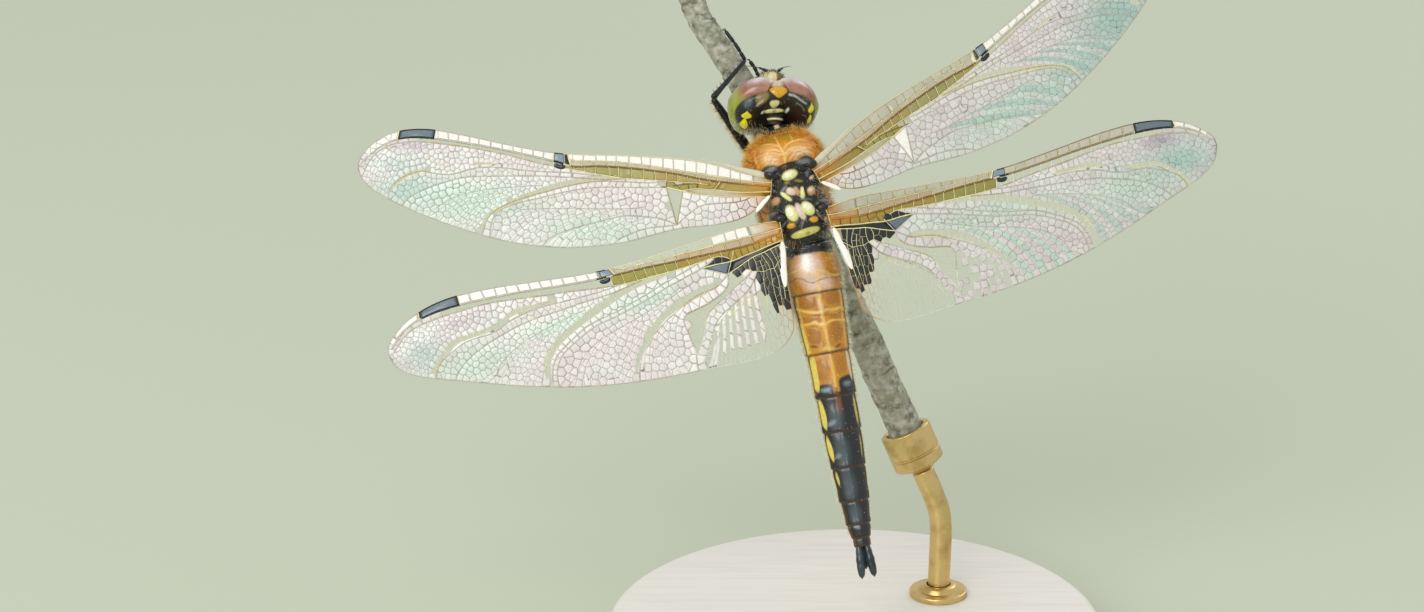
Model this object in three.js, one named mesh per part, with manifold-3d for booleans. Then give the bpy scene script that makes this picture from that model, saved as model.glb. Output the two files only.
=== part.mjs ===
// A four-spotted chaser dragonfly at life size, gripping a short cut twig on a museum stand.
// Millimetres, +Z up, origin at the centre of the underside of the stand's base.
// The insect is set out in three frames, one inside the other:
//   perch frame  X to the insect's right, Y up along the sloping twig, Z out of the insect's back
//   body frame   the perch frame turned so that Y runs from tail to head
//   head frame   X right, Y out of the face, Z out of the crown
import * as THREE from "three";
import { mergeVertices } from "three/addons/utils/BufferGeometryUtils.js";
import Module from "manifold-3d";

const manifold = await Module();
manifold.setup();

// ---- Driving dimensions -------------------------------------------------------------------
const DEG = Math.PI / 180;
const JOINT_GAP = 0.1; // clear air left between neighbouring pieces

const BODY_HEIGHT = 45; // middle of the back above the floor
const BODY_OFFSET = [-5.5, 0.5]; // middle of the back from the stand's axis
const PERCH_SLOPE = 70 * DEG; // back of the insect, from lying flat
const BODY_LEAN = 15 * DEG; // body turned across the twig
const BODY_ROLL = 6 * DEG; // right side turned away
const BACK_SHIFT = -0.15; // body axis from the middle of the back, which the roll carries right
const ABDOMEN_SWING = -4.8 * DEG; // tail carried to the left

const HEAD_CENTRE = [-1.84, 7.5, -0.8]; // in the perch frame
const HEAD_NOD = 50 * DEG;
const HEAD_TURN = 12 * DEG;
const EYE_CENTRE = [2.02, 0.35, 0.1];
const EYE = { right: 2.0, left: 1.75, front: 1.75, back: 1.3, up: 2.6, down: 3.2, blunt: 0.75 };
const EYE_LEAN = [0.5, 0.25]; // inner and outer sides lean in above, so the two meet on the crown
const EYE_SEAM = 0.05; // half the gap between the eyes on the crown

const THORAX_FRONT = 5.45;
const THORAX_REAR = -4.35;

const WING_THICKNESS = 0.5;
const WING_CAMBER = 0.25;
const WING_DROOP = 5 * DEG;
const FOREWING_ROOT = [2.75, 1.3, 2.05];
const HINDWING_ROOT = [3.2, -2.9, 1.85];
const WING_SWEEPS = { fore_left: 18, fore_right: 17, hind_left: -2, hind_right: -3.4 }; // tips forward

const ABDOMEN_START = [0.1, -4.45, -0.15];
const SEGMENT_LENGTHS = [0.75, 3.6, 5.25, 3.77, 3.07, 3.16, 2.98, 2.02, 1.18, 0.75];
const CERCUS_LENGTH = 2.75;
const EPIPROCT_LENGTH = 2.0;

const ANTENNA_RADIUS = 0.25;
const TARSUS_RADIUS = 0.26;

const TWIG_TOP_RADIUS = 1.12;
const TWIG_BOTTOM_RADIUS = 1.6;
const TWIG_KNOB = 0.09; // how far the bark swells and shrinks

const BASE_RADIUS = 22;
const BASE_THICKNESS = 5;
const BASE_CHAMFER = 0.7;
const ROD_RADIUS = 1.0;
const SOCKET_LENGTH = 4.0;
const SOCKET_WALL = 0.5;
const SOCKET_DEPTH = 2.4;
const SOCKET_TAPER = 0.8;
const ROD_STRAIGHT = 2.2; // rod in line with the socket before it bends down
const ROD_DRIFT = 0.7; // sideways run of the bend
const FLANGE_RADIUS = 2.6;
const FLANGE_HEIGHT = 1.0;

// ---- Finishes -----------------------------------------------------------------------------
const finish = (color, roughness, metalness = 0) =>
  new THREE.MeshStandardMaterial({ color, roughness, metalness });
const EYE_FINISH = finish("#8f6a42", 0.25);
const SHELL_FINISH = finish("#17130e", 0.4);
const FACE_FINISH = finish("#ded4a0", 0.5);
const THORAX_FINISH = finish("#b9801c", 0.6);
const AMBER_FINISH = finish("#a86f16", 0.5);
const TAIL_FINISH = finish("#1a1c1f", 0.4);
const WING_FINISH = finish("#d8d6cc", 0.2);
const LEG_FINISH = finish("#15120f", 0.4);
const BARK_FINISH = finish("#8f8b78", 0.95);
const BASE_FINISH = finish("#e4e1d8", 0.7);
const BRASS_FINISH = finish("#b99a5b", 0.35, 1);

// ---- Shaping tools ------------------------------------------------------------------------
const clamp = THREE.MathUtils.clamp;
const mix = THREE.MathUtils.lerp;
const point = (values) => new THREE.Vector3(...values);

/** Keeps only the positions of a geometry, with shared corners merged. */
function bare(geometry) {
  const shape = geometry.clone();
  shape.deleteAttribute("normal");
  shape.deleteAttribute("uv");
  return mergeVertices(shape, 1e-4);
}

/** Turns the faces of a closed shape over if they point in. */
function facingOut(shape) {
  const faces = shape.index.array;
  const [a, b, c] = [0, 1, 2].map(() => new THREE.Vector3());
  let volume = 0;
  for (let i = 0; i < faces.length; i += 3) {
    [a, b, c].forEach((corner, k) => corner.fromBufferAttribute(shape.attributes.position, faces[i + k]));
    volume += a.dot(b.cross(c));
  }
  for (let i = 0; volume < 0 && i < faces.length; i += 3) {
    [faces[i], faces[i + 1]] = [faces[i + 1], faces[i]];
  }
  return shape;
}

/** Moves every corner of a closed shape through move(x, y, z) -> [x, y, z]. */
function reshaped(geometry, move) {
  const shape = bare(geometry);
  const corners = shape.attributes.position;
  for (let i = 0; i < corners.count; i += 1) {
    corners.setXYZ(i, ...move(corners.getX(i), corners.getY(i), corners.getZ(i)));
  }
  return facingOut(bare(shape));
}

/** The solid that manifold-3d joins and cuts. */
function asSolid(geometry) {
  const shape = bare(geometry);
  return new manifold.Manifold(
    new manifold.Mesh({
      numProp: 3,
      vertProperties: new Float32Array(shape.attributes.position.array),
      triVerts: new Uint32Array(shape.index.array),
    }),
  );
}

/** The geometry of a joined or cut solid. */
function asGeometry(solid) {
  const mesh = solid.getMesh();
  const shape = new THREE.BufferGeometry();
  shape.setAttribute("position", new THREE.BufferAttribute(mesh.vertProperties, 3));
  shape.setIndex(new THREE.BufferAttribute(mesh.triVerts, 1));
  return shape;
}

/** One geometry made of several that overlap. */
function joined(first, ...others) {
  return asGeometry(others.reduce((solid, other) => solid.add(asSolid(other)), asSolid(first)));
}

/** A geometry with others cut out of it. */
function cut(first, ...others) {
  return asGeometry(others.reduce((solid, other) => solid.subtract(asSolid(other)), asSolid(first)));
}

/** A rounded lump whose six radii can differ; grow adds to all of them, and blunt flattens its back. */
function lump(centre, size, grow = 0, columns = 14, rows = 9) {
  const radius = (value, plus, minus) => value * ((value > 0 ? plus : minus) + grow);
  const blunted = (value) => (value < 0 ? -(Math.abs(value) ** (size.blunt ?? 1)) : value);
  return reshaped(new THREE.SphereGeometry(1, columns, rows), (x, y, z) => [
    centre[0] + radius(x, size.right, size.left ?? size.right),
    centre[1] + radius(blunted(y), size.front, size.back ?? size.front),
    centre[2] + radius(z, size.up, size.down ?? size.up),
  ]);
}

/** A closed body along Y; section(t) gives y, half width, top and bottom, and how square it is. */
function loft(section, sides, rings, grow = 0) {
  return reshaped(new THREE.CylinderGeometry(1, 1, 1, sides, rings), (x, t, z) => {
    const s = section(t + 0.5);
    const reach = Math.hypot(x, z);
    const across = reach ? x / reach : 0;
    const upward = reach ? z / reach : 0;
    const middle = (s.top + s.bottom) / 2;
    const rise = upward > 0 ? s.top - middle : middle - s.bottom;
    const power = upward > 0 ? s.roof : s.floor;
    return [
      (s.x ?? 0) + reach * (s.half + grow) * Math.sign(across) * Math.abs(across) ** s.wall,
      s.y + grow * clamp(4 * t, -1, 1),
      middle + reach * (rise + grow) * Math.sign(upward) * Math.abs(upward) ** power,
    ];
  });
}

/** A closed tube along a smooth path; radius(t, angle) gives its thickness. */
function tube(path, radius, sides, rings) {
  const frames = path.computeFrenetFrames(rings);
  return reshaped(new THREE.CylinderGeometry(1, 1, 1, sides, rings), (x, y, z) => {
    const ring = Math.round((y + 0.5) * rings);
    const t = ring / rings;
    const reach = Math.hypot(x, z) * radius(t, Math.atan2(z, x));
    const angle = Math.atan2(z, x);
    const corner = path
      .getPointAt(t)
      .addScaledVector(frames.normals[ring], -reach * Math.cos(angle))
      .addScaledVector(frames.binormals[ring], reach * Math.sin(angle));
    return corner.toArray();
  });
}

/** A smooth curve through points given as [x, y, z]. */
const through = (...points) => new THREE.CatmullRomCurve3(points.map(point), false, "centripetal");

/** Reads a smooth value from evenly spaced steps. */
function stepped(values, t) {
  const place = clamp(t, 0, 1) * (values.length - 1);
  const index = Math.min(Math.floor(place), values.length - 2);
  return mix(values[index], values[index + 1], THREE.MathUtils.smoothstep(place - index, 0, 1));
}

/** A named piece of the model. */
function piece(name, geometry, material) {
  const mesh = new THREE.Mesh(geometry, material);
  mesh.name = name;
  geometry.computeVertexNormals();
  return mesh;
}

/** Mirrors the X of a list of three for the left side (-1) or keeps it for the right (+1). */
const sided = (values, side) => [values[0] * side, values[1], values[2]];

// ---- Frames -------------------------------------------------------------------------------
const model = new THREE.Group();

const perch = new THREE.Group();
perch.position.set(...BODY_OFFSET, BODY_HEIGHT);
perch.rotation.x = PERCH_SLOPE;
model.add(perch);

const body = new THREE.Group();
body.position.x = BACK_SHIFT;
body.rotation.set(0, BODY_ROLL, BODY_LEAN, "ZYX");
perch.add(body);

const head = new THREE.Group();
head.position.set(...HEAD_CENTRE);
head.rotation.set(-HEAD_NOD, HEAD_TURN, 0, "YXZ");
perch.add(head);

const abdomen = new THREE.Group();
abdomen.position.set(...ABDOMEN_START);
abdomen.rotation.z = ABDOMEN_SWING;
body.add(abdomen);

model.updateMatrixWorld(true);
const fromBodyToPerch = (values) => point(values).applyMatrix4(body.matrix);
const fromPerchToModel = (vector) => vector.clone().applyMatrix4(perch.matrix);

// ---- Thorax -------------------------------------------------------------------------------
// Rings from the rear to the front. The back is highest just ahead of the forewings, and the
// underside slopes down and forward to the legs.
const THORAX_RINGS = [
  { along: 0.0, half: 1.7, top: 1.5, bottom: -1.9 },
  { along: 0.06, half: 2.3, top: 1.95, bottom: -2.5 },
  { along: 0.2, half: 2.85, top: 2.2, bottom: -3.6 },
  { along: 0.38, half: 3.15, top: 2.35, bottom: -4.7 },
  { along: 0.56, half: 3.3, top: 2.55, bottom: -5.3 },
  { along: 0.7, half: 3.35, top: 2.95, bottom: -5.35 },
  { along: 0.8, half: 3.3, top: 3.05, bottom: -5.1 },
  { along: 0.9, half: 2.75, top: 2.45, bottom: -3.9 },
  { along: 0.97, half: 1.95, top: 1.5, bottom: -2.0 },
  { along: 1.0, half: 1.1, top: 0.8, bottom: -0.9 },
];

function thoraxSection(t) {
  const next = Math.max(1, THORAX_RINGS.findIndex((ring) => ring.along >= t - 1e-9));
  const [a, b] = [THORAX_RINGS[next - 1], THORAX_RINGS[next]];
  const part = (t - a.along) / (b.along - a.along);
  return {
    y: mix(THORAX_REAR, THORAX_FRONT, t),
    half: mix(a.half, b.half, part),
    top: mix(a.top, b.top, part),
    bottom: mix(a.bottom, b.bottom, part),
    wall: 0.9,
    roof: 0.95,
    floor: 1.0,
  };
}

/** Rings closer together at the two ends, where the thorax rounds off. */
const endWeighted = (section) => (t) => section(0.5 - 0.5 * Math.cos(Math.PI * t));
const thoraxCore = (grow) => loft(endWeighted(thoraxSection), 14, 11, grow);

// Plates of the back: the two shields between the wings and the bosses that the wings hinge on.
const SHIELDS = [
  { centre: [0, 1.55, 2.35], size: { right: 0.8, front: 0.6, up: 0.6 } },
  { centre: [0, -1.65, 2.1], size: { right: 1.3, front: 0.9, up: 0.6 } },
];
const HINGE_BOSSES = [
  { centre: [1.75, 2.1, 2.25], size: { right: 0.65, front: 0.5, up: 0.55 } },
  { centre: [1.85, -1.75, 1.8], size: { right: 0.75, front: 0.6, up: 0.5 } },
];
const LEG_ROOTS = {
  fore: [1.05, 4.2, -4.1],
  mid: [1.7, 3.7, -5.1],
  hind: [1.9, 1.7, -5.35],
};
const COXA_DROP = 0.75; // how far the stubs that carry the legs stand out
const COXA_DEPTH = 1.0; // how deep they start inside the thorax
const COXA_LEAN = 0.1;
const COXA_RADII = [0.62, 0.5];

function coxa(root, side) {
  const [out, forward, up] = root;
  const top = sided([0.85 * out, forward, up + COXA_DEPTH], side);
  const end = sided([out, forward + COXA_LEAN, up - COXA_DROP], side);
  return tube(through(top, end), (t) => mix(...COXA_RADII, t), 7, 1);
}

function thoraxBody() {
  const extras = SHIELDS.map((plate) => lump(plate.centre, plate.size, 0, 8, 5));
  for (const side of [-1, 1]) {
    for (const boss of HINGE_BOSSES) {
      extras.push(lump(sided(boss.centre, side), boss.size, 0, 7, 5));
    }
    for (const root of Object.values(LEG_ROOTS)) {
      extras.push(coxa(root, side));
    }
  }
  return joined(thoraxCore(0), ...extras);
}

const thoraxShape = thoraxBody();
const thoraxClearance = joined(
  thoraxCore(JOINT_GAP),
  ...HINGE_BOSSES.flatMap((boss) =>
    [-1, 1].map((side) => lump(sided(boss.centre, side), boss.size, JOINT_GAP, 7, 5)),
  ),
);
body.add(piece("thorax", thoraxShape, THORAX_FINISH));

// The narrow first ring of the thorax, which carries the neck.
const PROTHORAX = { right: 1.3, front: 0.6, back: 0.8, up: 1.0, down: 0.95 };
const PROTHORAX_CENTRE = [0, 5.6, -0.05];
body.add(
  piece("prothorax", cut(lump(PROTHORAX_CENTRE, PROTHORAX, 0, 12, 8), thoraxClearance), SHELL_FINISH),
);

// ---- Abdomen ------------------------------------------------------------------------------
const ABDOMEN_LENGTH = SEGMENT_LENGTHS.reduce((sum, length) => sum + length, 0);
// Half width and depth along the abdomen, in even steps from the waist to the tail.
const ABDOMEN_HALF = [2.0, 2.42, 2.28, 2.1, 1.93, 1.84, 1.77, 1.7, 1.55, 1.38, 1.1, 0.74];
const ABDOMEN_TOP = [1.55, 1.75, 1.55, 1.42, 1.32, 1.25, 1.2, 1.12, 1.02, 0.9, 0.72, 0.5];
const ABDOMEN_BOTTOM = [-1.9, -2.05, -1.7, -1.5, -1.35, -1.25, -1.15, -1.05, -0.95, -0.85, -0.65, -0.45];
const RIM_FLARE = 0.06; // hind edge of each segment stands over the next
const WAIST_DEPTH = 0.05;
const AMBER_SEGMENTS = 5;
const CERCUS_RADII = [0.26, 0.33, 0.38, 0.36, 0.25];
const EPIPROCT_RADII = [0.25, 0.3, 0.25];

function abdomenSegment(start, length) {
  const gap = JOINT_GAP / 2;
  return loft(
    (t) => {
      const distance = start + gap + t * (length - 2 * gap);
      const along = distance / ABDOMEN_LENGTH;
      const swell = RIM_FLARE * t ** 4 - WAIST_DEPTH * (1 - t) ** 4;
      return {
        y: -distance,
        half: stepped(ABDOMEN_HALF, along) + swell,
        top: stepped(ABDOMEN_TOP, along) + swell,
        bottom: stepped(ABDOMEN_BOTTOM, along) - swell,
        wall: 0.9,
        roof: 1.35,
        floor: 0.85,
      };
    },
    12,
    length > 1 ? 4 : 2,
  );
}

let reached = 0;
SEGMENT_LENGTHS.forEach((length, index) => {
  const material = index < AMBER_SEGMENTS ? AMBER_FINISH : TAIL_FINISH;
  abdomen.add(piece(`abdomen_${index + 1}`, abdomenSegment(reached, length), material));
  reached += length;
});

// The pair of claspers at the tail, and the shorter plate under them.
for (const [name, side] of [["left", -1], ["right", 1]]) {
  const path = through(
    [0.33 * side, -reached - JOINT_GAP, 0.08],
    [0.45 * side, -reached - 0.45 * CERCUS_LENGTH, 0.12],
    [0.55 * side, -reached - CERCUS_LENGTH, 0.1],
  );
  const shape = tube(path, (t) => stepped(CERCUS_RADII, t), 7, 4);
  abdomen.add(piece(`cercus_${name}`, shape, TAIL_FINISH));
}
const epiproctPath = through([0, -reached - JOINT_GAP, -0.33], [0, -reached - EPIPROCT_LENGTH, -0.45]);
abdomen.add(
  piece("epiproct", tube(epiproctPath, (t) => stepped(EPIPROCT_RADII, t), 7, 2), TAIL_FINISH),
);

// ---- Wings --------------------------------------------------------------------------------
// Each row is one chord from the front edge to the hind edge, from the root to the tip.
// X runs from the root to the tip, and Y towards the front edge.
const FOREWING_CHORDS = [
  [[-0.9, 0.8], [-0.9, -0.8]],
  [[1.6, 1.15], [1.0, -2.6]],
  [[4.3, 1.8], [3.3, -3.5]],
  [[7.5, 2.1], [7.1, -4.15]],
  [[12.0, 2.1], [11.5, -5.5]],
  [[16.9, 2.0], [16.2, -6.2]],
  [[21.0, 2.4], [20.8, -6.05]],
  [[25.0, 3.05], [25.0, -5.2]],
  [[28.6, 3.5], [29.0, -4.0]],
  [[31.4, 3.2], [32.0, -2.8]],
  [[33.3, 2.2], [33.5, -1.95]],
  [[34.4, 1.0], [34.35, -1.1]],
  [[34.7, 0.25], [34.7, -0.35]],
];
const HINDWING_CHORDS = [
  [[-1.3, 1.0], [-1.1, -0.9]],
  [[1.5, 1.4], [-0.5, -3.2]],
  [[3.5, 1.42], [-0.2, -6.0]],
  [[6.0, 1.35], [0.5, -8.7]],
  [[9.0, 1.3], [3.2, -9.95]],
  [[12.0, 1.27], [8.3, -9.55]],
  [[15.5, 1.45], [13.5, -9.0]],
  [[20.0, 2.1], [19.0, -7.9]],
  [[24.5, 2.75], [24.0, -6.3]],
  [[28.3, 2.92], [28.3, -4.6]],
  [[31.4, 2.3], [32.1, -3.0]],
  [[33.4, 1.15], [33.75, -1.8]],
  [[34.2, 0.3], [34.25, -0.6]],
];
const WING_STEPS_ALONG = 22;
const WING_STEPS_ACROSS = 4;

function wingPlate(chords) {
  const edges = [0, 1].map(
    (end) => new THREE.SplineCurve(chords.map((chord) => new THREE.Vector2(...chord[end]))),
  );
  const slab = new THREE.BoxGeometry(1, 1, 1, WING_STEPS_ALONG, WING_STEPS_ACROSS, 1);
  return reshaped(slab, (x, y, z) => {
    const [front, rear] = edges.map((edge) => edge.getPoint(x + 0.5));
    const spot = rear.lerp(front, y + 0.5);
    return [spot.x, spot.y, WING_CAMBER * (1 - 4 * y * y) + z * WING_THICKNESS];
  });
}

/** A wing in the body frame, its root cut to the flank of the thorax. */
function wing(sweep, chords, root, side) {
  const turn = new THREE.Euler(0, WING_DROOP, sweep, "ZYX");
  const plate = reshaped(wingPlate(chords), (x, y, z) =>
    sided(point([x, y, z]).applyEuler(turn).add(point(root)).toArray(), side),
  );
  return cut(plate, thoraxClearance);
}

const WINGS = {
  fore_left: [FOREWING_CHORDS, FOREWING_ROOT, -1],
  fore_right: [FOREWING_CHORDS, FOREWING_ROOT, 1],
  hind_left: [HINDWING_CHORDS, HINDWING_ROOT, -1],
  hind_right: [HINDWING_CHORDS, HINDWING_ROOT, 1],
};
for (const [name, values] of Object.entries(WINGS)) {
  body.add(piece(`wing_${name}`, wing(WING_SWEEPS[name] * DEG, ...values), WING_FINISH));
}

// ---- Head ---------------------------------------------------------------------------------
/** A compound eye, flat along the seam where it meets the other one. */
function eye(side, grow) {
  const [inner, outer] = [EYE_CENTRE[0] - EYE.left, EYE_CENTRE[0] + EYE.right];
  return reshaped(lump(EYE_CENTRE, EYE, grow, 16, 12), (x, y, z) => {
    const lean = mix(...EYE_LEAN, THREE.MathUtils.smoothstep(x, inner, outer));
    const leant = x - lean * Math.max(z - EYE_CENTRE[2], 0);
    return [side * Math.max(leant, EYE_SEAM - grow), y, z];
  });
}

const eyeRoom = joined(eye(-1, JOINT_GAP), eye(1, JOINT_GAP));
head.add(piece("eye_left", eye(-1, 0), EYE_FINISH));
head.add(piece("eye_right", eye(1, 0), EYE_FINISH));

const HOLLOW_DEPTH = 0.4; // the back of the head is dished where the neck enters
const HOLLOW_WIDTH = 1.5;

/** The hard shell behind and between the eyes, with the nape on it. */
function headShell(grow) {
  const size = { right: 3.55, front: 1.6, back: 1.0, up: 2.35, down: 2.5, blunt: 0.45 };
  const shell = reshaped(lump([0, -0.35, -0.1], size, grow, 14, 10), (x, y, z) => {
    const fromMiddle = Math.hypot(x, z) / HOLLOW_WIDTH;
    return [x, y < -0.5 ? y + HOLLOW_DEPTH * Math.exp(-(fromMiddle ** 2)) : y, z];
  });
  return joined(shell, lump([0, -0.9, 2.0], { right: 0.8, front: 0.6, up: 0.5 }, grow, 8, 6));
}

const shellShape = cut(headShell(0), eyeRoom);
head.add(piece("head", shellShape, SHELL_FINISH));

// The face from the forehead down, each plate cut clear of those above it. The small crown
// stands between the forehead and the seam of the eyes.
const CROWN = lump([0, 1.75, 1.75], { right: 0.62, front: 0.6, up: 0.62 }, 0, 8, 6);
const FACE_PLATES = {
  frons: [[0, 2.4, 0.95], { right: 1.2, front: 1.0, back: 1.3, up: 0.95, down: 0.9 }],
  labrum: [[0, 1.7, -0.8], { right: 1.85, front: 1.05, back: 0.9, up: 0.9, down: 0.95 }],
  labium: [[0, 0.7, -2.25], { right: 1.9, front: 1.5, back: 1.1, up: 0.8, down: 0.75 }],
};
let faceRoom = joined(headShell(JOINT_GAP), eyeRoom);
for (const [name, [centre, size]] of Object.entries(FACE_PLATES)) {
  const shape = lump(centre, size, 0, 12, 8);
  const whole = name === "frons" ? joined(shape, CROWN) : shape;
  head.add(piece(name, cut(whole, faceRoom), FACE_FINISH));
  faceRoom = joined(faceRoom, lump(centre, size, JOINT_GAP, 12, 8));
}

for (const [name, side] of [["left", -1], ["right", 1]]) {
  const path = through(
    sided([0.55, 2.6, 2.0], side),
    sided([1.2, 3.4, 1.75], side),
    sided([2.2, 4.6, 1.0], side),
  );
  const shape = tube(path, () => ANTENNA_RADIUS, 6, 4);
  head.add(piece(`antenna_${name}`, cut(shape, faceRoom), LEG_FINISH));
}

const NECK_RADII = [0.8, 0.6];
// The neck runs from the hollow at the back of the head to the first ring of the thorax.
const fromPerchToHead = head.matrix.clone().invert();
const neckEnd = fromBodyToPerch([0, PROTHORAX_CENTRE[1] + PROTHORAX.front + JOINT_GAP, -0.5]);
const neckPath = through([0, -0.6, -0.3], neckEnd.applyMatrix4(fromPerchToHead).toArray());
const neckShape = tube(neckPath, (t) => mix(...NECK_RADII, t), 10, 2);
head.add(piece("neck", cut(neckShape, headShell(JOINT_GAP)), FACE_FINISH));

// ---- Twig ---------------------------------------------------------------------------------
const twigPath = through(
  [-9.4, 18.3, -9.0],
  [-7.9, 15.1, -9.0],
  [-5.0, 10.7, -9.2],
  [-1.65, 4.1, -10.2],
  [2.8, -5.1, -11.7],
  [7.0, -14.0, -13.0],
  [10.9, -22.7, -14.9],
);

/** Radius of the bark, with slow swellings along it and around it. */
function twigRadius(t, angle) {
  const knobs = Math.sin(23 * t + 2 * Math.sin(angle)) * Math.cos(angle - 9 * t);
  return mix(TWIG_TOP_RADIUS, TWIG_BOTTOM_RADIUS, t) + TWIG_KNOB * knobs;
}
perch.add(piece("perch_twig", tube(twigPath, twigRadius, 10, 26), BARK_FINISH));

/** The twig's parameter where its axis passes a height of the perch frame. */
function twigParameter(height) {
  let [low, high] = [0, 1];
  for (let i = 0; i < 30; i += 1) {
    const middle = (low + high) / 2;
    if (twigPath.getPointAt(middle).y > height) low = middle;
    else high = middle;
  }
  return low;
}

/** A point just off the bark; the angle runs from the insect's right (0) to its belly (90). */
function onTwig(height, angle, lift) {
  const t = twigParameter(height);
  const along = twigPath.getTangentAt(t);
  const right = new THREE.Vector3(1, 0, 0).projectOnPlane(along).normalize();
  const near = new THREE.Vector3(0, 0, 1).projectOnPlane(along).projectOnPlane(right).normalize();
  const reach = mix(TWIG_TOP_RADIUS, TWIG_BOTTOM_RADIUS, t) + TWIG_KNOB + lift;
  return twigPath
    .getPointAt(t)
    .addScaledVector(right, reach * Math.cos(angle * DEG))
    .addScaledVector(near, reach * Math.sin(angle * DEG))
    .toArray();
}

// ---- Legs ---------------------------------------------------------------------------------
// Knees are in the perch frame. Each foot lies along the twig, from its heel to its claws.
const LEGS = {
  fore_left: { root: "fore", side: -1, knee: [-3.9, 8.1, -6.0], heel: 7.6, claw: 9.2, angle: 140 },
  fore_right: { root: "fore", side: 1, knee: [-0.9, 9.0, -6.3], heel: 9.9, claw: 11.1, angle: 15 },
  mid_left: { root: "mid", side: -1, knee: [-7.15, 8.44, -4.2], heel: 11.3, claw: 13.8, angle: 38 },
  mid_right: { root: "mid", side: 1, knee: [1.2, 8.4, -7.7], heel: 6.4, claw: 8.2, angle: 25 },
  hind_left: { root: "hind", side: -1, knee: [-2.4, -4.2, -7.9], heel: -5.3, claw: -7.2, angle: 155 },
  hind_right: { root: "hind", side: 1, knee: [3.5, -1.4, -8.2], heel: -4.8, claw: -6.8, angle: 25 },
};
const FEMUR_RADII = [0.4, 0.46, 0.42, 0.36, 0.3];
const TIBIA_RADII = [0.34, 0.29, 0.27, 0.26];
const HIP_CLEARANCE = 0.1; // share of the femur left open at the hip

for (const [name, leg] of Object.entries(LEGS)) {
  const [out, forward, up] = LEG_ROOTS[leg.root];
  const hip = fromBodyToPerch(sided([out, forward + COXA_LEAN, up - COXA_DROP], leg.side));
  const start = hip.lerp(point(leg.knee), HIP_CLEARANCE);
  const heel = onTwig(leg.heel, leg.angle, TARSUS_RADIUS + JOINT_GAP);
  const claw = onTwig(leg.claw, leg.angle, TARSUS_RADIUS + JOINT_GAP);
  const arch = onTwig((leg.heel + leg.claw) / 2, leg.angle, TARSUS_RADIUS + 2 * JOINT_GAP);
  const femurPath = through(start.toArray(), leg.knee);
  const tibiaPath = through(leg.knee, heel);
  const tarsusPath = through(heel, arch, claw);
  const femur = (grow) => tube(femurPath, (t) => stepped(FEMUR_RADII, t) + grow, 7, 4);
  const tibia = (grow) => tube(tibiaPath, (t) => stepped(TIBIA_RADII, t) + grow, 7, 2);
  const tarsus = tube(tarsusPath, () => TARSUS_RADIUS, 6, 3);
  perch.add(piece(`leg_${name}_femur`, femur(0), LEG_FINISH));
  perch.add(piece(`leg_${name}_tibia`, cut(tibia(0), femur(JOINT_GAP)), LEG_FINISH));
  perch.add(piece(`leg_${name}_tarsus`, cut(tarsus, tibia(JOINT_GAP)), LEG_FINISH));
}

// ---- Stand --------------------------------------------------------------------------------
const lathe = (profile, segments) =>
  new THREE.LatheGeometry(profile.map((pair) => new THREE.Vector2(...pair)), segments);

/** Turns a lathed shape from its own Y axis to stand along a direction at a place. */
function stoodAlong(geometry, place, direction) {
  const turn = new THREE.Quaternion().setFromUnitVectors(new THREE.Vector3(0, 1, 0), direction);
  return reshaped(geometry, (x, y, z) =>
    new THREE.Vector3(x, y, z).applyQuaternion(turn).add(place).toArray(),
  );
}

const UP = new THREE.Vector3(0, 0, 1);
const baseProfile = [
  [0, 0],
  [BASE_RADIUS - BASE_CHAMFER / 2, 0],
  [BASE_RADIUS, BASE_CHAMFER / 2],
  [BASE_RADIUS, BASE_THICKNESS - BASE_CHAMFER],
  [BASE_RADIUS - BASE_CHAMFER, BASE_THICKNESS],
  [0, BASE_THICKNESS],
];
const baseShape = stoodAlong(lathe(baseProfile, 48), new THREE.Vector3(), UP);
model.add(piece("stand_base", baseShape, BASE_FINISH));

// The socket holds the cut lower end of the twig, and the rod carries the socket.
const twigFoot = fromPerchToModel(twigPath.getPointAt(1));
const twigAbove = fromPerchToModel(twigPath.getPointAt(0.96));
const socketAxis = twigAbove.sub(twigFoot).normalize();
const boreRadius = TWIG_BOTTOM_RADIUS + TWIG_KNOB + JOINT_GAP;
const socketRadius = boreRadius + SOCKET_WALL;
const socketFloor = SOCKET_LENGTH - SOCKET_DEPTH;
const socketProfile = [
  [0, 0],
  [ROD_RADIUS, 0],
  [socketRadius, SOCKET_TAPER],
  [socketRadius, SOCKET_LENGTH],
  [boreRadius, SOCKET_LENGTH],
  [boreRadius, socketFloor],
  [0, socketFloor],
];
const socketFoot = twigFoot.clone().addScaledVector(socketAxis, -socketFloor - JOINT_GAP);
const socketShape = stoodAlong(lathe(socketProfile, 20), socketFoot, socketAxis);
model.add(piece("stand_socket", socketShape, BRASS_FINISH));

const rodTop = socketFoot.clone().addScaledVector(socketAxis, -JOINT_GAP);
const rodBend = rodTop.clone().addScaledVector(socketAxis, -ROD_STRAIGHT);
const rodFoot = new THREE.Vector3(rodBend.x + ROD_DRIFT, rodBend.y, BASE_THICKNESS + JOINT_GAP / 2);
const rodKnee = new THREE.Vector3(rodFoot.x, rodFoot.y, rodBend.z - ROD_STRAIGHT);
const rodPath = through(rodTop.toArray(), rodBend.toArray(), rodKnee.toArray(), rodFoot.toArray());
model.add(piece("stand_rod", tube(rodPath, () => ROD_RADIUS, 12, 8), BRASS_FINISH));

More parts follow.
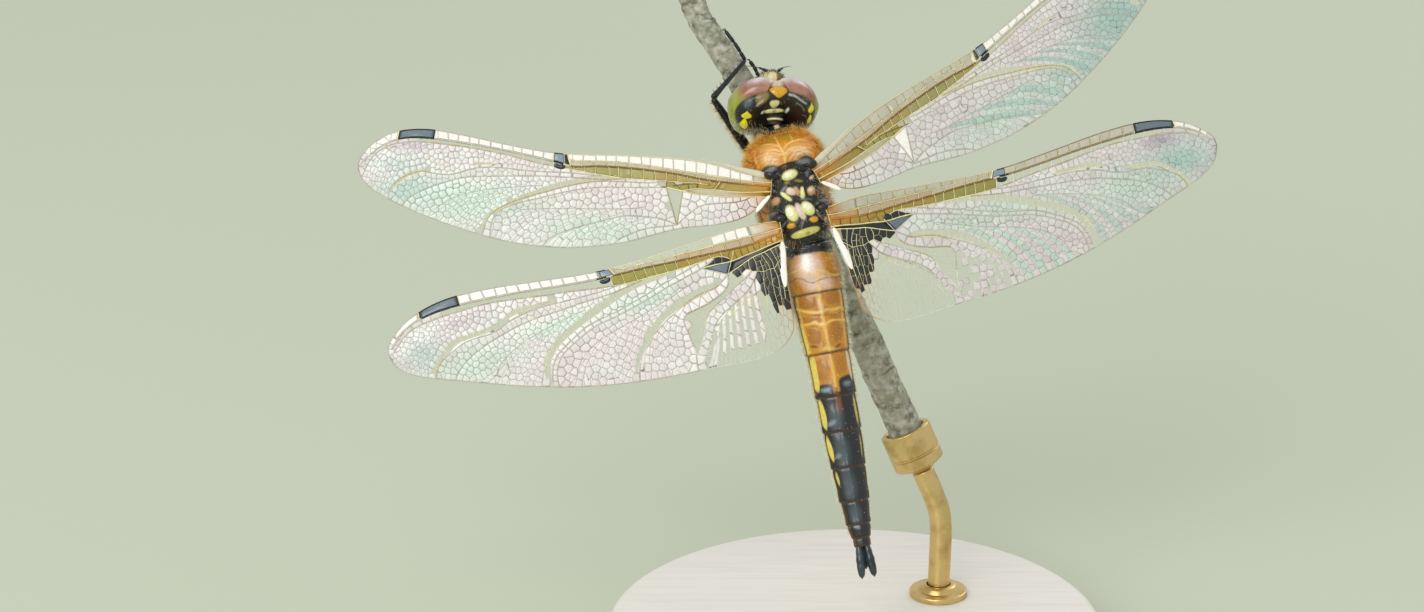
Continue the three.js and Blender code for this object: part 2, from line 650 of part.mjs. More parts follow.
const flangeBore = ROD_RADIUS + JOINT_GAP;
const flangeProfile = [
  [flangeBore, 0],
  [FLANGE_RADIUS, 0],
  [FLANGE_RADIUS, FLANGE_HEIGHT / 2],
  [flangeBore + FLANGE_HEIGHT / 2, FLANGE_HEIGHT],
  [flangeBore, FLANGE_HEIGHT],
  [flangeBore, 0],
];
model.add(piece("stand_flange", stoodAlong(lathe(flangeProfile, 24), rodFoot, UP), BRASS_FINISH));

export default model;
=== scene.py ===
"""The looks of a life-size four-spotted chaser dragonfly on a twig and a museum stand.

Every sub-assembly is a class that holds its sizes in millimetres, in the same local frame as the
solid it dresses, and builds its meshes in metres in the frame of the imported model:

    perch frame    X to the insect's right, Y up along the twig, Z out of the insect's back
    body frame     the perch frame turned so that Y runs from tail to head
    head frame     X right, Y out of the face, Z out of the crown
    abdomen frame  the body frame turned at the waist, with the abdomen along -Y
    wing frames    X from root to tip, Y towards the front edge, Z up off the wing
"""

from __future__ import annotations

import logging
import math
import sys
from dataclasses import dataclass, replace
from enum import Enum
from functools import cache
from typing import Iterable, Sequence

import bpy
import numpy as np
from mathutils import Matrix, Vector
from mathutils.geometry import delaunay_2d_cdt


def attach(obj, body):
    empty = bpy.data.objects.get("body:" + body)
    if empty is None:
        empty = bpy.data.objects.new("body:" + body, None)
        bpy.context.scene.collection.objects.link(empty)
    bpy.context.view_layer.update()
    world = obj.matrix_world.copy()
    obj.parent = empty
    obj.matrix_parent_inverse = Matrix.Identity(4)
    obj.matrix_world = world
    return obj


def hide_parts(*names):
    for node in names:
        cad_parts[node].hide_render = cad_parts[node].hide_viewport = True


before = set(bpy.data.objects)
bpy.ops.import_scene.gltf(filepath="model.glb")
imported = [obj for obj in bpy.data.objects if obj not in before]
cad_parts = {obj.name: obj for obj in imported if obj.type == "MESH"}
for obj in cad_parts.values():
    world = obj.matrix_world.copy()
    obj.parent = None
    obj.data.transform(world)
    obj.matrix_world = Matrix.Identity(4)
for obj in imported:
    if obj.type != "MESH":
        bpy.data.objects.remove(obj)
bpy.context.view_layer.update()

LOG = logging.getLogger("dragonfly")
MM = 0.001
BODY = "root"

Point = Sequence[float]
Values = np.ndarray
Face = tuple[int, ...]
Edge = tuple[int, int]
Route = tuple[tuple[float, float], ...]
Paints = tuple[tuple[str, str], ...]
Socket = bpy.types.NodeSocket


class Slot(Enum):
    """The material slots of the model's record."""

    WINGS = "wings"
    THORAX = "thorax"
    ABDOMEN_FRONT = "abdomen_front"
    ABDOMEN_REAR = "abdomen_rear"
    HEAD = "head_shell"
    EYES = "eyes"
    FACE = "face"
    LEGS = "legs"
    BARK = "bark"
    PAINTED = "stand_white"
    BRASS = "stand_brass"


# ---- Numbers ----------------------------------------------------------------------------------
def smooth(value: Values, low: float, high: float) -> Values:
    """A smooth step that is 0 at low and 1 at high."""
    share = np.clip((np.asarray(value, float) - low) / (high - low), 0.0, 1.0)
    return share * share * (3 - 2 * share)


def mix(a: Values, b: Values, share: Values) -> Values:
    """The value that lies a share of the way from a to b."""
    return a + (b - a) * share


def stepped(values: Sequence[float], t: Values) -> Values:
    """Reads smooth values from evenly spaced steps, with t from 0 to 1."""
    steps = np.asarray(values, float)
    place = np.clip(t, 0, 1) * (len(steps) - 1)
    index = np.minimum(place.astype(int), len(steps) - 2)
    return mix(steps[index], steps[index + 1], smooth(place - index, 0, 1))


def spline(points: Sequence[Point], t: Values) -> Values:
    """A smooth curve through points, evenly timed from one to the next.

    Args:
        points: The points, in two or three coordinates.
        t: Where to read the curve, from 0 to 1.

    Returns:
        One row of coordinates for each value of t.
    """
    knots = np.asarray(points, float)
    place = np.clip(np.asarray(t, float), 0, 1) * (len(knots) - 1)
    index = np.minimum(place.astype(int), len(knots) - 2)
    s = (place - index)[:, None]
    before, start = knots[np.maximum(index - 1, 0)], knots[index]
    end, after = knots[index + 1], knots[np.minimum(index + 2, len(knots) - 1)]
    leave, arrive = (end - before) / 2, (after - start) / 2
    return (
        start
        + leave * s
        + (3 * (end - start) - 2 * leave - arrive) * s**2
        + (2 * (start - end) + leave + arrive) * s**3
    )


def even_spline(points: Sequence[Point], step: float) -> Values:
    """The same curve, read at even distances of about one step."""
    dense = spline(points, np.linspace(0, 1, 40 * len(points)))
    along = np.r_[0, np.cumsum(np.linalg.norm(np.diff(dense, axis=0), axis=1))]
    places = np.linspace(0, along[-1], max(2, round(along[-1] / step) + 1))
    return np.stack([np.interp(places, along, column) for column in dense.T], -1)


def enclosed(places: Values, loop: Values) -> Values:
    """Which places on a plane are inside a closed outline."""
    inside = np.zeros(len(places), bool)
    for (x0, y0), (x1, y1) in zip(loop, np.roll(loop, -1, 0)):
        between = (y0 > places[:, 1]) != (y1 > places[:, 1])
        if between.any():
            where = (x1 - x0) * (places[:, 1] - y0) / (y1 - y0 + 1e-12) + x0
            inside ^= between & (places[:, 0] < where)
    return inside


def value_noise(points: Values, size: float, seed: int) -> Values:
    """Smooth seeded noise from -1 to 1 over points in space, with lumps of the given size."""
    rng = np.random.default_rng(seed)
    turns = rng.normal(size=(7, points.shape[1])) * 1.7 / size
    phases = rng.uniform(0, 2 * math.pi, 7)
    waves = np.sin(points @ turns.T + phases)
    return np.clip(waves.sum(1) / 3.2, -1, 1)


# ---- Frames -----------------------------------------------------------------------------------
@dataclass(frozen=True)
class Frame:
    """A local millimetre frame and the matrix that takes it to the model, in metres."""

    matrix: Matrix

    def inside(self, matrix: Matrix) -> Frame:
        """A frame set inside this one by a matrix in millimetres."""
        return Frame(self.matrix @ matrix)

    def to_model(self, points: Values) -> Values:
        """Takes points from this frame to the model, in metres."""
        table = np.array(self.matrix)
        return points @ table[:3, :3].T + table[:3, 3]

    def from_model(self, points: Values) -> Values:
        """Takes points in metres from the model to this frame."""
        return Frame(self.matrix.inverted()).to_model(points)

    def of(self, other: Frame, points: Sequence[Point]) -> Values:
        """Takes points of this frame to another local frame."""
        return other.from_model(self.to_model(np.asarray(points, float).reshape(-1, 3)))


def turned(angles: Point, order: str, centre: Point = (0, 0, 0)) -> Matrix:
    """A turn by angles in degrees, applied in the given order, about a frame set at centre."""
    turn = Matrix.Identity(4)
    for axis in order:
        angle = math.radians(angles["XYZ".index(axis)])
        turn = turn @ Matrix.Rotation(angle, 4, axis)
    return Matrix.Translation(Vector(centre)) @ turn


@dataclass(frozen=True)
class Posture:
    """How the insect is set out: the same driving sizes and angles as its solids."""

    back: Point = (-5.5, 0.5, 45.0)
    perch_slope: float = 70.0
    body_lean: float = 15.0
    body_roll: float = 6.0
    back_shift: float = -0.15
    abdomen_swing: float = -4.8
    abdomen_start: Point = (0.1, -4.45, -0.15)
    head_centre: Point = (-1.84, 7.5, -0.8)
    head_nod: float = -50.0
    head_turn: float = 12.0

    def frames(self) -> dict[str, Frame]:
        """The local frames by name."""
        model = Frame(Matrix.Scale(MM, 4))
        perch = model.inside(turned((self.perch_slope, 0, 0), "X", self.back))
        lean = (0, self.body_roll, self.body_lean)
        body = perch.inside(turned(lean, "ZY", (self.back_shift, 0, 0)))
        nod = (self.head_nod, self.head_turn, 0)
        return {
            "model": model,
            "perch": perch,
            "body": body,
            "head": perch.inside(turned(nod, "YX", self.head_centre)),
            "abdomen": body.inside(turned((0, 0, self.abdomen_swing), "Z", self.abdomen_start)),
        }


FRAMES = Posture().frames()


# ---- Meshes -----------------------------------------------------------------------------------
class Shape:
    """A mesh that grows in a local millimetre frame, with values kept at its corners."""

    def __init__(self) -> None:
        """Starts with no corners."""
        self.points: list[Values] = []
        self.faces: list[Face] = []
        self.slots: list[int] = []
        self.values: dict[str, list[tuple[int, Values]]] = {}
        self.face_values: dict[str, list[float]] = {}
        self.count = 0

    def add(self, points: Values, faces: Iterable[Sequence[int]], slot: int = 0, **values: Values) -> None:
        """Adds corners and the faces between them.

        Args:
            points: Rows of coordinates in millimetres.
            faces: Corner numbers of each face, counted from the first of these points.
            slot: Which of the piece's materials the faces take.
            **values: A value for each corner, or one for all of them, by name.
        """
        points = np.asarray(points, float).reshape(-1, 3)
        for face in faces:
            self.faces.append(tuple(int(i) + self.count for i in face))
            self.slots.append(slot)
        for name, value in values.items():
            shaped = np.broadcast_to(np.asarray(value, float), (len(points),))
            self.values.setdefault(name, []).append((self.count, shaped))
        self.points.append(points)
        self.count += len(points)

    def tint_faces(self, **values: Sequence[float]) -> None:
        """Adds values for the next faces, by name, in the order in which the faces are added."""
        for name, items in values.items():
            self.face_values.setdefault(name, []).extend(items)

    def corners(self) -> Values:
        """All corners, in millimetres."""
        return np.concatenate(self.points)

    def value(self, name: str) -> Values:
        """One named value for every corner, 0 where none was given."""
        table = np.zeros(self.count)
        for start, values in self.values[name]:
            table[start : start + len(values)] = values
        return table

    def build(self, name: str, local: Frame, *finishes: bpy.types.Material) -> bpy.types.Object:
        """Makes the Blender object, with its local place and its values as attributes.

        Args:
            name: The piece's name.
            local: The frame that the corners are in.
            *finishes: The materials, in the order of the slots.

        Returns:
            The new object, in metres.
        """
        mesh = bpy.data.meshes.new(name)
        local_points = self.corners()
        mirrored = local.matrix.determinant() < 0
        faces = [face[::-1] for face in self.faces] if mirrored else self.faces
        mesh.from_pydata(local.to_model(local_points).tolist(), [], faces)
        mesh.polygons.foreach_set("use_smooth", [True] * len(mesh.polygons))
        for finish in finishes:
            mesh.materials.append(finish)
        mesh.polygons.foreach_set("material_index", self.slots)
        place = mesh.attributes.new("place", "FLOAT_VECTOR", "POINT")
        place.data.foreach_set("vector", local_points.astype(np.float32).ravel())
        for key in self.values:
            layer = mesh.attributes.new(key, "FLOAT", "POINT")
            layer.data.foreach_set("value", self.value(key).astype(np.float32))
        for key, items in self.face_values.items():
            layer = mesh.attributes.new(key, "FLOAT", "FACE")
            layer.data.foreach_set("value", np.array(items, np.float32))
        mesh.validate()
        mesh.update()
        piece = bpy.data.objects.new(name, mesh)
        bpy.context.scene.collection.objects.link(piece)
        return piece

    def install(self, name: str, local: Frame, finish: Finish, slot: Slot, *nodes: str) -> None:
        """Makes the piece in one finish and sets it on the model.

        Args:
            name: The piece's name.
            local: The frame that the corners are in.
            finish: What it is made of.
            slot: The record's material slot.
            *nodes: The solids that the piece stands for.
        """
        install(self.build(name, local, finish.material()), slot, *nodes)


def install(piece: bpy.types.Object, slot: Slot, *nodes: str) -> None:
    """Sets a finished piece on the model.

    Args:
        piece: The piece, in its place.
        slot: The record's material slot. Not used.
        *nodes: The solids that the piece stands for.
    """
    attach(piece, BODY)
    if nodes:
        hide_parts(*nodes)
    LOG.info("%s: %d faces, stands for %s", piece.name, len(piece.data.polygons), list(nodes) or "trim")


def grid_faces(rings: int, sides: int, flip: bool = False, capped: bool = True) -> list[Face]:
    """Faces of a closed sleeve of rings, each with the same number of corners.

    Args:
        rings: How many rings of corners there are.
        sides: Corners in one ring.
        flip: Turns the faces over.
        capped: Closes both ends.

    Returns:
        Corner numbers of the quads, and of the caps.
    """
    faces = []
    for i in range(rings - 1):
        for j in range(sides):
            k = (j + 1) % sides
            faces.append((i * sides + j, i * sides + k, (i + 1) * sides + k, (i + 1) * sides + j))
    if capped:
        faces.append(tuple(range(sides - 1, -1, -1)))
        faces.append(tuple(range((rings - 1) * sides, rings * sides)))
    return [face[::-1] for face in faces] if flip else faces


def transported(path: Values) -> tuple[Values, Values, Values]:
    """Directions along a path and two across it that turn as little as they can."""
    along = np.gradient(path, axis=0)
    along /= np.linalg.norm(along, axis=1, keepdims=True)
    least = np.eye(3)[np.argmin(np.abs(along[0]))]
    side = np.cross(along[0], least)
    sides = []
    for direction in along:
        side = side - direction * (side @ direction)
        side = side / np.linalg.norm(side)
        sides.append(side)
    sides = np.array(sides)
    return along, sides, np.cross(along, sides)


def tube(path: Values, radii: Values, sides: int, flatten: float = 1.0) -> tuple[Values, list]:
    """A closed tube along a path.

    Args:
        path: Rows of points.
        radii: The radius at each point.
        sides: Corners in one ring.
        flatten: Scale of the tube's second direction across.

    Returns:
        The corners and the faces.
    """
    _, first, second = transported(path)
    angle = np.linspace(0, 2 * math.pi, sides, endpoint=False)
    spread = np.broadcast_to(np.asarray(radii, float), (len(path),))[:, None, None]
    cosine, sine = np.cos(angle)[None, :, None], np.sin(angle)[None, :, None]
    ring = cosine * first[:, None] + flatten * sine * second[:, None]
    return (path[:, None] + spread * ring).reshape(-1, 3), grid_faces(len(path), sides)


def rounded_ends(count: int, share: float) -> Values:
    """A radius factor along a tube of count rings, rounding off a share of it at both ends."""
    t = np.linspace(0, 1, count)
    near = np.clip(np.minimum(t, 1 - t) / share, 0, 1)
    return np.sqrt(np.clip(1 - (1 - near) ** 2, 0.0, 1)) * 0.999 + 0.001


# ---- Materials --------------------------------------------------------------------------------
def colour(code: str) -> tuple[float, float, float, float]:
    """The linear colour of a hex code such as "#c89a3c"."""
    parts = [int(code[i : i + 2], 16) / 255 for i in (1, 3, 5)]
    linear = [p / 12.92 if p <= 0.04045 else ((p + 0.055) / 1.055) ** 2.4 for p in parts]
    return (linear[0], linear[1], linear[2], 1.0)


class Nodes:
    """Sets shader nodes in one material or group, and joins them."""

    def __init__(self, tree: bpy.types.NodeTree) -> None:
        """Works in the given tree."""
        self.tree = tree

    def new(self, kind: str, **settings: object) -> bpy.types.Node:
        """A new node of a kind, with its settings."""
        node = self.tree.nodes.new(kind)
        for key, value in settings.items():
            setattr(node, key, value)
        return node

    def feed(self, socket: Socket, value: object) -> None:
        """Links a socket to another one, or sets its value."""
        if isinstance(value, Socket):
            self.tree.links.new(value, socket)
        else:
            socket.default_value = value

    def mask(self, name: str) -> Socket:
        """A value kept at the mesh's corners."""
        return self.new("ShaderNodeAttribute", attribute_name=name).outputs["Fac"]

    def place(self) -> Socket:
        """The local place on the piece, in millimetres."""
        return self.new("ShaderNodeAttribute", attribute_name="place").outputs["Vector"]

    def math(self, operation: str, a: object, b: object = 0.0, clamp: bool = False) -> Socket:
        """The result of one sum on two values."""
        node = self.new("ShaderNodeMath", operation=operation, use_clamp=clamp)
        self.feed(node.inputs[0], a)
        self.feed(node.inputs[1], b)
        return node.outputs[0]

    def blend(self, a: object, b: object, share: object, mode: str = "MIX") -> Socket:
        """Two colours mixed."""
        node = self.new("ShaderNodeMix", data_type="RGBA", blend_type=mode)
        self.feed(node.inputs[0], share)
        self.feed(node.inputs[6], a)
        self.feed(node.inputs[7], b)
        return node.outputs[2]

    def patched(self, tone: object, paints: Paints) -> Socket:
        """Colours laid over a tone in turn, each where the mesh's value of its name says."""
        for name, code in paints:
            tone = self.blend(tone, colour(code), self.mask(name))
        return tone

    def between(
        self, value: object, low: float, high: float, out_low: float = 0, out_high: float = 1
    ) -> Socket:
        """A value moved smoothly from one range to another, and kept in it."""
        node = self.new("ShaderNodeMapRange", interpolation_type="SMOOTHSTEP")
        for index, item in enumerate((value, low, high, out_low, out_high)):
            self.feed(node.inputs[index], item)
        return node.outputs[0]

    def noise(
        self, scale: float, detail: float = 3, roughness: float = 0.55, stretch: Point = (1, 1, 1)
    ) -> Socket:
        """Noise over the local place, in lumps per millimetre."""
        mapping = self.new("ShaderNodeMapping")
        mapping.inputs["Scale"].default_value = stretch
        self.feed(mapping.inputs["Vector"], self.place())
        node = self.new("ShaderNodeTexNoise")
        self.feed(node.inputs["Vector"], mapping.outputs[0])
        node.inputs["Scale"].default_value = scale
        node.inputs["Detail"].default_value = detail
        node.inputs["Roughness"].default_value = roughness
        return node.outputs["Fac"]

    def bump(self, height: object, strength: float, distance: float, under: object = None) -> Socket:
        """A normal bent by a height, with the distance in millimetres."""
        node = self.new("ShaderNodeBump")
        node.inputs["Strength"].default_value = strength
        node.inputs["Distance"].default_value = distance * MM
        self.feed(node.inputs["Height"], height)
        if under is not None:
            self.feed(node.inputs["Normal"], under)
        return node.outputs[0]

    def group(self, tree: bpy.types.NodeTree, **inputs: object) -> bpy.types.Node:
        """A node group set in this tree, with its inputs fed by name."""
        node = self.new("ShaderNodeGroup", node_tree=tree)
        for name, value in inputs.items():
            self.feed(node.inputs[name], value)
        return node


def group_tree(
    name: str, inputs: dict[str, str], outputs: dict[str, str]
) -> tuple[Nodes, bpy.types.Node, bpy.types.Node]:
    """An empty node group with named inputs and outputs.

    Args:
        name: The group's name.
        inputs: Kinds of the input sockets by name, such as Float or Vector.
        outputs: Kinds of the output sockets by name.

    Returns:
        The tools to fill it, its input node and its output node.
    """
    tree = bpy.data.node_groups.new(name, "ShaderNodeTree")
    for direction, sockets in (("INPUT", inputs), ("OUTPUT", outputs)):
        for title, kind in sockets.items():
            tree.interface.new_socket(name=title, in_out=direction, socket_type=f"NodeSocket{kind}")
    nodes = Nodes(tree)
    return nodes, nodes.new("NodeGroupInput"), nodes.new("NodeGroupOutput")


def cuticle_group() -> bpy.types.NodeTree:
    """Fine pits and soft mottling of an insect's hard skin, shared by all its plates."""
    nodes, given, result = group_tree(
        "cuticle",
        {"Place": "Vector", "Pit Scale": "Float", "Mottle Scale": "Float"},
        {"Shade": "Float", "Height": "Float"},
    )
    pits = nodes.new("ShaderNodeTexVoronoi", feature="F1")
    nodes.feed(pits.inputs["Vector"], given.outputs["Place"])
    nodes.feed(pits.inputs["Scale"], given.outputs["Pit Scale"])
    mottle = nodes.new("ShaderNodeTexNoise")
    nodes.feed(mottle.inputs["Vector"], given.outputs["Place"])
    nodes.feed(mottle.inputs["Scale"], given.outputs["Mottle Scale"])
    mottle.inputs["Detail"].default_value = 4
    depth = nodes.between(pits.outputs["Distance"], 0.05, 0.5)
    nodes.feed(result.inputs["Shade"], mottle.outputs["Fac"])
    nodes.feed(result.inputs["Height"], nodes.math("MULTIPLY", depth, mottle.outputs["Fac"]))
    return nodes.tree


CUTICLE = cuticle_group()


@dataclass(frozen=True)
class Finish:
    """A finish with its gloss. Each kind of finish paints its own colours."""

    name: str
    roughness: float = 0.5
    metallic: float = 0.0
    coat: float = 0.0
    specular: float = 0.5

    def paint(self, nodes: Nodes, shader: bpy.types.Node) -> None:
        """Feeds the shader's colour and normal. Each kind of finish says how."""
        raise NotImplementedError

    @cache
    def material(self) -> bpy.types.Material:
        """Builds the material, once for all pieces of the same finish."""
        made = bpy.data.materials.new(self.name)
        made.use_nodes = True
        nodes = Nodes(made.node_tree)
        shader = made.node_tree.nodes["Principled BSDF"]
        shader.inputs["Roughness"].default_value = self.roughness
        shader.inputs["Metallic"].default_value = self.metallic
        shader.inputs["Coat Weight"].default_value = self.coat
        shader.inputs["Specular IOR Level"].default_value = self.specular
        self.paint(nodes, shader)
        return made


@dataclass(frozen=True)
class MembraneFinish(Finish):
    """Wing membrane: painted reflection of the sky as pearly cells in pink, mint and teal, clear ones
    between, amber at the front.
    """

    # painted reflection of the sky: the pearly white of the film
    painted_reflection: str = "#ecebe4"
    tints: Paints = (
        ("clear", "#d9dccb"),
        # painted reflection of the sky: rose, mint, teal, mauve and bright tint the pearly film
        ("rose", "#e6dad9"),
        ("mint", "#cbe6d2"),
        ("teal", "#9ccabf"),
        ("mauve", "#a58fa6"),
        ("beige", "#cdc7ad"),
        ("bright", "#f6f3e9"),
        ("olive", "#a39a3a"),
        ("amber", "#c1871a"),
        ("dark", "#0c1a1a"),
        # painted highlight: a blue-grey sheen over the dark nodal spot and pterostigma
        ("sheen", "#93a5b2"),
    )

    def paint(self, nodes: Nodes, shader: bpy.types.Node) -> None:
        """Mixes the tints by the values at the corners, with painted shade darker at the rim of each cell.
        """
        tone = nodes.patched(colour(self.painted_reflection), self.tints)
        ripple = nodes.between(nodes.noise(3.2, 2), 0.3, 0.7, 0.94, 1.05)
        # painted shade: the mesh's shade value darkens each cell's rim and the wings turned from the light,
        # and varies at random from cell to cell
        shade = nodes.math("MULTIPLY", nodes.mask("shade"), ripple)
        tone = nodes.blend(tone, shade, 1.0, "MULTIPLY")
        nodes.feed(shader.inputs["Base Color"], tone)
        nodes.feed(shader.inputs["Alpha"], nodes.mask("film"))
        nodes.feed(shader.inputs["Normal"], nodes.bump(nodes.noise(5, 2), 0.25, 0.02))


@dataclass(frozen=True)
class VeinFinish(Finish):
    """Wing veins: brown, black, cream or grey-green by what they run through."""

    brown: str = "#856222"
    tints: Paints = (
        ("grey", "#e2e4da"),
        ("rust", "#c07a1e"),
        ("cream", "#f8ecb0"),
        ("white", "#efece0"),
        ("black", "#14130f"),
    )

    def paint(self, nodes: Nodes, shader: bpy.types.Node) -> None:
        """Mixes the vein colours by the values at the corners."""
        tone = nodes.patched(colour(self.brown), self.tints)
        shade = nodes.between(nodes.noise(2.5, 3), 0.25, 0.75, 0.82, 1.12)
        nodes.feed(shader.inputs["Base Color"], nodes.blend(tone, shade, 1.0, "MULTIPLY"))
        nodes.feed(shader.inputs["Normal"], nodes.bump(nodes.noise(9, 2), 0.3, 0.02))


# ---- Wings ------------------------------------------------------------------------------------
@dataclass(frozen=True)
class Vein:
    """A main vein: its route from the root, half its width, and its ridge (or valley) height."""

    name: str
    half: float
    ridge: float
    points: Route


@dataclass(frozen=True)
class Ladder:
    """Cross-veins between two veins, at an even pitch along the first."""

    front: str
    rear: str
    start: float
    end: float
    pitch: float


@dataclass(frozen=True)
class Line:
    """A drawn line of the wing's net."""

    points: Values
    half: float
    main: bool
    name: str = ""


class Region:
    """A part of a wing."""

    def covers(self, net: Net, places: Values) -> Values:
        """Which places are in it."""
        raise NotImplementedError


@dataclass(frozen=True)
class Between(Region):
    """The part between two veins, from a start to an end along the wing."""

    front: str
    rear: str
    start: float
    end: float

    def covers(self, net: Net, places: Values) -> Values:
        """Which places are in it."""
        x, y = places.T
        inside = (y < net.height(self.front, x)) & (y > net.height(self.rear, x))
        return inside & (x > self.start) & (x < self.end)


@dataclass(frozen=True)
class Patchwork(Region):
    """The part inside a drawn outline."""

    points: Route

    def covers(self, net: Net, places: Values) -> Values:
        """Which places are in it."""
        return enclosed(places, even_spline(self.points + self.points[:1], 0.3))


STRIPE_STEP = 0.14


@dataclass(frozen=True)
class Stripe(Region):
    """A row of cells along a line, with its own walls on both sides and rungs between them."""

    points: Route
    widths: tuple[float, ...]
    ragged: float = 0.07
    pitch: float = 0.55
    overlap: float = 0.05

    def rails(self, grow: float = 0.0) -> tuple[Values, Values]:
        """The front and the rear edge, the front one uneven."""
        path = even_spline(self.points, STRIPE_STEP)
        run = np.gradient(path, axis=0)
        run /= np.linalg.norm(run, axis=1, keepdims=True)
        side = np.stack([-run[:, 1], run[:, 0]], -1)
        t = np.linspace(0, 1, len(path))
        half = stepped(self.widths, t)[:, None] / 2 + grow
        along = np.arange(len(path)) * STRIPE_STEP
        teeth = self.ragged * (np.abs((along / self.pitch) % 1 - 0.5) * 3 - 0.6)
        uneven = teeth + 0.5 * self.ragged * np.sin(along * 2.3 + self.points[0][0])
        return path + side * (half + uneven[:, None]), path - side * half

    def covers(self, net: Net, places: Values) -> Values:
        """Which places are in it."""
        front, rear = self.rails(self.overlap)
        return enclosed(places, np.concatenate([front, rear[::-1]]))


@dataclass(frozen=True)
class Comb(Region):
    """Thin veins that leave a vein and bend back to the rear edge, with rows of cells between.

    It covers every second row.
    """

    front: str
    leave: tuple[float, float]
    reach: tuple[float, float]
    count: int
    bow: float = 0.5

    def lines(self, net: Net) -> list[Values]:
        """The veins, from their start to the rear edge."""
        drawn = []
        for share in np.linspace(0, 1, self.count):
            x = mix(*self.leave, share)
            start = np.array([x, net.height(self.front, x) - 0.02])
            ahead = np.array([x + 0.6, net.height(self.front, x + 0.6) - 0.02]) - start
            foot_x = mix(*self.reach, share)
            foot = np.array([foot_x, net.height("rim", foot_x)])
            far = np.linalg.norm(foot - start)
            drop = np.array([0.0, 0.6 * (0.7 - self.bow)])
            knee = start + (ahead / np.linalg.norm(ahead) * self.bow - drop) * far
            t = np.linspace(0, 1, max(4, round(far / 0.3)))[:, None]
            drawn.append((1 - t) ** 2 * start + 2 * t * (1 - t) * knee + t**2 * foot)
        return drawn

    def covers(self, net: Net, places: Values) -> Values:
        """Which places are in every second row."""
        lines = self.lines(net)
        found = np.zeros(len(places), bool)
        for one, two in zip(lines[::2], lines[1::2]):
            found |= enclosed(places, np.concatenate([one, two[::-1]]))
        return found


@dataclass(frozen=True)
class Grain:
    """A part of a wing whose small cells are drawn out: how wide and how long, against round ones."""

    region: Region
    scale: tuple[float, float]


@dataclass(frozen=True)
class Mark:
    """A tint on the cells of a region, on all of them or on a random share."""

    tint: str
    amount: float
    region: Region
    share: float = 1.0


@dataclass(frozen=True)
class WingPlan:
    """The outline and main veins of a wing, its tip along +X and its front edge towards +Y."""

    root: Point
    chords: tuple[tuple[tuple[float, float], tuple[float, float]], ...]
    veins: tuple[Vein, ...]
    ladders: tuple[Ladder, ...]
    combs: tuple[Comb, ...]
    stripes: tuple[Stripe, ...]
    nodus: float
    stigma: tuple[float, float]
    membranule: Route
    membranule_half: float
    plain: tuple[Patchwork, ...]
    strap: tuple[Point, ...]
    grains: tuple[Grain, ...]
    camber: float = 0.25
    edge_inset: float = 0.1
    cell: float = 0.66
    tip_cell: float = 0.5


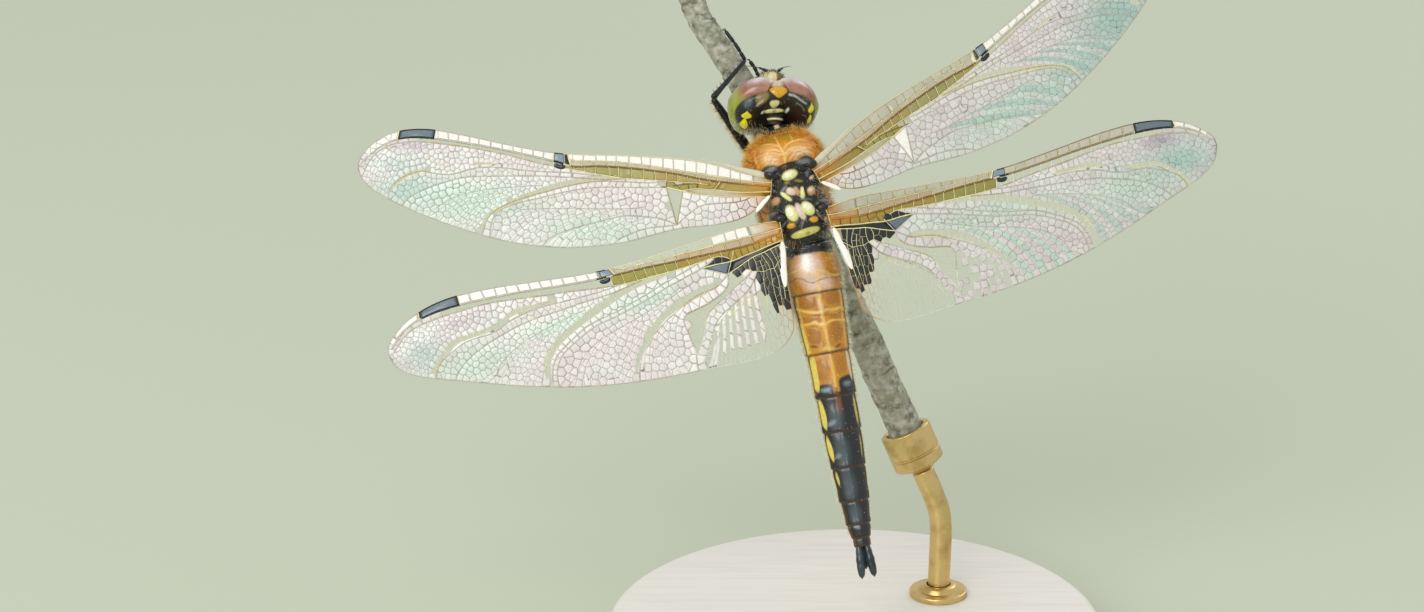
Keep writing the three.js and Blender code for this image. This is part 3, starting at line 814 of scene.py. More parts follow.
FOREWING = WingPlan(
    root=(2.75, 1.3, 2.05),
    chords=(
        ((-0.9, 0.8), (-0.9, -0.8)),
        ((1.6, 1.15), (1.0, -2.6)),
        ((4.3, 1.8), (3.3, -3.5)),
        ((7.5, 2.1), (7.1, -4.15)),
        ((12.0, 2.1), (11.5, -5.5)),
        ((16.9, 2.0), (16.2, -6.2)),
        ((21.0, 2.4), (20.8, -6.05)),
        ((25.0, 3.05), (25.0, -5.2)),
        ((28.6, 3.5), (29.0, -4.0)),
        ((31.4, 3.2), (32.0, -2.8)),
        ((33.3, 2.2), (33.5, -1.95)),
        ((34.4, 1.0), (34.35, -1.1)),
        ((34.7, 0.25), (34.7, -0.35)),
    ),
    veins=(
        Vein("Sc", 0.05, -0.12, ((
            -1.3, 0.35,
        ), (1.5, 0.4), (3.6, 0.6), (7.1, 0.95), (11.4, 1.4), (14.5, 1.42), (16.3, 1.4), (16.9, 2.1))),
        Vein("R", 0.09, 0.12, (
            (-1.3, 0.03), (2.7, 0.15), (5.0, 0.32), (8.0, 0.75), (11.4, 0.98), (14.0, 1.0), (16.2, 0.85),
            (17.8, 1.2), (20.9, 1.75), (24.3, 2.25), (27.8, 2.6), (29.5, 2.66), (31.2, 2.45), (32.8, 1.7),
            (33.8, 0.8), (34.6, -0.1),
        )),
        Vein("arculus", 0.06, 0.02, ((3.6, 0.2), (3.9, -0.25), (4.1, -0.55))),
        Vein("RP1", 0.05, -0.1, (
            (3.95, -0.25), (5.3, -0.06), (7.0, 0.0), (9.6, 0.05), (12.0, 0.08), (14.0, 0.3), (16.5, 0.62),
            (19.1, 1.0), (22.5, 1.66), (26.0, 2.1), (29.4, 2.3), (31.2, 2.1), (32.4, 1.65), (33.4, 0.8),
            (34.2, -0.7),
        )),
        Vein("RP2", 0.05, 0.05, (
            (13.6, 0.2), (14.6, 0.2), (16.6, 0.3), (20.0, 0.28), (22.5, 0.43), (24.0, 0.38), (25.1, 0.12),
            (26.2, -0.27), (27.1, -0.43), (28.3, -0.31), (29.2, -0.22), (30.3, -0.56), (31.2, -1.15),
            (31.8, -1.9), (31.95, -3.0),
        )),
        Vein("IR2", 0.045, -0.05, ((11.6, 0.06), (13.5, -0.12), (16.5, -0.1), (
            19.0, -0.11,
        ), (22.4, -0.3), (25.1, -0.5), (26.8, -0.95), (28.5, -1.6), (30.2, -2.6), (30.9, -3.7))),
        Vein("RP34", 0.05, 0.04, ((8.6, 0.03), (9.6, -0.2), (12.2, -0.22), (13.9, -0.29), (15.6, -0.58), (
            17.3, -1.05,
        ), (18.5, -1.46), (19.8, -1.87), (21.1, -2.36), (22.3, -3.0), (23.3, -3.95), (23.8, -5.7))),
        Vein("MA", 0.055, 0.08, (
            (5.4, -0.06), (6.4, -0.15), (7.3, -0.3), (8.2, -0.5), (10.4, -0.65), (13.85, -0.83),
            (15.55, -1.09), (17.25, -1.51), (18.9, -1.99), (20.6, -2.47), (21.9, -3.0), (22.6, -3.6),
            (22.95, -4.3), (23.05, -6.0),
        )),
        Vein("M", 0.055, 0.0, (
            (-1.3, -0.4), (1.4, -0.6), (2.7, -0.6), (4.0, -0.52), (5.3, -0.5), (6.2, -0.6), (6.8, -0.76),
        )),
        Vein("CuP", 0.06, -0.05, ((-1.3, -0.88), (
            1.0, -0.98,
        ), (2.7, -1.07), (4.0, -1.05), (5.3, -0.98), (6.1, -0.88), (6.8, -0.76), (8.2, -0.5))),
        Vein("triangle front", 0.05, 0.0, ((6.74, -0.76), (7.1, -3.7))),
        Vein("triangle rear", 0.05, 0.0, ((8.2, -0.5), (7.1, -3.7))),
        Vein("MP", 0.05, -0.05, ((7.1, -3.7), (8.4, -3.25), (9.5, -3.17), (
            11.4, -3.15,
        ), (12.9, -3.48), (14.5, -4.0), (15.8, -4.41), (17.0, -4.9), (18.0, -5.5), (18.8, -6.5))),
        Vein("CuA", 0.045, 0.0, (
            (7.1, -3.7), (8.3, -3.9), (9.6, -4.1), (11.0, -4.65), (12.1, -5.3), (12.7, -6.0),
        )),
        Vein("A", 0.05, 0.04, ((7.1, -3.7), (
            6.6, -3.16,
        ), (6.0, -2.62), (5.2, -2.0), (4.2, -1.75), (2.7, -1.58), (1.6, -1.35), (0.9, -0.97))),
        Vein("Mspl", 0.03, 0.0, (
            (9.4, -2.2), (11.0, -2.5), (13.8, -2.67), (16.5, -2.8), (18.9, -2.94), (20.6, -3.1),
        )),
        Vein("Rspl", 0.03, 0.0, ((18.8, -0.9), (21.0, -1.15), (23.5, -1.5), (26.0, -2.2), (27.6, -3.2))),
    ),
    ladders=(
        Ladder("C", "Sc", 0.9, 16.4, 0.98),
        Ladder("Sc", "R", 0.9, 16.4, 0.98),
        Ladder("R", "RP1", 4.4, 16.2, 0.95),
        Ladder("C", "R", 17.0, 28.0, 0.95),
        Ladder("R", "RP1", 17.0, 33.2, 0.9),
        Ladder("RP1", "RP34", 9.4, 11.6, 0.7),
    ),
    combs=(
        Comb("Rspl", (19.4, 27.2), (24.6, 30.2), 10),
        Comb("Mspl", (10.6, 20.2), (19.3, 22.6), 7),
        Comb("MP", (9.4, 17.4), (13.2, 18.4), 9),
        Comb("RP1", (28.2, 32.2), (32.1, 33.9), 5),
    ),
    stripes=(
        Stripe(((12.0, 0.1), (13.9, -0.05), (16.1, -0.48), (18.6, -1.31), (
            20.7, -2.2,
        ), (22.3, -3.0), (23.4, -3.9), (23.9, -4.9)), (0.2, 0.48, 0.5, 0.46, 0.4, 0.3, 0.2, 0.12)),
        Stripe(((22.4, 0.55), (23.4, 0.72), (24.2, 0.7), (25.1, 0.48)), (0.08, 0.16, 0.16, 0.08), 0.03),
        Stripe(((28.5, -0.02), (30.1, -0.5), (31.1, -1.22), (31.75, -2.1)), (0.12, 0.24, 0.24, 0.16), 0.03),
    ),
    nodus=16.8,
    stigma=(28.1, 31.3),
    membranule=((-0.73, -0.75), (-0.3, -1.25), (0.1, -1.8), (0.42, -2.25)),
    membranule_half=0.2,
    strap=((5.2, 2.07, 0.02), (3.4, 1.74, 0.09), (1.7, 1.31, 0.23), (0.3, 1.05, 0.28), (-0.3, 0.95, 0.2)),
    grains=(
        Grain(Patchwork(((-1.5, -0.9), (3.0, -1.1), (3.4, -3.0), (1.0, -3.4), (-1.5, -2.0))), (0.75, 1.45)),
    ),
    plain=(
        Patchwork((
            (-1.8, 0.9), (3.0, 1.2), (8.4, 0.8), (8.3, -0.35), (6.9, -0.7), (4.0, -1.03), (-1.8, -0.93),
        )),
        Patchwork(((6.3, -0.55), (8.6, -0.2), (7.05, -4.1))),
    ),
)

HINDWING = WingPlan(
    root=(3.2, -2.9, 1.85),
    chords=(
        ((-1.3, 1.0), (-1.1, -0.9)),
        ((1.5, 1.4), (-0.5, -3.2)),
        ((3.5, 1.42), (-0.2, -6.0)),
        ((6.0, 1.35), (0.5, -8.7)),
        ((9.0, 1.3), (3.2, -9.95)),
        ((12.0, 1.27), (8.3, -9.55)),
        ((15.5, 1.45), (13.5, -9.0)),
        ((20.0, 2.1), (19.0, -7.9)),
        ((24.5, 2.75), (24.0, -6.3)),
        ((28.3, 2.92), (28.3, -4.6)),
        ((31.4, 2.3), (32.1, -3.0)),
        ((33.4, 1.15), (33.75, -1.8)),
        ((34.2, 0.3), (34.25, -0.6)),
    ),
    veins=(
        Vein("Sc", 0.05, -0.12, ((-1.8, 0.3), (0.3, 0.3), (
            2.4, 0.42,
        ), (4.2, 0.52), (6.0, 0.58), (7.8, 0.66), (9.6, 0.73), (11.3, 0.86), (13.2, 1.0), (13.9, 1.6))),
        Vein("R", 0.09, 0.12, (
            (-1.8, -0.05), (0.3, -0.2), (1.8, -0.3), (3.2, -0.25), (4.9, -0.1), (6.8, 0.06), (8.9, 0.24),
            (10.7, 0.42), (12.3, 0.52), (13.9, 0.6), (15.9, 0.75), (18.4, 1.06), (21.9, 1.55), (25.3, 1.9),
            (27.1, 2.03), (28.9, 2.03), (30.3, 1.9), (31.5, 1.62), (32.8, 0.98), (34.1, -0.3),
        )),
        Vein("arculus", 0.06, 0.0, ((3.25, -0.25), (3.7, -1.05), (3.78, -1.2))),
        Vein("RP1", 0.05, -0.1, (
            (3.7, -1.05), (4.4, -0.6), (5.2, -0.46), (7.0, -0.52), (9.7, -0.5), (12.3, -0.42), (13.8, -0.3),
            (15.2, -0.1), (16.9, 0.22), (20.3, 0.75), (23.7, 1.3), (25.4, 1.48), (27.2, 1.5), (29.0, 1.48),
            (30.8, 1.32), (32.3, 0.85), (33.8, -0.4),
        )),
        Vein("RP2", 0.05, 0.05, (
            (13.6, -0.32), (15.4, -0.42), (17.4, -0.35), (19.2, -0.27), (20.8, -0.22), (22.4, -0.37),
            (23.6, -0.6), (24.4, -0.93), (25.3, -1.12), (26.5, -1.12), (27.6, -1.19), (28.6, -1.52),
            (29.5, -1.92), (30.4, -2.55), (31.1, -3.9),
        )),
        Vein("IR2", 0.045, -0.05, (
            (11.4, -0.5), (13.2, -0.72), (14.7, -0.86), (16.8, -0.88), (18.9, -0.95), (20.8, -0.98),
            (22.6, -1.15), (24.3, -1.5), (26.2, -2.0), (27.8, -2.7), (29.0, -3.6), (29.6, -4.6),
        )),
        Vein("RP34", 0.05, 0.04, (
            (6.6, -0.54), (8.4, -1.0), (10.2, -1.42), (11.4, -1.76), (12.8, -2.1), (14.2, -2.42),
            (15.6, -2.62), (17.0, -2.88), (17.9, -3.22), (19.3, -3.94), (20.3, -4.53), (20.9, -5.23),
            (21.3, -6.21), (21.5, -7.8),
        )),
        Vein("MA", 0.055, 0.08, (
            (4.9, -0.48), (6.35, -1.04), (7.9, -1.36), (9.2, -1.63), (10.4, -1.93), (11.5, -2.22),
            (12.9, -2.52), (14.3, -2.82), (15.7, -3.0), (16.5, -3.14), (17.65, -3.55), (18.75, -4.03),
            (19.8, -4.6), (20.4, -5.2), (20.9, -6.3), (21.0, -8.0),
        )),
        Vein("CuP", 0.05, 0.0, (
            (-1.8, -0.95), (-0.3, -1.08), (0.9, -1.28), (2.0, -1.42), (3.3, -1.85), (4.38, -2.18),
        )),
        Vein("M", 0.07, -0.05, (
            (-1.8, -0.7), (0.0, -0.82), (1.5, -1.0), (2.6, -1.08), (3.78, -1.2), (5.0, -1.1), (6.45, -1.02),
        )),
        Vein("triangle front", 0.05, 0.0, ((3.78, -1.2), (4.38, -2.18))),
        Vein("triangle rear", 0.05, 0.0, ((6.45, -0.99), (4.38, -2.18))),
        Vein("MP", 0.05, -0.05, ((4.38, -2.18), (5.0, -2.6), (5.8, -2.98), (7.0, -3.08), (8.0, -3.31), (
            9.1, -3.77,
        ), (10.3, -4.32), (11.2, -4.82), (12.3, -5.56), (13.2, -6.46), (13.9, -7.55), (14.4, -9.4))),
        Vein("CuA", 0.05, 0.05, ((4.38, -2.18), (4.6, -3.0), (5.3, -3.6), (
            6.4, -4.02,
        ), (7.6, -4.25), (8.9, -4.5), (9.15, -5.2), (9.05, -6.3), (8.95, -7.7), (9.15, -8.9), (9.1, -9.9))),
        Vein("midrib front", 0.045, 0.05, ((2.37, -2.53), (3.1, -3.0), (3.96, -3.36), (
            5.06, -3.95,
        ), (6.27, -4.5), (7.13, -5.15), (7.7, -6.32), (8.4, -7.41), (8.95, -8.3), (9.05, -8.7))),
        Vein("midrib rear", 0.045, -0.05, ((1.9, -2.66), (2.5, -3.5), (3.1, -4.02), (
            4.36, -4.69,
        ), (5.42, -5.15), (6.4, -5.77), (7.06, -6.62), (7.82, -7.83), (8.45, -8.75), (9.15, -8.9))),
        Vein("ray 1", 0.026, 0.0, ((0.3, -1.15), (0.03, -2.2), (0.0, -3.2), (0.1, -4.6), (0.4, -6.4))),
        Vein("ray 2", 0.026, 0.0, (
            (0.85, -1.26), (0.45, -2.15), (0.44, -2.85), (0.36, -3.7), (0.5, -4.9), (0.8, -7.0),
        )),
        Vein("ray 3", 0.026, 0.0, (
            (1.15, -1.32), (0.87, -2.25), (0.8, -2.85), (0.9, -3.7), (1.0, -4.8), (1.05, -6.1), (1.3, -8.4),
        )),
        Vein("ray 4", 0.026, 0.0, (
            (1.55, -1.36), (1.38, -2.3), (1.4, -2.95), (1.6, -3.55), (1.7, -4.2), (1.8, -5.2), (2.1, -7.0),
        )),
        Vein("ray 5", 0.026, 0.0, ((1.9, -1.4), (1.8, -2.0), (1.9, -2.66))),
        Vein("ray 6", 0.026, 0.0, ((2.3, -1.5), (2.45, -2.0), (2.37, -2.53))),
        Vein("ray 7", 0.026, 0.0, ((3.3, -1.85), (3.25, -2.5), (3.1, -3.0))),
        Vein("ray arc", 0.026, 0.0, ((
            -0.5, -2.2,
        ), (-0.1, -2.4), (0.45, -2.85), (0.8, -2.8), (1.38, -2.85), (1.9, -2.66), (2.37, -2.53))),
        Vein("Mspl", 0.03, 0.0, ((
            7.6, -2.0,
        ), (10.0, -2.75), (13.0, -3.55), (15.5, -4.1), (17.6, -4.9), (18.9, -6.0), (19.3, -7.0))),
        Vein("Rspl", 0.03, 0.0, (
            (16.6, -1.5), (18.6, -1.75), (20.8, -2.15), (23.2, -2.8), (25.0, -3.7), (25.9, -4.8),
        )),
    ),
    ladders=(
        Ladder("C", "Sc", 1.6, 13.7, 1.06),
        Ladder("Sc", "R", 1.6, 13.7, 1.06),
        Ladder("R", "RP1", 4.6, 14.0, 0.95),
        Ladder("C", "R", 15.0, 27.0, 0.97),
        Ladder("R", "RP1", 14.6, 32.6, 0.97),
    ),
    combs=(
        Comb("Rspl", (17.4, 25.4), (22.4, 28.9), 10),
        Comb("Mspl", (9.4, 18.6), (15.2, 20.4), 9),
        Comb("MP", (8.4, 12.6), (10.0, 13.7), 6),
        Comb("RP1", (27.4, 31.8), (31.5, 33.5), 5),
        Comb("midrib rear", (2.34, 6.9), (2.7, 8.4), 15, 0.1),
    ),
    stripes=(
        Stripe((
            (9.0, -0.62), (10.4, -0.62), (12.0, -0.72), (13.8, -1.1), (16.6, -2.02), (18.5, -2.78),
            (20.1, -3.6), (21.1, -4.55), (21.55, -5.6), (21.7, -6.9),
        ), (0.2, 0.45, 0.5, 0.6, 0.62, 0.56, 0.54, 0.52, 0.5, 0.5)),
        Stripe((
            (19.1, -0.05), (20.6, 0.02), (22.4, 0.08), (23.4, -0.12), (24.1, -0.5),
        ), (0.12, 0.22, 0.32, 0.36, 0.3)),
        Stripe(((24.8, -0.67), (25.6, -0.78), (27.1, -0.82), (
            28.4, -0.95,
        ), (29.4, -1.52), (30.3, -2.25), (31.0, -3.2)), (0.2, 0.3, 0.34, 0.36, 0.36, 0.36, 0.3)),
        Stripe(((5.4, -2.68), (7.0, -2.94), (9.1, -3.4), (10.6, -3.98), (
            12.0, -5.0,
        ), (13.1, -6.1), (13.9, -7.1), (14.4, -8.1)), (0.3, 0.62, 0.66, 0.62, 0.5, 0.46, 0.36, 0.2)),
        Stripe((
            (2.7, -4.05), (4.1, -4.9), (5.4, -5.6), (6.5, -6.45), (7.4, -7.6), (8.4, -9.0),
        ), (0.2, 0.4, 0.42, 0.42, 0.36, 0.3)),
    ),
    nodus=14.0,
    stigma=(27.0, 30.7),
    membranule=((-0.9, -0.8), (-0.62, -1.9), (-0.3, -3.1), (0.0, -4.7)),
    membranule_half=0.3,
    strap=(),
    grains=(Grain(Patchwork((
        (-1.0, -5.0), (3.0, -4.2), (7.0, -6.5), (9.2, -9.9), (2.0, -11.0), (-1.0, -8.0),
    )), (0.7, 1.5)),),
    plain=(
        Patchwork(((
            -2.2, 0.9,
        ), (2.0, 0.9), (5.8, 0.4), (5.6, -0.9), (3.7, -1.25), (3.3, -1.7), (1.0, -1.22), (-2.2, -0.95))),
        Patchwork(((3.3, -0.3), (5.0, -0.4), (6.65, -1.0), (4.3, -2.5))),
    ),
)


@dataclass(frozen=True)
class Wash:
    """A tint that fades out softly round a place on the wing."""

    tint: str
    amount: float
    x: float
    y: float
    along: float
    across: float


def sides_of(triangle: Sequence[int]) -> list[Edge]:
    """The three edges of a triangle, each with its lower corner number first."""
    return [tuple(sorted((triangle[k], triangle[(k + 1) % 3]))) for k in range(3)]


class Net:
    """The net of veins of a wing: its lines, and the cells that they cut the wing into."""

    STEP = 0.28
    LEAST_FILL = {True: 1.35, False: 0.7}
    SLIVER = 0.045
    RASTER = 0.05
    RIM = 0.032
    ROW = 0.024
    RAIL = 0.02
    RUNG = 0.028
    CELL = 0.012
    ROUNDS = 9

    def __init__(self, plan: WingPlan, seed: int) -> None:
        """Draws the main veins, fills the wide fields with small cells and finds every cell."""
        self.plan = plan
        self.rng = np.random.default_rng(seed)
        lead = even_spline([c[0] for c in plan.chords], self.STEP)
        trail = even_spline([c[1] for c in plan.chords], self.STEP)
        self.lead, self.trail = self.inset(lead, trail)
        self.curves = {"C": self.lead, "rim": self.trail}
        self.lines: list[Line] = []
        loop = np.concatenate([self.lead, self.trail[::-1], self.lead[:1]])
        self.lines.append(Line(loop, self.RIM, True, "rim"))
        for vein in plan.veins:
            self.curves[vein.name] = even_spline(vein.points, self.STEP)
            self.lines.append(Line(self.curves[vein.name], vein.half, True, vein.name))
        for ladder in plan.ladders:
            self.add_ladder(ladder)
        for stripe in plan.stripes:
            self.add_stripe(stripe)
        for comb in plan.combs:
            self.lines.extend(Line(points, self.ROW, False, "row") for points in comb.lines(self))
        for x in plan.stigma:
            self.cross("C", "R", x, -0.12, 0.05)
        self.cross("C", "R", plan.nodus, 0.35, 0.07)
        self.cross("C", "R", plan.nodus + 1.15, 0.1, 0.03)
        for _ in range(2):
            self.fill()
        self.points, self.triangles, self.walls = self.triangulate(self.lines)
        self.cells = self.label(self.triangles, self.walls)
        self.merge_slivers()

    def inset(self, lead: Values, trail: Values) -> tuple[Values, Values]:
        """Both edges drawn a little inside the solid's outline."""
        loop = np.concatenate([lead, trail[::-1]])
        ahead, behind = np.roll(loop, -1, 0), np.roll(loop, 1, 0)
        run = ahead - behind
        run /= np.linalg.norm(run, axis=1, keepdims=True) + 1e-9
        moved = loop - np.stack([-run[:, 1], run[:, 0]], -1) * self.plan.edge_inset
        return moved[: len(lead)], moved[len(lead) :][::-1]

    def height(self, name: str, x: Values) -> Values:
        """How far forward a vein is at x. Past its ends it keeps its last height."""
        curve = self.curves[name]
        order = np.argsort(curve[:, 0])
        return np.interp(x, curve[order, 0], curve[order, 1])

    def cross(self, front: str, rear: str, x: float, slant: float, half: float) -> None:
        """One cross-vein between two veins, its rear end shifted by the slant."""
        top = np.array([x, float(self.height(front, x)) + 0.02])
        foot = np.array([x - slant, float(self.height(rear, x - slant)) - 0.02])
        self.lines.append(Line(np.stack([top, foot]), half, False, f"{front}-{rear}"))

    def add_ladder(self, ladder: Ladder) -> None:
        """A row of cross-veins, a little uneven as in nature."""
        count = round((ladder.end - ladder.start) / ladder.pitch)
        for x in np.linspace(ladder.start, ladder.end, count + 1):
            jitter = self.rng.uniform(-0.12, 0.12) * ladder.pitch
            slant = self.rng.uniform(-0.03, 0.15)
            half = self.RAIL if ladder.front == "C" else self.RUNG
            self.cross(ladder.front, ladder.rear, x + jitter, slant, half)

    def add_stripe(self, stripe: Stripe) -> None:
        """The walls of a row of cells and the rungs between them."""
        front, rear = stripe.rails()
        for rail in (front, rear):
            self.lines.append(Line(rail, self.RAIL, False, "cell"))
        for index in range(2, len(front) - 2, max(1, round(stripe.pitch / STRIPE_STEP))):
            self.lines.append(Line(np.stack([front[index], rear[index]]), self.ROW, False, "rung"))

    def triangulate(self, lines: Sequence[Line]) -> tuple[Values, Values, dict[Edge, Line]]:
        """Triangles between the lines, and the line that each drawn edge comes from."""
        corners, edges, source = [], [], []
        start = 0
        for line in lines:
            corners.extend(map(Vector, line.points.tolist()))
            for i in range(len(line.points) - 1):
                edges.append((start + i, start + i + 1))
                source.append(line)
            start += len(line.points)
        done = delaunay_2d_cdt(corners, edges, [], 0, 1e-4, True)
        points = np.array([tuple(v) for v in done[0]])
        triangles = np.array(done[2])
        centres = points[triangles].mean(1)
        triangles = triangles[self.within(centres)]
        walls = {}
        for edge, origins in zip(done[1], done[4]):
            if origins:
                best = max((source[i] for i in origins if i < len(source)), key=lambda line: line.half)
                walls[tuple(sorted(edge))] = best
        return points, triangles, walls

    def within(self, places: Values) -> Values:
        """Which places are inside the wing's outline."""
        return enclosed(places, np.concatenate([self.lead, self.trail[::-1]]))

    @staticmethod
    def label(triangles: Values, walls: dict[Edge, Line]) -> Values:
        """Numbers the triangles so that those with no drawn edge between them share a number."""
        parent = list(range(len(triangles)))

        def top(i: int) -> int:
            while parent[i] != i:
                parent[i] = parent[parent[i]]
                i = parent[i]
            return i

        owner: dict[Edge, int] = {}
        for index, triangle in enumerate(triangles.tolist()):
            for edge in sides_of(triangle):
                if edge in walls:
                    continue
                if edge in owner:
                    parent[top(index)] = top(owner[edge])
                owner[edge] = index
        return np.unique([top(i) for i in range(len(triangles))], return_inverse=True)[1]

    @staticmethod
    def areas(points: Values, triangles: Values) -> Values:
        """The area of each triangle."""
        a, b, c = (points[triangles[:, i]] for i in range(3))
        return np.abs((b - a)[:, 0] * (c - a)[:, 1] - (b - a)[:, 1] * (c - a)[:, 0]) / 2

    def fill(self) -> None:
        """Fills each wide field with small cells that meet its veins squarely."""
        points, triangles, walls = self.triangulate(self.lines)
        fields = self.label(triangles, walls)
        areas = self.areas(points, triangles)
        raster, origin = self.paint_fields(points, triangles, fields)
        for number in range(fields.max() + 1):
            mine = fields == number
            area = areas[mine].sum()
            centre = (points[triangles[mine]].mean(1) * areas[mine, None]).sum(0) / area
            within_stigma = self.plan.stigma[0] < centre[0] < self.plan.stigma[1] and area < 3
            stigma = within_stigma and centre[1] > self.height("R", centre[0])
            fore = centre[1] > self.height("RP1" if centre[0] > 5 else "M", centre[0])
            plain = any(region.covers(self, centre[None])[0] for region in self.plan.plain)
            if area > self.LEAST_FILL[bool(fore)] and not stigma and not plain:
                edges = self.rim_of(triangles[mine])
                segments = np.array([[points[a], points[b]] for a, b in edges])
                drawn_out = (grain.scale for grain in self.plan.grains if grain.region.covers(
                    self, centre[None],
                )[0])
                scale = np.array(next(drawn_out, (1.0, 1.0)))
                self.fill_field(raster == number, origin, segments, area, scale)

    def paint_fields(self, points: Values, triangles: Values, fields: Values) -> tuple[Values, Values]:
        """A coarse chart of which field lies where, for sampling."""
        origin = points.min(0) - 0.5
        size = np.ceil((points.max(0) + 0.5 - origin) / self.RASTER).astype(int)
        chart = np.full(size, -1)
        for triangle, number in zip(triangles, fields):
            corners = points[triangle]
            low = np.floor((corners.min(0) - origin) / self.RASTER).astype(int)
            high = np.ceil((corners.max(0) - origin) / self.RASTER).astype(int) + 1
            xs, ys = np.meshgrid(np.arange(low[0], high[0]), np.arange(low[1], high[1]), indexing="ij")
            place = np.stack([xs, ys], -1) * self.RASTER + origin
            a, b, c = corners
            turn = np.sign((b - a)[0] * (c - a)[1] - (b - a)[1] * (c - a)[0])
            inside = np.ones(xs.shape, bool)
            for p, q in ((a, b), (b, c), (c, a)):
                run = q - p
                inside &= turn * (run[0] * (place[..., 1] - p[1]) - run[1] * (place[..., 0] - p[0])) >= 0
            chart[xs[inside], ys[inside]] = number
        return chart, origin

    @staticmethod
    def rim_of(triangles: Values) -> list[Edge]:
        """The outer edges of a set of triangles."""
        seen: dict[Edge, int] = {}
        for triangle in triangles.tolist():
            for edge in sides_of(triangle):
                seen[edge] = seen.get(edge, 0) + 1
        return [edge for edge, count in seen.items() if count == 1]

    def fill_field(
        self, chart: Values, origin: Values, segments: Values, area: float, scale: Values,
    ) -> None:
        """Adds the walls of small cells in one field.

        Args:
            chart: True where the field lies.
            origin: The place of the chart's first square.
            segments: The veins round the field.
            area: The field's area.
            scale: How wide and how long its cells are, against round ones.
        """
        squares = np.argwhere(chart)
        places = squares * self.RASTER + origin
        reach = self.plan.chords[-1][0][0]
        size = mix(
            self.plan.cell, self.plan.tip_cell, smooth(places[:, 0].mean(), 0.3 * reach, 0.9 * reach),
        )
        count = max(2, round(area / size**2 * 1.12))
        places = places / scale
        segments = segments / scale
        seeds = places[self.rng.choice(len(places), count, replace=False)]
        for _ in range(self.ROUNDS):
            near = np.argmin(((places[:, None] - seeds[None]) ** 2).sum(-1), axis=1)
            total = np.stack([np.bincount(near, places[:, k], count) for k in (0, 1)], -1)
            amount = np.bincount(near, minlength=count)[:, None]
            seeds = np.where(amount > 0, total / np.maximum(amount, 1), seeds)
        ghosts = self.mirror(seeds, segments, 1.5 * size)
        everyone = np.concatenate([seeds, ghosts])
        done = delaunay_2d_cdt([Vector(p) for p in everyone.tolist()], [], [], 0, 1e-6, False)
        corners = np.array([tuple(v) for v in done[0]])
        real = np.array([min(np.linalg.norm(seeds - c, axis=1)) < 1e-5 for c in corners])
        sides: dict[Edge, list[tuple[Values, bool]]] = {}
        for triangle in done[2]:
            centre = self.circumcentre(corners[list(triangle)])
            outer = not real[list(triangle)].all()
            for edge in sides_of(triangle):
                sides.setdefault(edge, []).append((centre, outer))
        for (a, b), ends in sides.items():
            if real[a] and real[b] and len(ends) == 2:
                self.add_wall([(place * scale, free) for place, free in ends], chart, origin)

    @staticmethod
    def mirror(seeds: Values, segments: Values, reach: float) -> Values:
        """The seeds near the veins, mirrored over them."""
        start, end = segments[:, 0], segments[:, 1]
        run = end - start
        length = (run**2).sum(-1)
        mirrored = []
        for seed in seeds:
            share = np.clip(((seed - start) * run).sum(-1) / length, 0, 1)
            foot = start + run * share[:, None]
            gap = np.linalg.norm(foot - seed, axis=1) + 1e-9
            aim = (foot - seed) / gap[:, None]
            for index in np.where(gap < reach)[0]:
                same = aim @ aim[index] > 0.6
                if gap[index] <= gap[same].min() + 1e-9:
                    mirrored.append(2 * foot[index] - seed)
        return np.array(mirrored).reshape(-1, 2)

    @staticmethod
    def circumcentre(corners: Values) -> Values:
        """The centre of the circle through three places."""
        a, b, c = corners
        p, q = b - a, c - a
        twice = 2 * (p[0] * q[1] - p[1] * q[0]) + 1e-12
        x = (q[1] * (p @ p) - p[1] * (q @ q)) / twice
        y = (p[0] * (q @ q) - q[0] * (p @ p)) / twice
        return a + np.array([x, y])

    def add_wall(self, ends: Sequence[tuple[Values, bool]], chart: Values, origin: Values) -> None:
        """One wall between two cells, ending just inside the vein where it meets one.

        Args:
            ends: Both ends, and whether each may run on to a vein.
            chart: True where the field lies.
            origin: The place of the chart's first square.
        """
        (start, open_start), (end, open_end) = ends
        run = end - start
        length = float(np.linalg.norm(run))
        if length < 0.01 or length > 6:
            return
        shares = np.linspace(
            -0.4 / length * open_start, 1 + 0.4 / length * open_end, int(length / 0.02) + 50,
        )
        squares = np.round((start + run * shares[:, None] - origin) / self.RASTER).astype(int)
        squares = np.clip(squares, 0, np.array(chart.shape) - 1)
        inside = np.r_[False, chart[squares[:, 0], squares[:, 1]], False]
        turns = np.flatnonzero(np.diff(inside.astype(int)))
        if not len(turns):
            return
        longest = max(range(0, len(turns), 2), key=lambda i: turns[i + 1] - turns[i])
        low, high = shares[turns[longest]], shares[turns[longest + 1] - 1]
        margin = 0.1 / length
        low -= margin if turns[longest] > 0 or open_start else 0
        high += margin if turns[longest + 1] < len(shares) or open_end else 0
        ends = np.stack([start + run * low, start + run * high])
        self.lines.append(Line(ends, self.CELL, False, "cell"))

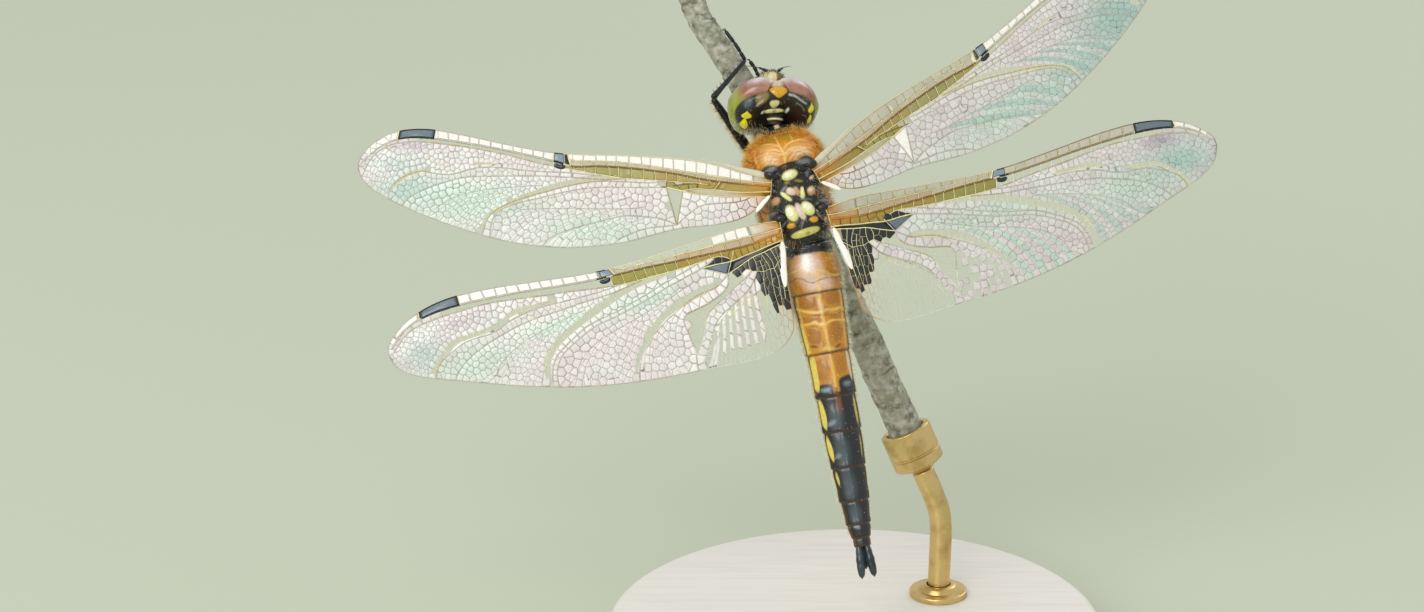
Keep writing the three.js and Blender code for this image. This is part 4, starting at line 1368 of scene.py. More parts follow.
    def merge_slivers(self) -> None:
        """Joins each tiny cell to the neighbour that it shares its longest thin wall with."""
        areas = self.areas(self.points, self.triangles)
        totals = np.bincount(self.cells, areas)
        owners: dict[Edge, list[int]] = {}
        for triangle, cell in zip(self.triangles.tolist(), self.cells):
            for edge in sides_of(triangle):
                owners.setdefault(edge, []).append(int(cell))
        shared: dict[int, dict[int, float]] = {}
        for edge, pair in owners.items():
            if len(pair) == 2 and pair[0] != pair[1] and not self.walls[edge].main:
                length = float(np.linalg.norm(self.points[edge[0]] - self.points[edge[1]]))
                for a, b in (pair, pair[::-1]):
                    shared.setdefault(a, {})[b] = shared.setdefault(a, {}).get(b, 0) + length
        renamed = np.arange(len(totals))
        for cell in np.argsort(totals):
            if totals[cell] > self.SLIVER:
                break
            if cell in shared:
                renamed[cell] = max(shared[cell], key=shared[cell].get)
        for _ in range(3):
            renamed = renamed[renamed]
        self.cells = renamed[self.cells]

    def loops(self) -> list[tuple[list[int], list[Line]]]:
        """The loop of corners round each cell, with the line that draws each edge.

        The first loop is the outside of the wing, run the other way round.
        """
        owner: dict[Edge, int] = {}
        for triangle, cell in zip(self.triangles.tolist(), self.cells):
            a, b, c = (self.points[i] for i in triangle)
            flat = (b - a)[0] * (c - a)[1] - (b - a)[1] * (c - a)[0]
            run = triangle if flat > 0 else triangle[::-1]
            for k in range(3):
                owner[(run[k], run[(k + 1) % 3])] = int(cell)
        ahead: dict[int, dict[int, list[int]]] = {}
        for (a, b), cell in owner.items():
            other = owner.get((b, a), -1)
            if other != cell:
                ahead.setdefault(cell, {}).setdefault(a, []).append(b)
                if other == -1:
                    ahead.setdefault(-1, {}).setdefault(b, []).append(a)
        loops = []
        for cell in sorted(ahead):
            best: list[int] = []
            links = ahead[cell]
            while any(links.values()):
                start = next(a for a, targets in links.items() if targets)
                loop = [start]
                while links.get(loop[-1]):
                    following = links[loop[-1]].pop()
                    if following == start:
                        break
                    loop.append(following)
                if len(loop) > len(best):
                    best = loop
            pairs = zip(best, best[1:] + best[:1])
            loops.append((best, [self.walls.get(tuple(sorted(pair)), self.lines[0]) for pair in pairs]))
        return loops


MEMBRANE = MembraneFinish("wing membrane", roughness=0.32, specular=0.6, coat=0.15)
VEINS = VeinFinish("wing veins", roughness=0.42)


@dataclass
class Wing:
    """One wing: a pillow of clear film, or of film painted pearly as a reflection of the sky, in each cell,
    and the net of veins round them.
    """

    node: str
    plan: WingPlan
    side: int
    sweep: float
    marks: tuple[Mark, ...]
    washes: tuple[Wash, ...]
    seed: int
    # painted shade: below 1 darkens the whole wing, for its tilt away from the light
    painted_gleam: float = 1.0
    droop: float = 5.0
    lens: float = 0.015
    TINTS = tuple(name for name, _ in MEMBRANE.tints)
    SOFT = ("rose", "mint", "teal", "mauve")
    FILMS = {"clear": 0.06, "beige": 0.72, "bright": 0.95, "olive": 0.72, "amber": 0.84, "dark": 0.985}
    SMUDGE = ((0.1, 0.12), (0.4, 0.3), (0.75, 0.34), (1.1, 0.22))
    LEAST_RISE = 0.006
    ASIDE = 0.07

    def frame(self) -> Frame:
        """The wing's own frame, mirrored on the left."""
        seat = turned((0, self.droop, self.sweep), "ZY", self.plan.root)
        return FRAMES["body"].inside(Matrix.Diagonal((self.side, 1, 1, 1)) @ seat)

    def middle(self, net: Net, places: Values) -> Values:
        """The height of the wing's middle surface: its camber and its pleats."""
        front, rear = net.height("C", places[:, 0]), net.height("rim", places[:, 0])
        across = (places[:, 1] - (front + rear) / 2) / (front - rear + 1e-6)
        height = self.plan.camber * (1 - 4 * np.clip(across, -0.5, 0.5) ** 2)
        for vein in self.plan.veins:
            if vein.ridge:
                curve = net.curves[vein.name]
                gap = np.sqrt(((places[:, None] - curve[None]) ** 2).sum(-1).min(1))
                height += vein.ridge * np.exp(-((gap / 0.42) ** 2)) * smooth(places[:, 0], 0, 3)
        return height

    def tints(self, net: Net, places: Values) -> dict[str, Values]:
        """The amount of each tint at places on the wing."""
        x, y = places[:, 0], places[:, 1]
        found = {name: np.zeros(len(places)) for name in self.TINTS}
        rng = np.random.default_rng(self.seed)
        # the rose, mint, teal and mauve washes and the bright marks paint the reflection of the sky; the
        # sheen marks paint a highlight
        found["rose"] += 0.5 + 0.5 * value_noise(places, 1.3, self.seed)
        for wash in self.washes:
            far = ((x - wash.x) / wash.along) ** 2 + ((y - wash.y) / wash.across) ** 2
            found[wash.tint] = np.maximum(found[wash.tint], wash.amount * np.exp(-far))
        for mark in self.marks:
            inside = mark.region.covers(net, places) & (rng.random(len(places)) < mark.share)
            floor = 0 if mark.tint == "clear" else found[mark.tint][inside]
            found[mark.tint][inside] = np.maximum(floor, mark.amount)
        return found

    def settle(self, found: dict[str, Values], rng: np.random.Generator) -> dict[str, Values]:
        """Works the amounts of the tints into the film's density and painted shade for each cell."""
        count = len(found["clear"])
        # the pearly cells are nearly opaque, as the painted reflection of the sky hides what lies behind
        film = 0.94 + rng.uniform(-0.05, 0.03, count)
        for name, density in self.FILMS.items():
            film = mix(film, density, found[name])
        # painted shade: the whole wing's darkening for its tilt, times a random brightness per cell, left
        # out where the film is painted bright
        shade = mix(rng.uniform(0.93, 1.05, count) * self.painted_gleam, 1.0, found["bright"])
        hard = 1 - np.maximum.reduce([found[name] for name in self.FILMS])
        for name in self.SOFT:
            found[name] = found[name] * hard
        return found | {"film": film, "shade": shade}

    def build(self) -> None:
        """Builds the film and the veins."""
        net = Net(self.plan, self.seed)
        rng = np.random.default_rng(self.seed + 50)
        middle = self.middle(net, net.points)
        loops = net.loops()
        film, veins = Shape(), Shape()
        tall = np.full(len(net.points), self.LEAST_RISE)
        for loop, lines in loops:
            for a, b, line in zip(loop, loop[1:] + loop[:1], lines):
                rise = line.half * (0.6 if line.main else 0.35)
                tall[a], tall[b] = max(tall[a], rise), max(tall[b], rise)
        stack = np.column_stack([net.points, middle])
        lift = np.array([0, 0, 1.0]) * tall[:, None]
        veins.add(np.concatenate([stack + lift, stack - lift]), [])
        centres = np.array([net.points[loop].mean(0) for loop, _ in loops[1:]])
        cells = self.settle(self.tints(net, centres), rng)
        self.add_trim(film, net)
        spans = [(net.points[loop] + net.points[loop[1:] + loop[:1]]) / 2 for loop, _ in loops]
        named = np.array([line.name for _, lines in loops for line in lines])
        shifts = self.ASIDE * (named == "R") - self.ASIDE * (named == "rim")
        span_tints = self.tints(net, np.concatenate(spans) + np.column_stack([0 * shifts, shifts]))
        start = 0
        for number, (loop, lines) in enumerate(loops):
            rim = net.points[loop]
            inner = self.offset(rim, np.array([line.half for line in lines]), number > 0)
            if number:
                cell = {name: value[number - 1] for name, value in cells.items()}
                warm = self.glow(net, centres[number - 1], inner) * (cell["dark"] == 0)
                self.add_film(film, rim, inner, stack[loop, 2], cell, warm)
            height = stack[loop, 2] if number == 0 else self.middle(net, inner)
            part = slice(start, start + len(loop))
            start += len(loop)
            near = {name: value[part] for name, value in span_tints.items()}
            self.add_veins(veins, net, loop, lines, np.column_stack([inner, height]), spans[number], near)
        local = self.frame()
        film.install(f"{self.node}_membrane", local, MEMBRANE, Slot.WINGS, self.node)
        veins.install(f"{self.node}_veins", local, VEINS, Slot.WINGS, self.node)

    @staticmethod
    def offset(rim: Values, halves: Values, closed_in: bool) -> Values:
        """The loop of a cell drawn in by the half widths of its veins."""
        run = np.roll(rim, -1, 0) - rim
        run /= np.linalg.norm(run, axis=1, keepdims=True) + 1e-9
        normal = np.stack([-run[:, 1], run[:, 0]], -1)
        before, gap_before = np.roll(normal, 1, 0), np.roll(halves, 1)
        turn = before[:, 0] * normal[:, 1] - before[:, 1] * normal[:, 0]
        flat = np.abs(turn) < 0.25
        safe = np.where(flat, 1.0, turn)
        x = (gap_before * normal[:, 1] - halves * before[:, 1]) / safe
        y = (halves * before[:, 0] - gap_before * normal[:, 0]) / safe
        average = before + normal
        average /= np.linalg.norm(average, axis=1, keepdims=True) + 1e-9
        straight = average * ((halves + gap_before) / 2)[:, None]
        moved = np.where(flat[:, None], straight, np.stack([x, y], -1))
        size = np.linalg.norm(moved, axis=1)
        most = np.maximum(halves, gap_before) * 2.2
        if closed_in:
            most = np.minimum(most, 0.42 * np.linalg.norm(rim - rim.mean(0), axis=1))
        inner = rim + moved * np.minimum(1, most / (size + 1e-9))[:, None]
        ahead = np.roll(rim, -1, 0) - rim
        for _ in range(16):
            folded = np.flatnonzero(((np.roll(inner, -1, 0) - inner) * ahead).sum(-1) < -1e-9)
            if not len(folded):
                break
            for i in folded:
                k = (i + 1) % len(inner)
                inner[[i, k]] = (inner[i] + inner[k]) / 2
        return inner

    @staticmethod
    def glow(net: Net, centre: Values, places: Values) -> Values:
        """How much of the amber of the wing's root reaches places of one cell."""
        banded = net.height("CuP", centre[0]) < centre[1] < net.height("R", centre[0])
        reach = 2.5 if banded else 1.1
        return np.exp(-(((places[:, 0] + 0.9) / reach) ** 2))

    def add_film(
        self,
        film: Shape,
        rim: Values,
        inner: Values,
        height: Values,
        cell: dict[str, float],
        warm: Values,
    ) -> None:
        """A closed pillow of film in one cell, with painted shade darker towards its veins.

        Args:
            film: The mesh that takes the faces.
            rim: The loop of the cell's corners.
            inner: The loop drawn in by the half widths of its veins.
            height: The heights of the corners.
            cell: The cell's tints, density and shade.
            warm: How much of the root's amber reaches each corner.
        """
        count = len(rim)
        centre = inner.mean(0)
        edge = mix(rim, inner, 0.4)
        ring = mix(inner, centre, 0.22)
        middle = float(height.mean())
        bulge = self.lens * (3 if cell["sheen"] > 0 else 1 - 0.7 * cell["bright"])
        ring_height = mix(height, middle, 0.3)
        rows = [
            np.column_stack([edge, height]),
            np.column_stack([ring, ring_height + bulge]),
            np.column_stack([ring, ring_height - bulge]),
            np.array([[*centre, middle + bulge * 1.25], [*centre, middle - bulge * 1.25]]),
        ]
        faces = []
        top, bottom = 3 * count, 3 * count + 1
        for i in range(count):
            k = (i + 1) % count
            faces.append((i, k, count + k, count + i))
            faces.append((i, 2 * count + i, 2 * count + k, k))
            faces.append((count + i, count + k, top))
            faces.append((2 * count + k, 2 * count + i, bottom))
        inward = np.r_[np.zeros(count), np.ones(2 * count), 1.0, 1.0]
        values = dict(cell)
        # painted shade at the cell's rim, and the painted highlight of the sheen only at its middle
        values["shade"] = cell["shade"] * mix(0.94, 1.0, inward)
        values["sheen"] = cell["sheen"] * inward
        glow = np.concatenate([warm, warm, warm, [warm.mean()] * 2])
        values["amber"] = np.maximum(cell["amber"], 0.95 * glow)
        values["film"] = mix(cell["film"], max(cell["film"], 0.86), glow)
        film.add(np.concatenate(rows), faces, **values)

    def add_veins(
        self,
        veins: Shape,
        net: Net,
        loop: list[int],
        lines: list[Line],
        inner: Values,
        places: Values,
        tints: dict[str, Values],
    ) -> None:
        """The half of each vein that lies on one cell's side, above and below.

        Args:
            veins: The mesh that takes the faces.
            net: The wing's net.
            loop: The corners round the cell.
            lines: The line that draws each side.
            inner: The loop drawn in by the half widths, with its heights.
            places: The middle of each side.
            tints: The amounts of the wing's tints there.
        """
        start = veins.count
        total = len(net.points)
        faces = []
        pairs = list(zip(loop, loop[1:] + loop[:1]))
        for i, (a, b) in enumerate(pairs):
            j, k = start + i, start + (i + 1) % len(loop)
            faces.append((a - start, b - start, k - start, j - start))
            faces.append((b + total - start, a + total - start, j - start, k - start))
        veins.add(inner, faces)
        x, y = places.T
        main = np.array([line.main for line in lines], float)
        rung = np.array([not line.main and line.name not in ("cell", "row") for line in lines], float)
        open_film = np.maximum(tints["clear"], tints["dark"] * (tints["sheen"] == 0))
        front_part = y > net.height("CuP", x) - 0.05
        pale = np.array([line.name in ("rim", "Sc", "RP1", "arculus", "M", "CuP") for line in lines])
        pale = pale & front_part & (x < self.plan.nodus)
        cream = (1 - main) * np.maximum(rung, open_film) + pale * 0.75 + open_film * main * 0.4
        rays = np.array([line.name.startswith("ray") for line in lines])
        cream = np.where(rays, 1.0, cream) * mix(1.0, 0.25, smooth(-y, 5.0, 6.5))
        stained = np.maximum.reduce([tints[name] for name in ("clear", "amber", "olive", "beige")])
        grey = (1 - stained) * mix(1.0, 0.6, main) * smooth(x, 1, 4)
        grey = np.maximum(grey, tints["clear"] * smooth(-y, 4.5, 6.0))
        edges = np.array([line.name in ("rim", "R") for line in lines])
        black = edges * (tints["dark"] * (tints["sheen"] > 0))
        values = {"cream": np.clip(cream, 0, 1), "grey": grey, "rust": 1 - smooth(x, 0.5, 3.5)}
        # white veins where the film is painted bright as a reflection of the sky
        values |= {"white": tints["bright"] * (1 - main), "black": black}
        for name, value in values.items():
            veins.tint_faces(**{name: np.repeat(value, 2).tolist()})

    def add_trim(self, film: Shape, net: Net) -> None:
        """The white membranule by the body, the black smudge behind the nodus and the pale strap."""
        plan = self.plan
        places = [plan.nodus + along for along, _ in self.SMUDGE]
        smudge = [(x, net.height("R", x) - drop) for x, (_, drop) in zip(places, self.SMUDGE)]
        trims = []
        for points, half, tint in (
            (plan.membranule, plan.membranule_half, "bright"), (smudge, 0.2, "dark"),
        ):
            flat = even_spline(points, 0.12)
            trims.append((flat, half * rounded_ends(len(flat), 0.35), tint))
        if plan.strap:
            strap = even_spline(plan.strap, 0.12)
            trims.append((strap[:, :2], strap[:, 2], "beige"))
        for flat, half, tint in trims:
            path = np.column_stack([flat, self.middle(net, flat) + 0.03])
            corners, faces = tube(path, half, 12, 0.35)
            values = dict.fromkeys(self.TINTS, 0.0) | {tint: 1.0, "film": 1.0, "shade": 1.0}
            film.add(corners, faces, **values)


LOOP_FIELD = Patchwork((
    (3.78, -1.5), (4.2, -2.1), (4.6, -3.0), (5.3, -3.6), (6.4, -4.02), (7.6, -4.25), (8.9, -4.5),
    (9.0, -5.6),
    (8.95, -7.2), (8.95, -8.4), (8.3, -7.41), (7.65, -6.32), (7.05, -5.15), (6.2, -4.5), (5.0, -3.9),
    (3.9, -3.3),
    (3.0, -2.95), (2.9, -2.2),
))
ANAL_FIELD = Patchwork((
    (2.2, -4.3), (3.3, -4.7), (4.6, -5.4), (5.7, -6.0), (6.7, -7.0), (7.5, -8.3), (8.2, -9.8), (6.0, -10.4),
    (2.0, -10.2),
    (-0.5, -8.0), (-0.4, -5.8), (0.8, -6.4), (1.6, -5.4),
))
FORE_TRIANGLE_FIELD = Patchwork((
    (3.85, -1.0), (4.3, -0.75), (4.9, -0.62), (5.7, -0.78), (6.15, -1.0), (5.5, -1.08), (4.9, -1.08),
    (4.3, -1.1), (3.9, -1.12),
))
TRIANGLE_FIELD = Patchwork(((3.95, -1.35), (5.9, -1.12), (4.38, -2.1)))
MIDRIB_FIELD = Patchwork((
    (2.45, -2.9), (3.1, -3.05), (4.8, -3.95), (6.2, -4.75), (7.0, -5.8), (8.2, -7.7), (8.9, -8.9),
    (7.6, -7.6),
    (6.3, -5.85), (4.3, -4.6), (2.6, -3.5),
))
BASE_PATCH = Patchwork((
    (-0.6, -0.95), (1.5, -1.07), (3.75, -1.3), (4.25, -2.05), (3.6, -2.42), (2.8, -2.55), (2.1, -3.1),
    (2.1, -4.3), (1.8, -5.1),
    (1.3, -5.9), (0.6, -6.4), (-0.3, -6.2), (-0.5, -4.4), (-0.6, -2.6),
))
# the bright marks paint the reflection of the sky; the sheen marks paint a highlight on the dark nodal spot
# and pterostigma
FORE_MARKS = (
    Mark("beige", 1, Between("Sc", "R", 0.6, 16.4)),
    Mark("olive", 1, Between("R", "M", -1.4, 4.0)),
    Mark("beige", 1, Between("M", "CuP", -1.4, 6.9)),
    Mark("beige", 0.8, Between("C", "Sc", -1.2, 0.6)),
    Mark("amber", 0.8, Between("Sc", "R", -1.2, 0.6)),
    Mark("olive", 0.9, Between("R", "RP1", 3.8, 16.6)),
    Mark("olive", 1, Between("MA", "M", 3.95, 6.8)),
    Mark("olive", 1, Patchwork(((6.5, -0.65), (8.2, -0.45), (8.4, -0.25), (6.5, -0.1)))),
    Mark("beige", 1, Between("RP1", "MA", 3.95, 8.6)),
    Mark("amber", 0.3, Between("Sc", "RP1", 0.6, 9.0)),
    Mark("clear", 1, Between("R", "RP1", 16.9, 29.3)),
    Mark("bright", 0.8, Between("C", "R", 31.4, 34.0)),
    Mark("dark", 1, Between("C", "R", 16.7, 17.95)),
    Mark("sheen", 0.8, Between("C", "R", 17.1, 17.95)),
    Mark("dark", 1, Between("C", "R", 28.2, 31.2)),
    Mark("sheen", 0.5, Between("C", "R", 28.2, 31.2)),
)
# the bright marks paint the reflection of the sky; the sheen marks paint a highlight on the dark nodal
# spot, pterostigma and triangle
HIND_MARKS = (
    Mark("beige", 1, Between("Sc", "R", 0.6, 13.8)),
    Mark("olive", 1, Between("R", "M", -1.9, 3.8)),
    Mark("amber", 0.45, Between("R", "M", -1.9, 3.8)),
    Mark("beige", 0.8, Between("C", "Sc", -1.4, 0.6)),
    Mark("amber", 0.8, Between("Sc", "R", -1.4, 0.6)),
    Mark("olive", 1, Between("R", "RP1", 3.6, 14.0)),
    Mark("amber", 0.4, Between("Sc", "RP1", 0.6, 8.0)),
    Mark("clear", 1, Between("R", "RP1", 14.2, 29.0)),
    Mark("bright", 0.8, Between("C", "R", 30.8, 33.6)),
    Mark("dark", 1, Between("C", "R", 13.9, 15.2)),
    Mark("sheen", 0.8, Between("C", "R", 14.3, 15.2)),
    Mark("dark", 1, Between("C", "R", 27.1, 30.6)),
    Mark("sheen", 0.5, Between("C", "R", 27.1, 30.6)),
    Mark("clear", 1, LOOP_FIELD),
    Mark("clear", 1, ANAL_FIELD),
    Mark("clear", 0, MIDRIB_FIELD),
    Mark("dark", 1, BASE_PATCH),
    Mark("dark", 1, FORE_TRIANGLE_FIELD),
    Mark("sheen", 0.45, TRIANGLE_FIELD),
    Mark("dark", 1, TRIANGLE_FIELD),
)


def wings() -> list[Wing]:
    """The four wings, each with its own painted brightness for its tilt to the light."""
    # the clear stripes, bars and margin part the painted reflection of the sky, and the washes tint it
    fore = FORE_MARKS + tuple(Mark("clear", 1, stripe) for stripe in FOREWING.stripes)
    hind = HIND_MARKS + tuple(Mark("clear", 1, stripe) for stripe in HINDWING.stripes)
    # the front strips painted white as a reflection of the sky, duller on the right forewing
    white_front = (
        Mark("bright", 1, Between("C", "Sc", 0.6, 16.7)), Mark("bright", 1, Between("C", "R", 17.95, 28.2)),
    )
    dull_front = (Mark(
        "beige", 0.8, Between("C", "Sc", 0.6, 16.7),
    ), Mark("bright", 0.75, Between("C", "R", 17.95, 28.2)))
    margin = Patchwork((
        (1.6, -8.4), (3.3, -8.4), (4.6, -8.8), (6.6, -9.0), (8.6, -9.3), (9.6, -10.4), (1.0, -10.4),
    ))
    bars = (Mark("clear", 0, HINDWING.combs[-1]), Mark("clear", 1, margin))
    return [
        Wing("wing_fore_left", FOREWING, -1, 18.0, white_front + fore + (
            Mark("clear", 1, Patchwork(((6.6, -0.7), (8.3, -0.4), (7.05, -3.8)))),
        ), (
            Wash("mint", 0.85, 24.9, -2.5, 5.5, 2.0), Wash("mint", 0.7, 14.0, -4.6, 5.0, 1.5),
            Wash("teal", 0.55, 30.5, -1.9, 2.6, 1.4), Wash("teal", 0.45, 31.0, 0.2, 2.2, 0.8),
            Wash("rose", 1.0, 20.8, 0.7, 4.0, 1.0), Wash("rose", 1.0, 11.0, -1.8, 4.5, 1.4),
            Wash("mauve", 0.45, 30.0, 1.9, 1.2, 0.5),
        ), 3),
        Wing("wing_fore_right", FOREWING, 1, 17.0, dull_front + fore + (
            Mark("bright", 1, Patchwork(((6.6, -0.85), (8.1, -0.6), (7.1, -3.55)))),
            Mark("teal", 0.7, FOREWING.combs[0]), Mark("teal", 0.5, FOREWING.combs[1]),
        ), (
            Wash("teal", 0.85, 29.5, -2.2, 4.0, 2.6), Wash("teal", 0.6, 24.0, -4.2, 3.2, 1.4),
            Wash("mint", 0.8, 16.0, -4.2, 5.5, 1.6), Wash("mint", 0.6, 20.8, -4.6, 3.0, 1.5),
            Wash("rose", 1.0, 12.0, -2.1, 3.0, 1.5), Wash("rose", 1.0, 17.0, -2.6, 4.0, 1.2),
            Wash("rose", 1.0, 25.5, 0.3, 3.0, 1.0),
        ), 4, 0.86),
        Wing("wing_hind_left", HINDWING, -1, -2.0, (
            Mark("clear", 0.9, Between("C", "Sc", 5.0, 13.9)),
            Mark("bright", 1, Between("C", "Sc", 0.4, 5.0)),
            Mark("bright", 1, Between("C", "R", 15.2, 27.0)),
        ) + hind + bars, (
            Wash("mint", 0.7, 19.4, -2.1, 4.0, 0.8), Wash("mint", 0.7, 12.2, -2.1, 4.0, 0.9),
            Wash("mint", 0.7, 26.8, -3.2, 4.0, 1.5), Wash("teal", 0.5, 31.2, -1.2, 2.0, 1.3),
            Wash("rose", 1.0, 20.4, -5.4, 4.0, 2.0), Wash("rose", 1.0, 13.4, -5.8, 3.0, 3.0),
            Wash("mauve", 0.3, 26.6, 0.6, 2.4, 0.6),
        ), 5),
        Wing("wing_hind_right", replace(HINDWING, combs=HINDWING.combs[:-1]), 1, -3.4, (
            Mark("beige", 0.9, Between("C", "Sc", 0.6, 13.8)),
            Mark("beige", 0.8, Between("C", "R", 15.2, 27.0)),
        ) + hind + (
            Mark("clear", 1, Patchwork(((9.2, -5.0), (12.6, -6.4), (13.4, -8.6), (9.2, -9.6))), 0.45),
            Mark("teal", 0.4, HINDWING.combs[0]), Mark("mint", 0.8, HINDWING.combs[1]),
        ), (
            Wash("mint", 0.8, 26.0, -2.6, 4.0, 2.0), Wash("teal", 0.8, 30.6, -1.0, 3.0, 1.5),
            Wash("mint", 0.7, 13.5, -2.4, 7.0, 1.1), Wash("rose", 1.0, 16.5, -6.5, 5.0, 2.5),
            Wash("rose", 1.0, 25.4, 0.4, 3.0, 0.8), Wash("mauve", 0.75, 29.2, 1.0, 1.6, 0.55),
        ), 6, 0.86),
    ]


# ---- Body finishes ----------------------------------------------------------------------------
@dataclass(frozen=True)
class HardFinish(Finish):
    """Hard skin: a base colour, and named patches that the mesh carries at its corners."""

    base: str = "#c08a1e"
    dark: str = "#7a4c10"
    patches: Paints = ()
    pit_scale: float = 9.0
    mottle_scale: float = 0.9
    relief: float = 0.03

    def paint(self, nodes: Nodes, shader: bpy.types.Node) -> None:
        """A mottled base, the patches over it in turn, and fine pits."""
        skin = nodes.group(CUTICLE, Place=nodes.place())
        skin.inputs["Pit Scale"].default_value = self.pit_scale
        skin.inputs["Mottle Scale"].default_value = self.mottle_scale
        shade = nodes.between(skin.outputs["Shade"], 0.32, 0.68)
        tone = nodes.blend(colour(self.dark), colour(self.base), shade)
        tone = nodes.patched(tone, self.patches)
        grain = nodes.between(nodes.noise(4.5, 4), 0.25, 0.75, 0.86, 1.1)
        nodes.feed(shader.inputs["Base Color"], nodes.blend(tone, grain, 1.0, "MULTIPLY"))
        nodes.feed(shader.inputs["Normal"], nodes.bump(skin.outputs["Height"], 0.6, self.relief))


@dataclass(frozen=True)
class EyeFinish(Finish):
    """A compound eye: rows of facets, red-brown above and olive below, with a pale painted highlight along
    its top.
    """

    below: str = "#9aa02c"
    # the pale pink-white tint is a painted highlight along the top of the eye
    paints: Paints = (("above", "#9a5a3c"), ("blush", "#dcb6a8"), ("bloom", "#eadfe0"), ("rear", "#1a140c"))
    facets: float = 13.0

    def paint(self, nodes: Nodes, shader: bpy.types.Node) -> None:
        """Mixes the colours by height, paints shade at the rim of each facet and bends the normal over each
        facet.
        """
        cells = nodes.new("ShaderNodeTexVoronoi", feature="F1")
        nodes.feed(cells.inputs["Vector"], nodes.place())
        cells.inputs["Scale"].default_value = self.facets
        cells.inputs["Randomness"].default_value = 0.25
        tone = nodes.patched(colour(self.below), self.paints)
        spots = nodes.between(nodes.noise(1.6, 3), 0.35, 0.65, 0.82, 1.1)
        tone = nodes.blend(tone, spots, 1.0, "MULTIPLY")
        # painted shade: each facet lighter at its middle and darker at its rim
        facet = nodes.between(cells.outputs["Distance"], 0.1, 0.6, 1.06, 0.8)
        nodes.feed(shader.inputs["Base Color"], nodes.blend(tone, facet, 1.0, "MULTIPLY"))
        dome = nodes.between(cells.outputs["Distance"], 0.0, 0.7, 1.0, 0.0)
        nodes.feed(shader.inputs["Normal"], nodes.bump(dome, 0.35, 0.02))


@dataclass(frozen=True)
class BarkFinish(Finish):
    """Grey bark with pale lichen, green algae and dark cracks."""

    bark: str = "#a09e8c"
    deep: str = "#625f4e"
    lichen: str = "#cbcdbf"
    algae: str = "#7d8266"
    wood: str = "#c7ab7a"

    def paint(self, nodes: Nodes, shader: bpy.types.Node) -> None:
        """Layers lichen and algae on the bark, and roughens it."""
        fibre = nodes.noise(1.1, 5, 0.65, (1, 1, 0.35))
        tone = nodes.blend(colour(self.deep), colour(self.bark), nodes.between(fibre, 0.3, 0.55))
        tone = nodes.blend(
            tone, colour(self.algae), nodes.between(nodes.noise(0.45, 4), 0.48, 0.66, 0, 0.7),
        )
        spots = nodes.noise(1.5, 5, 0.6)
        tone = nodes.blend(tone, colour(self.lichen), nodes.between(spots, 0.42, 0.7, 0, 0.7))
        tone = nodes.patched(tone, (("crack", self.deep), ("cut", self.wood)))
        nodes.feed(shader.inputs["Base Color"], tone)
        height = nodes.math("ADD", fibre, nodes.math("MULTIPLY", spots, 0.8))
        nodes.feed(shader.inputs["Normal"], nodes.bump(height, 0.8, 0.16))


@dataclass(frozen=True)
class MetalFinish(Finish):
    """Brushed metal with faint streaks and slight tarnish."""

    tone: str = "#d8bd80"
    tarnish: str = "#b99a5c"

    def paint(self, nodes: Nodes, shader: bpy.types.Node) -> None:
        """Streaks in the gloss, and darker tarnish in soft patches."""
        streaks = nodes.noise(2.0, 3, 0.6, (8, 8, 0.4))
        tone = nodes.blend(
            colour(self.tone), colour(self.tarnish), nodes.between(nodes.noise(0.5, 3), 0.45, 0.75),
        )
        nodes.feed(shader.inputs["Base Color"], tone)
        nodes.feed(shader.inputs["Roughness"], nodes.between(streaks, 0.3, 0.7, 0.26, 0.42))
        nodes.feed(shader.inputs["Normal"], nodes.bump(streaks, 0.15, 0.02))


@dataclass(frozen=True)
class PaintedWoodFinish(Finish):
    """Off-white satin paint over turned wood, with the grain just showing."""

    tone: str = "#e6e3da"
    shadow: str = "#e0dcd1"

    def paint(self, nodes: Nodes, shader: bpy.types.Node) -> None:
        """Long soft grain in the colour and the height."""
        grain = nodes.noise(0.5, 4, 0.55, (0.25, 5, 1))
        tone = nodes.blend(colour(self.tone), colour(self.shadow), nodes.between(grain, 0.4, 0.7))
        nodes.feed(shader.inputs["Base Color"], tone)
        nodes.feed(shader.inputs["Normal"], nodes.bump(grain, 0.08, 0.03))


@dataclass(frozen=True)
class HairFinish(Finish):
    """Fine hair, with its own colours at the root and the tip."""

    root: str = "#ee9a10"
    tip: str = "#ffd978"

    def paint(self, nodes: Nodes, shader: bpy.types.Node) -> None:
        """Runs from the root's colour to the tip's, a little lighter or darker from hair to hair."""
        tone = nodes.blend(colour(self.root), colour(self.tip), nodes.mask("tip"))
        vary = nodes.between(nodes.mask("shade"), 0.0, 1.0, 0.85, 1.15)
        nodes.feed(shader.inputs["Base Color"], nodes.blend(tone, vary, 1.0, "MULTIPLY"))


# ---- Body forms -------------------------------------------------------------------------------
@dataclass(frozen=True)
class Lump:
    """A rounded lump whose six radii can differ. Blunt flattens its back."""

    centre: Point
    right: float
    front: float
    up: float
    left: float | None = None
    back: float | None = None
    down: float | None = None
    blunt: float = 1.0

    def place(self, unit: Values, grow: float = 0.0) -> Values:
        """Takes points of the unit sphere to the lump's surface."""
        x, y, z = unit.T
        y = np.where(y < 0, -(np.abs(y) ** self.blunt), y)
        left = self.right if self.left is None else self.left
        back = self.front if self.back is None else self.back
        down = self.up if self.down is None else self.down
        return np.column_stack([
            self.centre[0] + x * (np.where(x > 0, self.right, left) + grow),
            self.centre[1] + y * (np.where(y > 0, self.front, back) + grow),
            self.centre[2] + z * (np.where(z > 0, self.up, down) + grow),
        ])


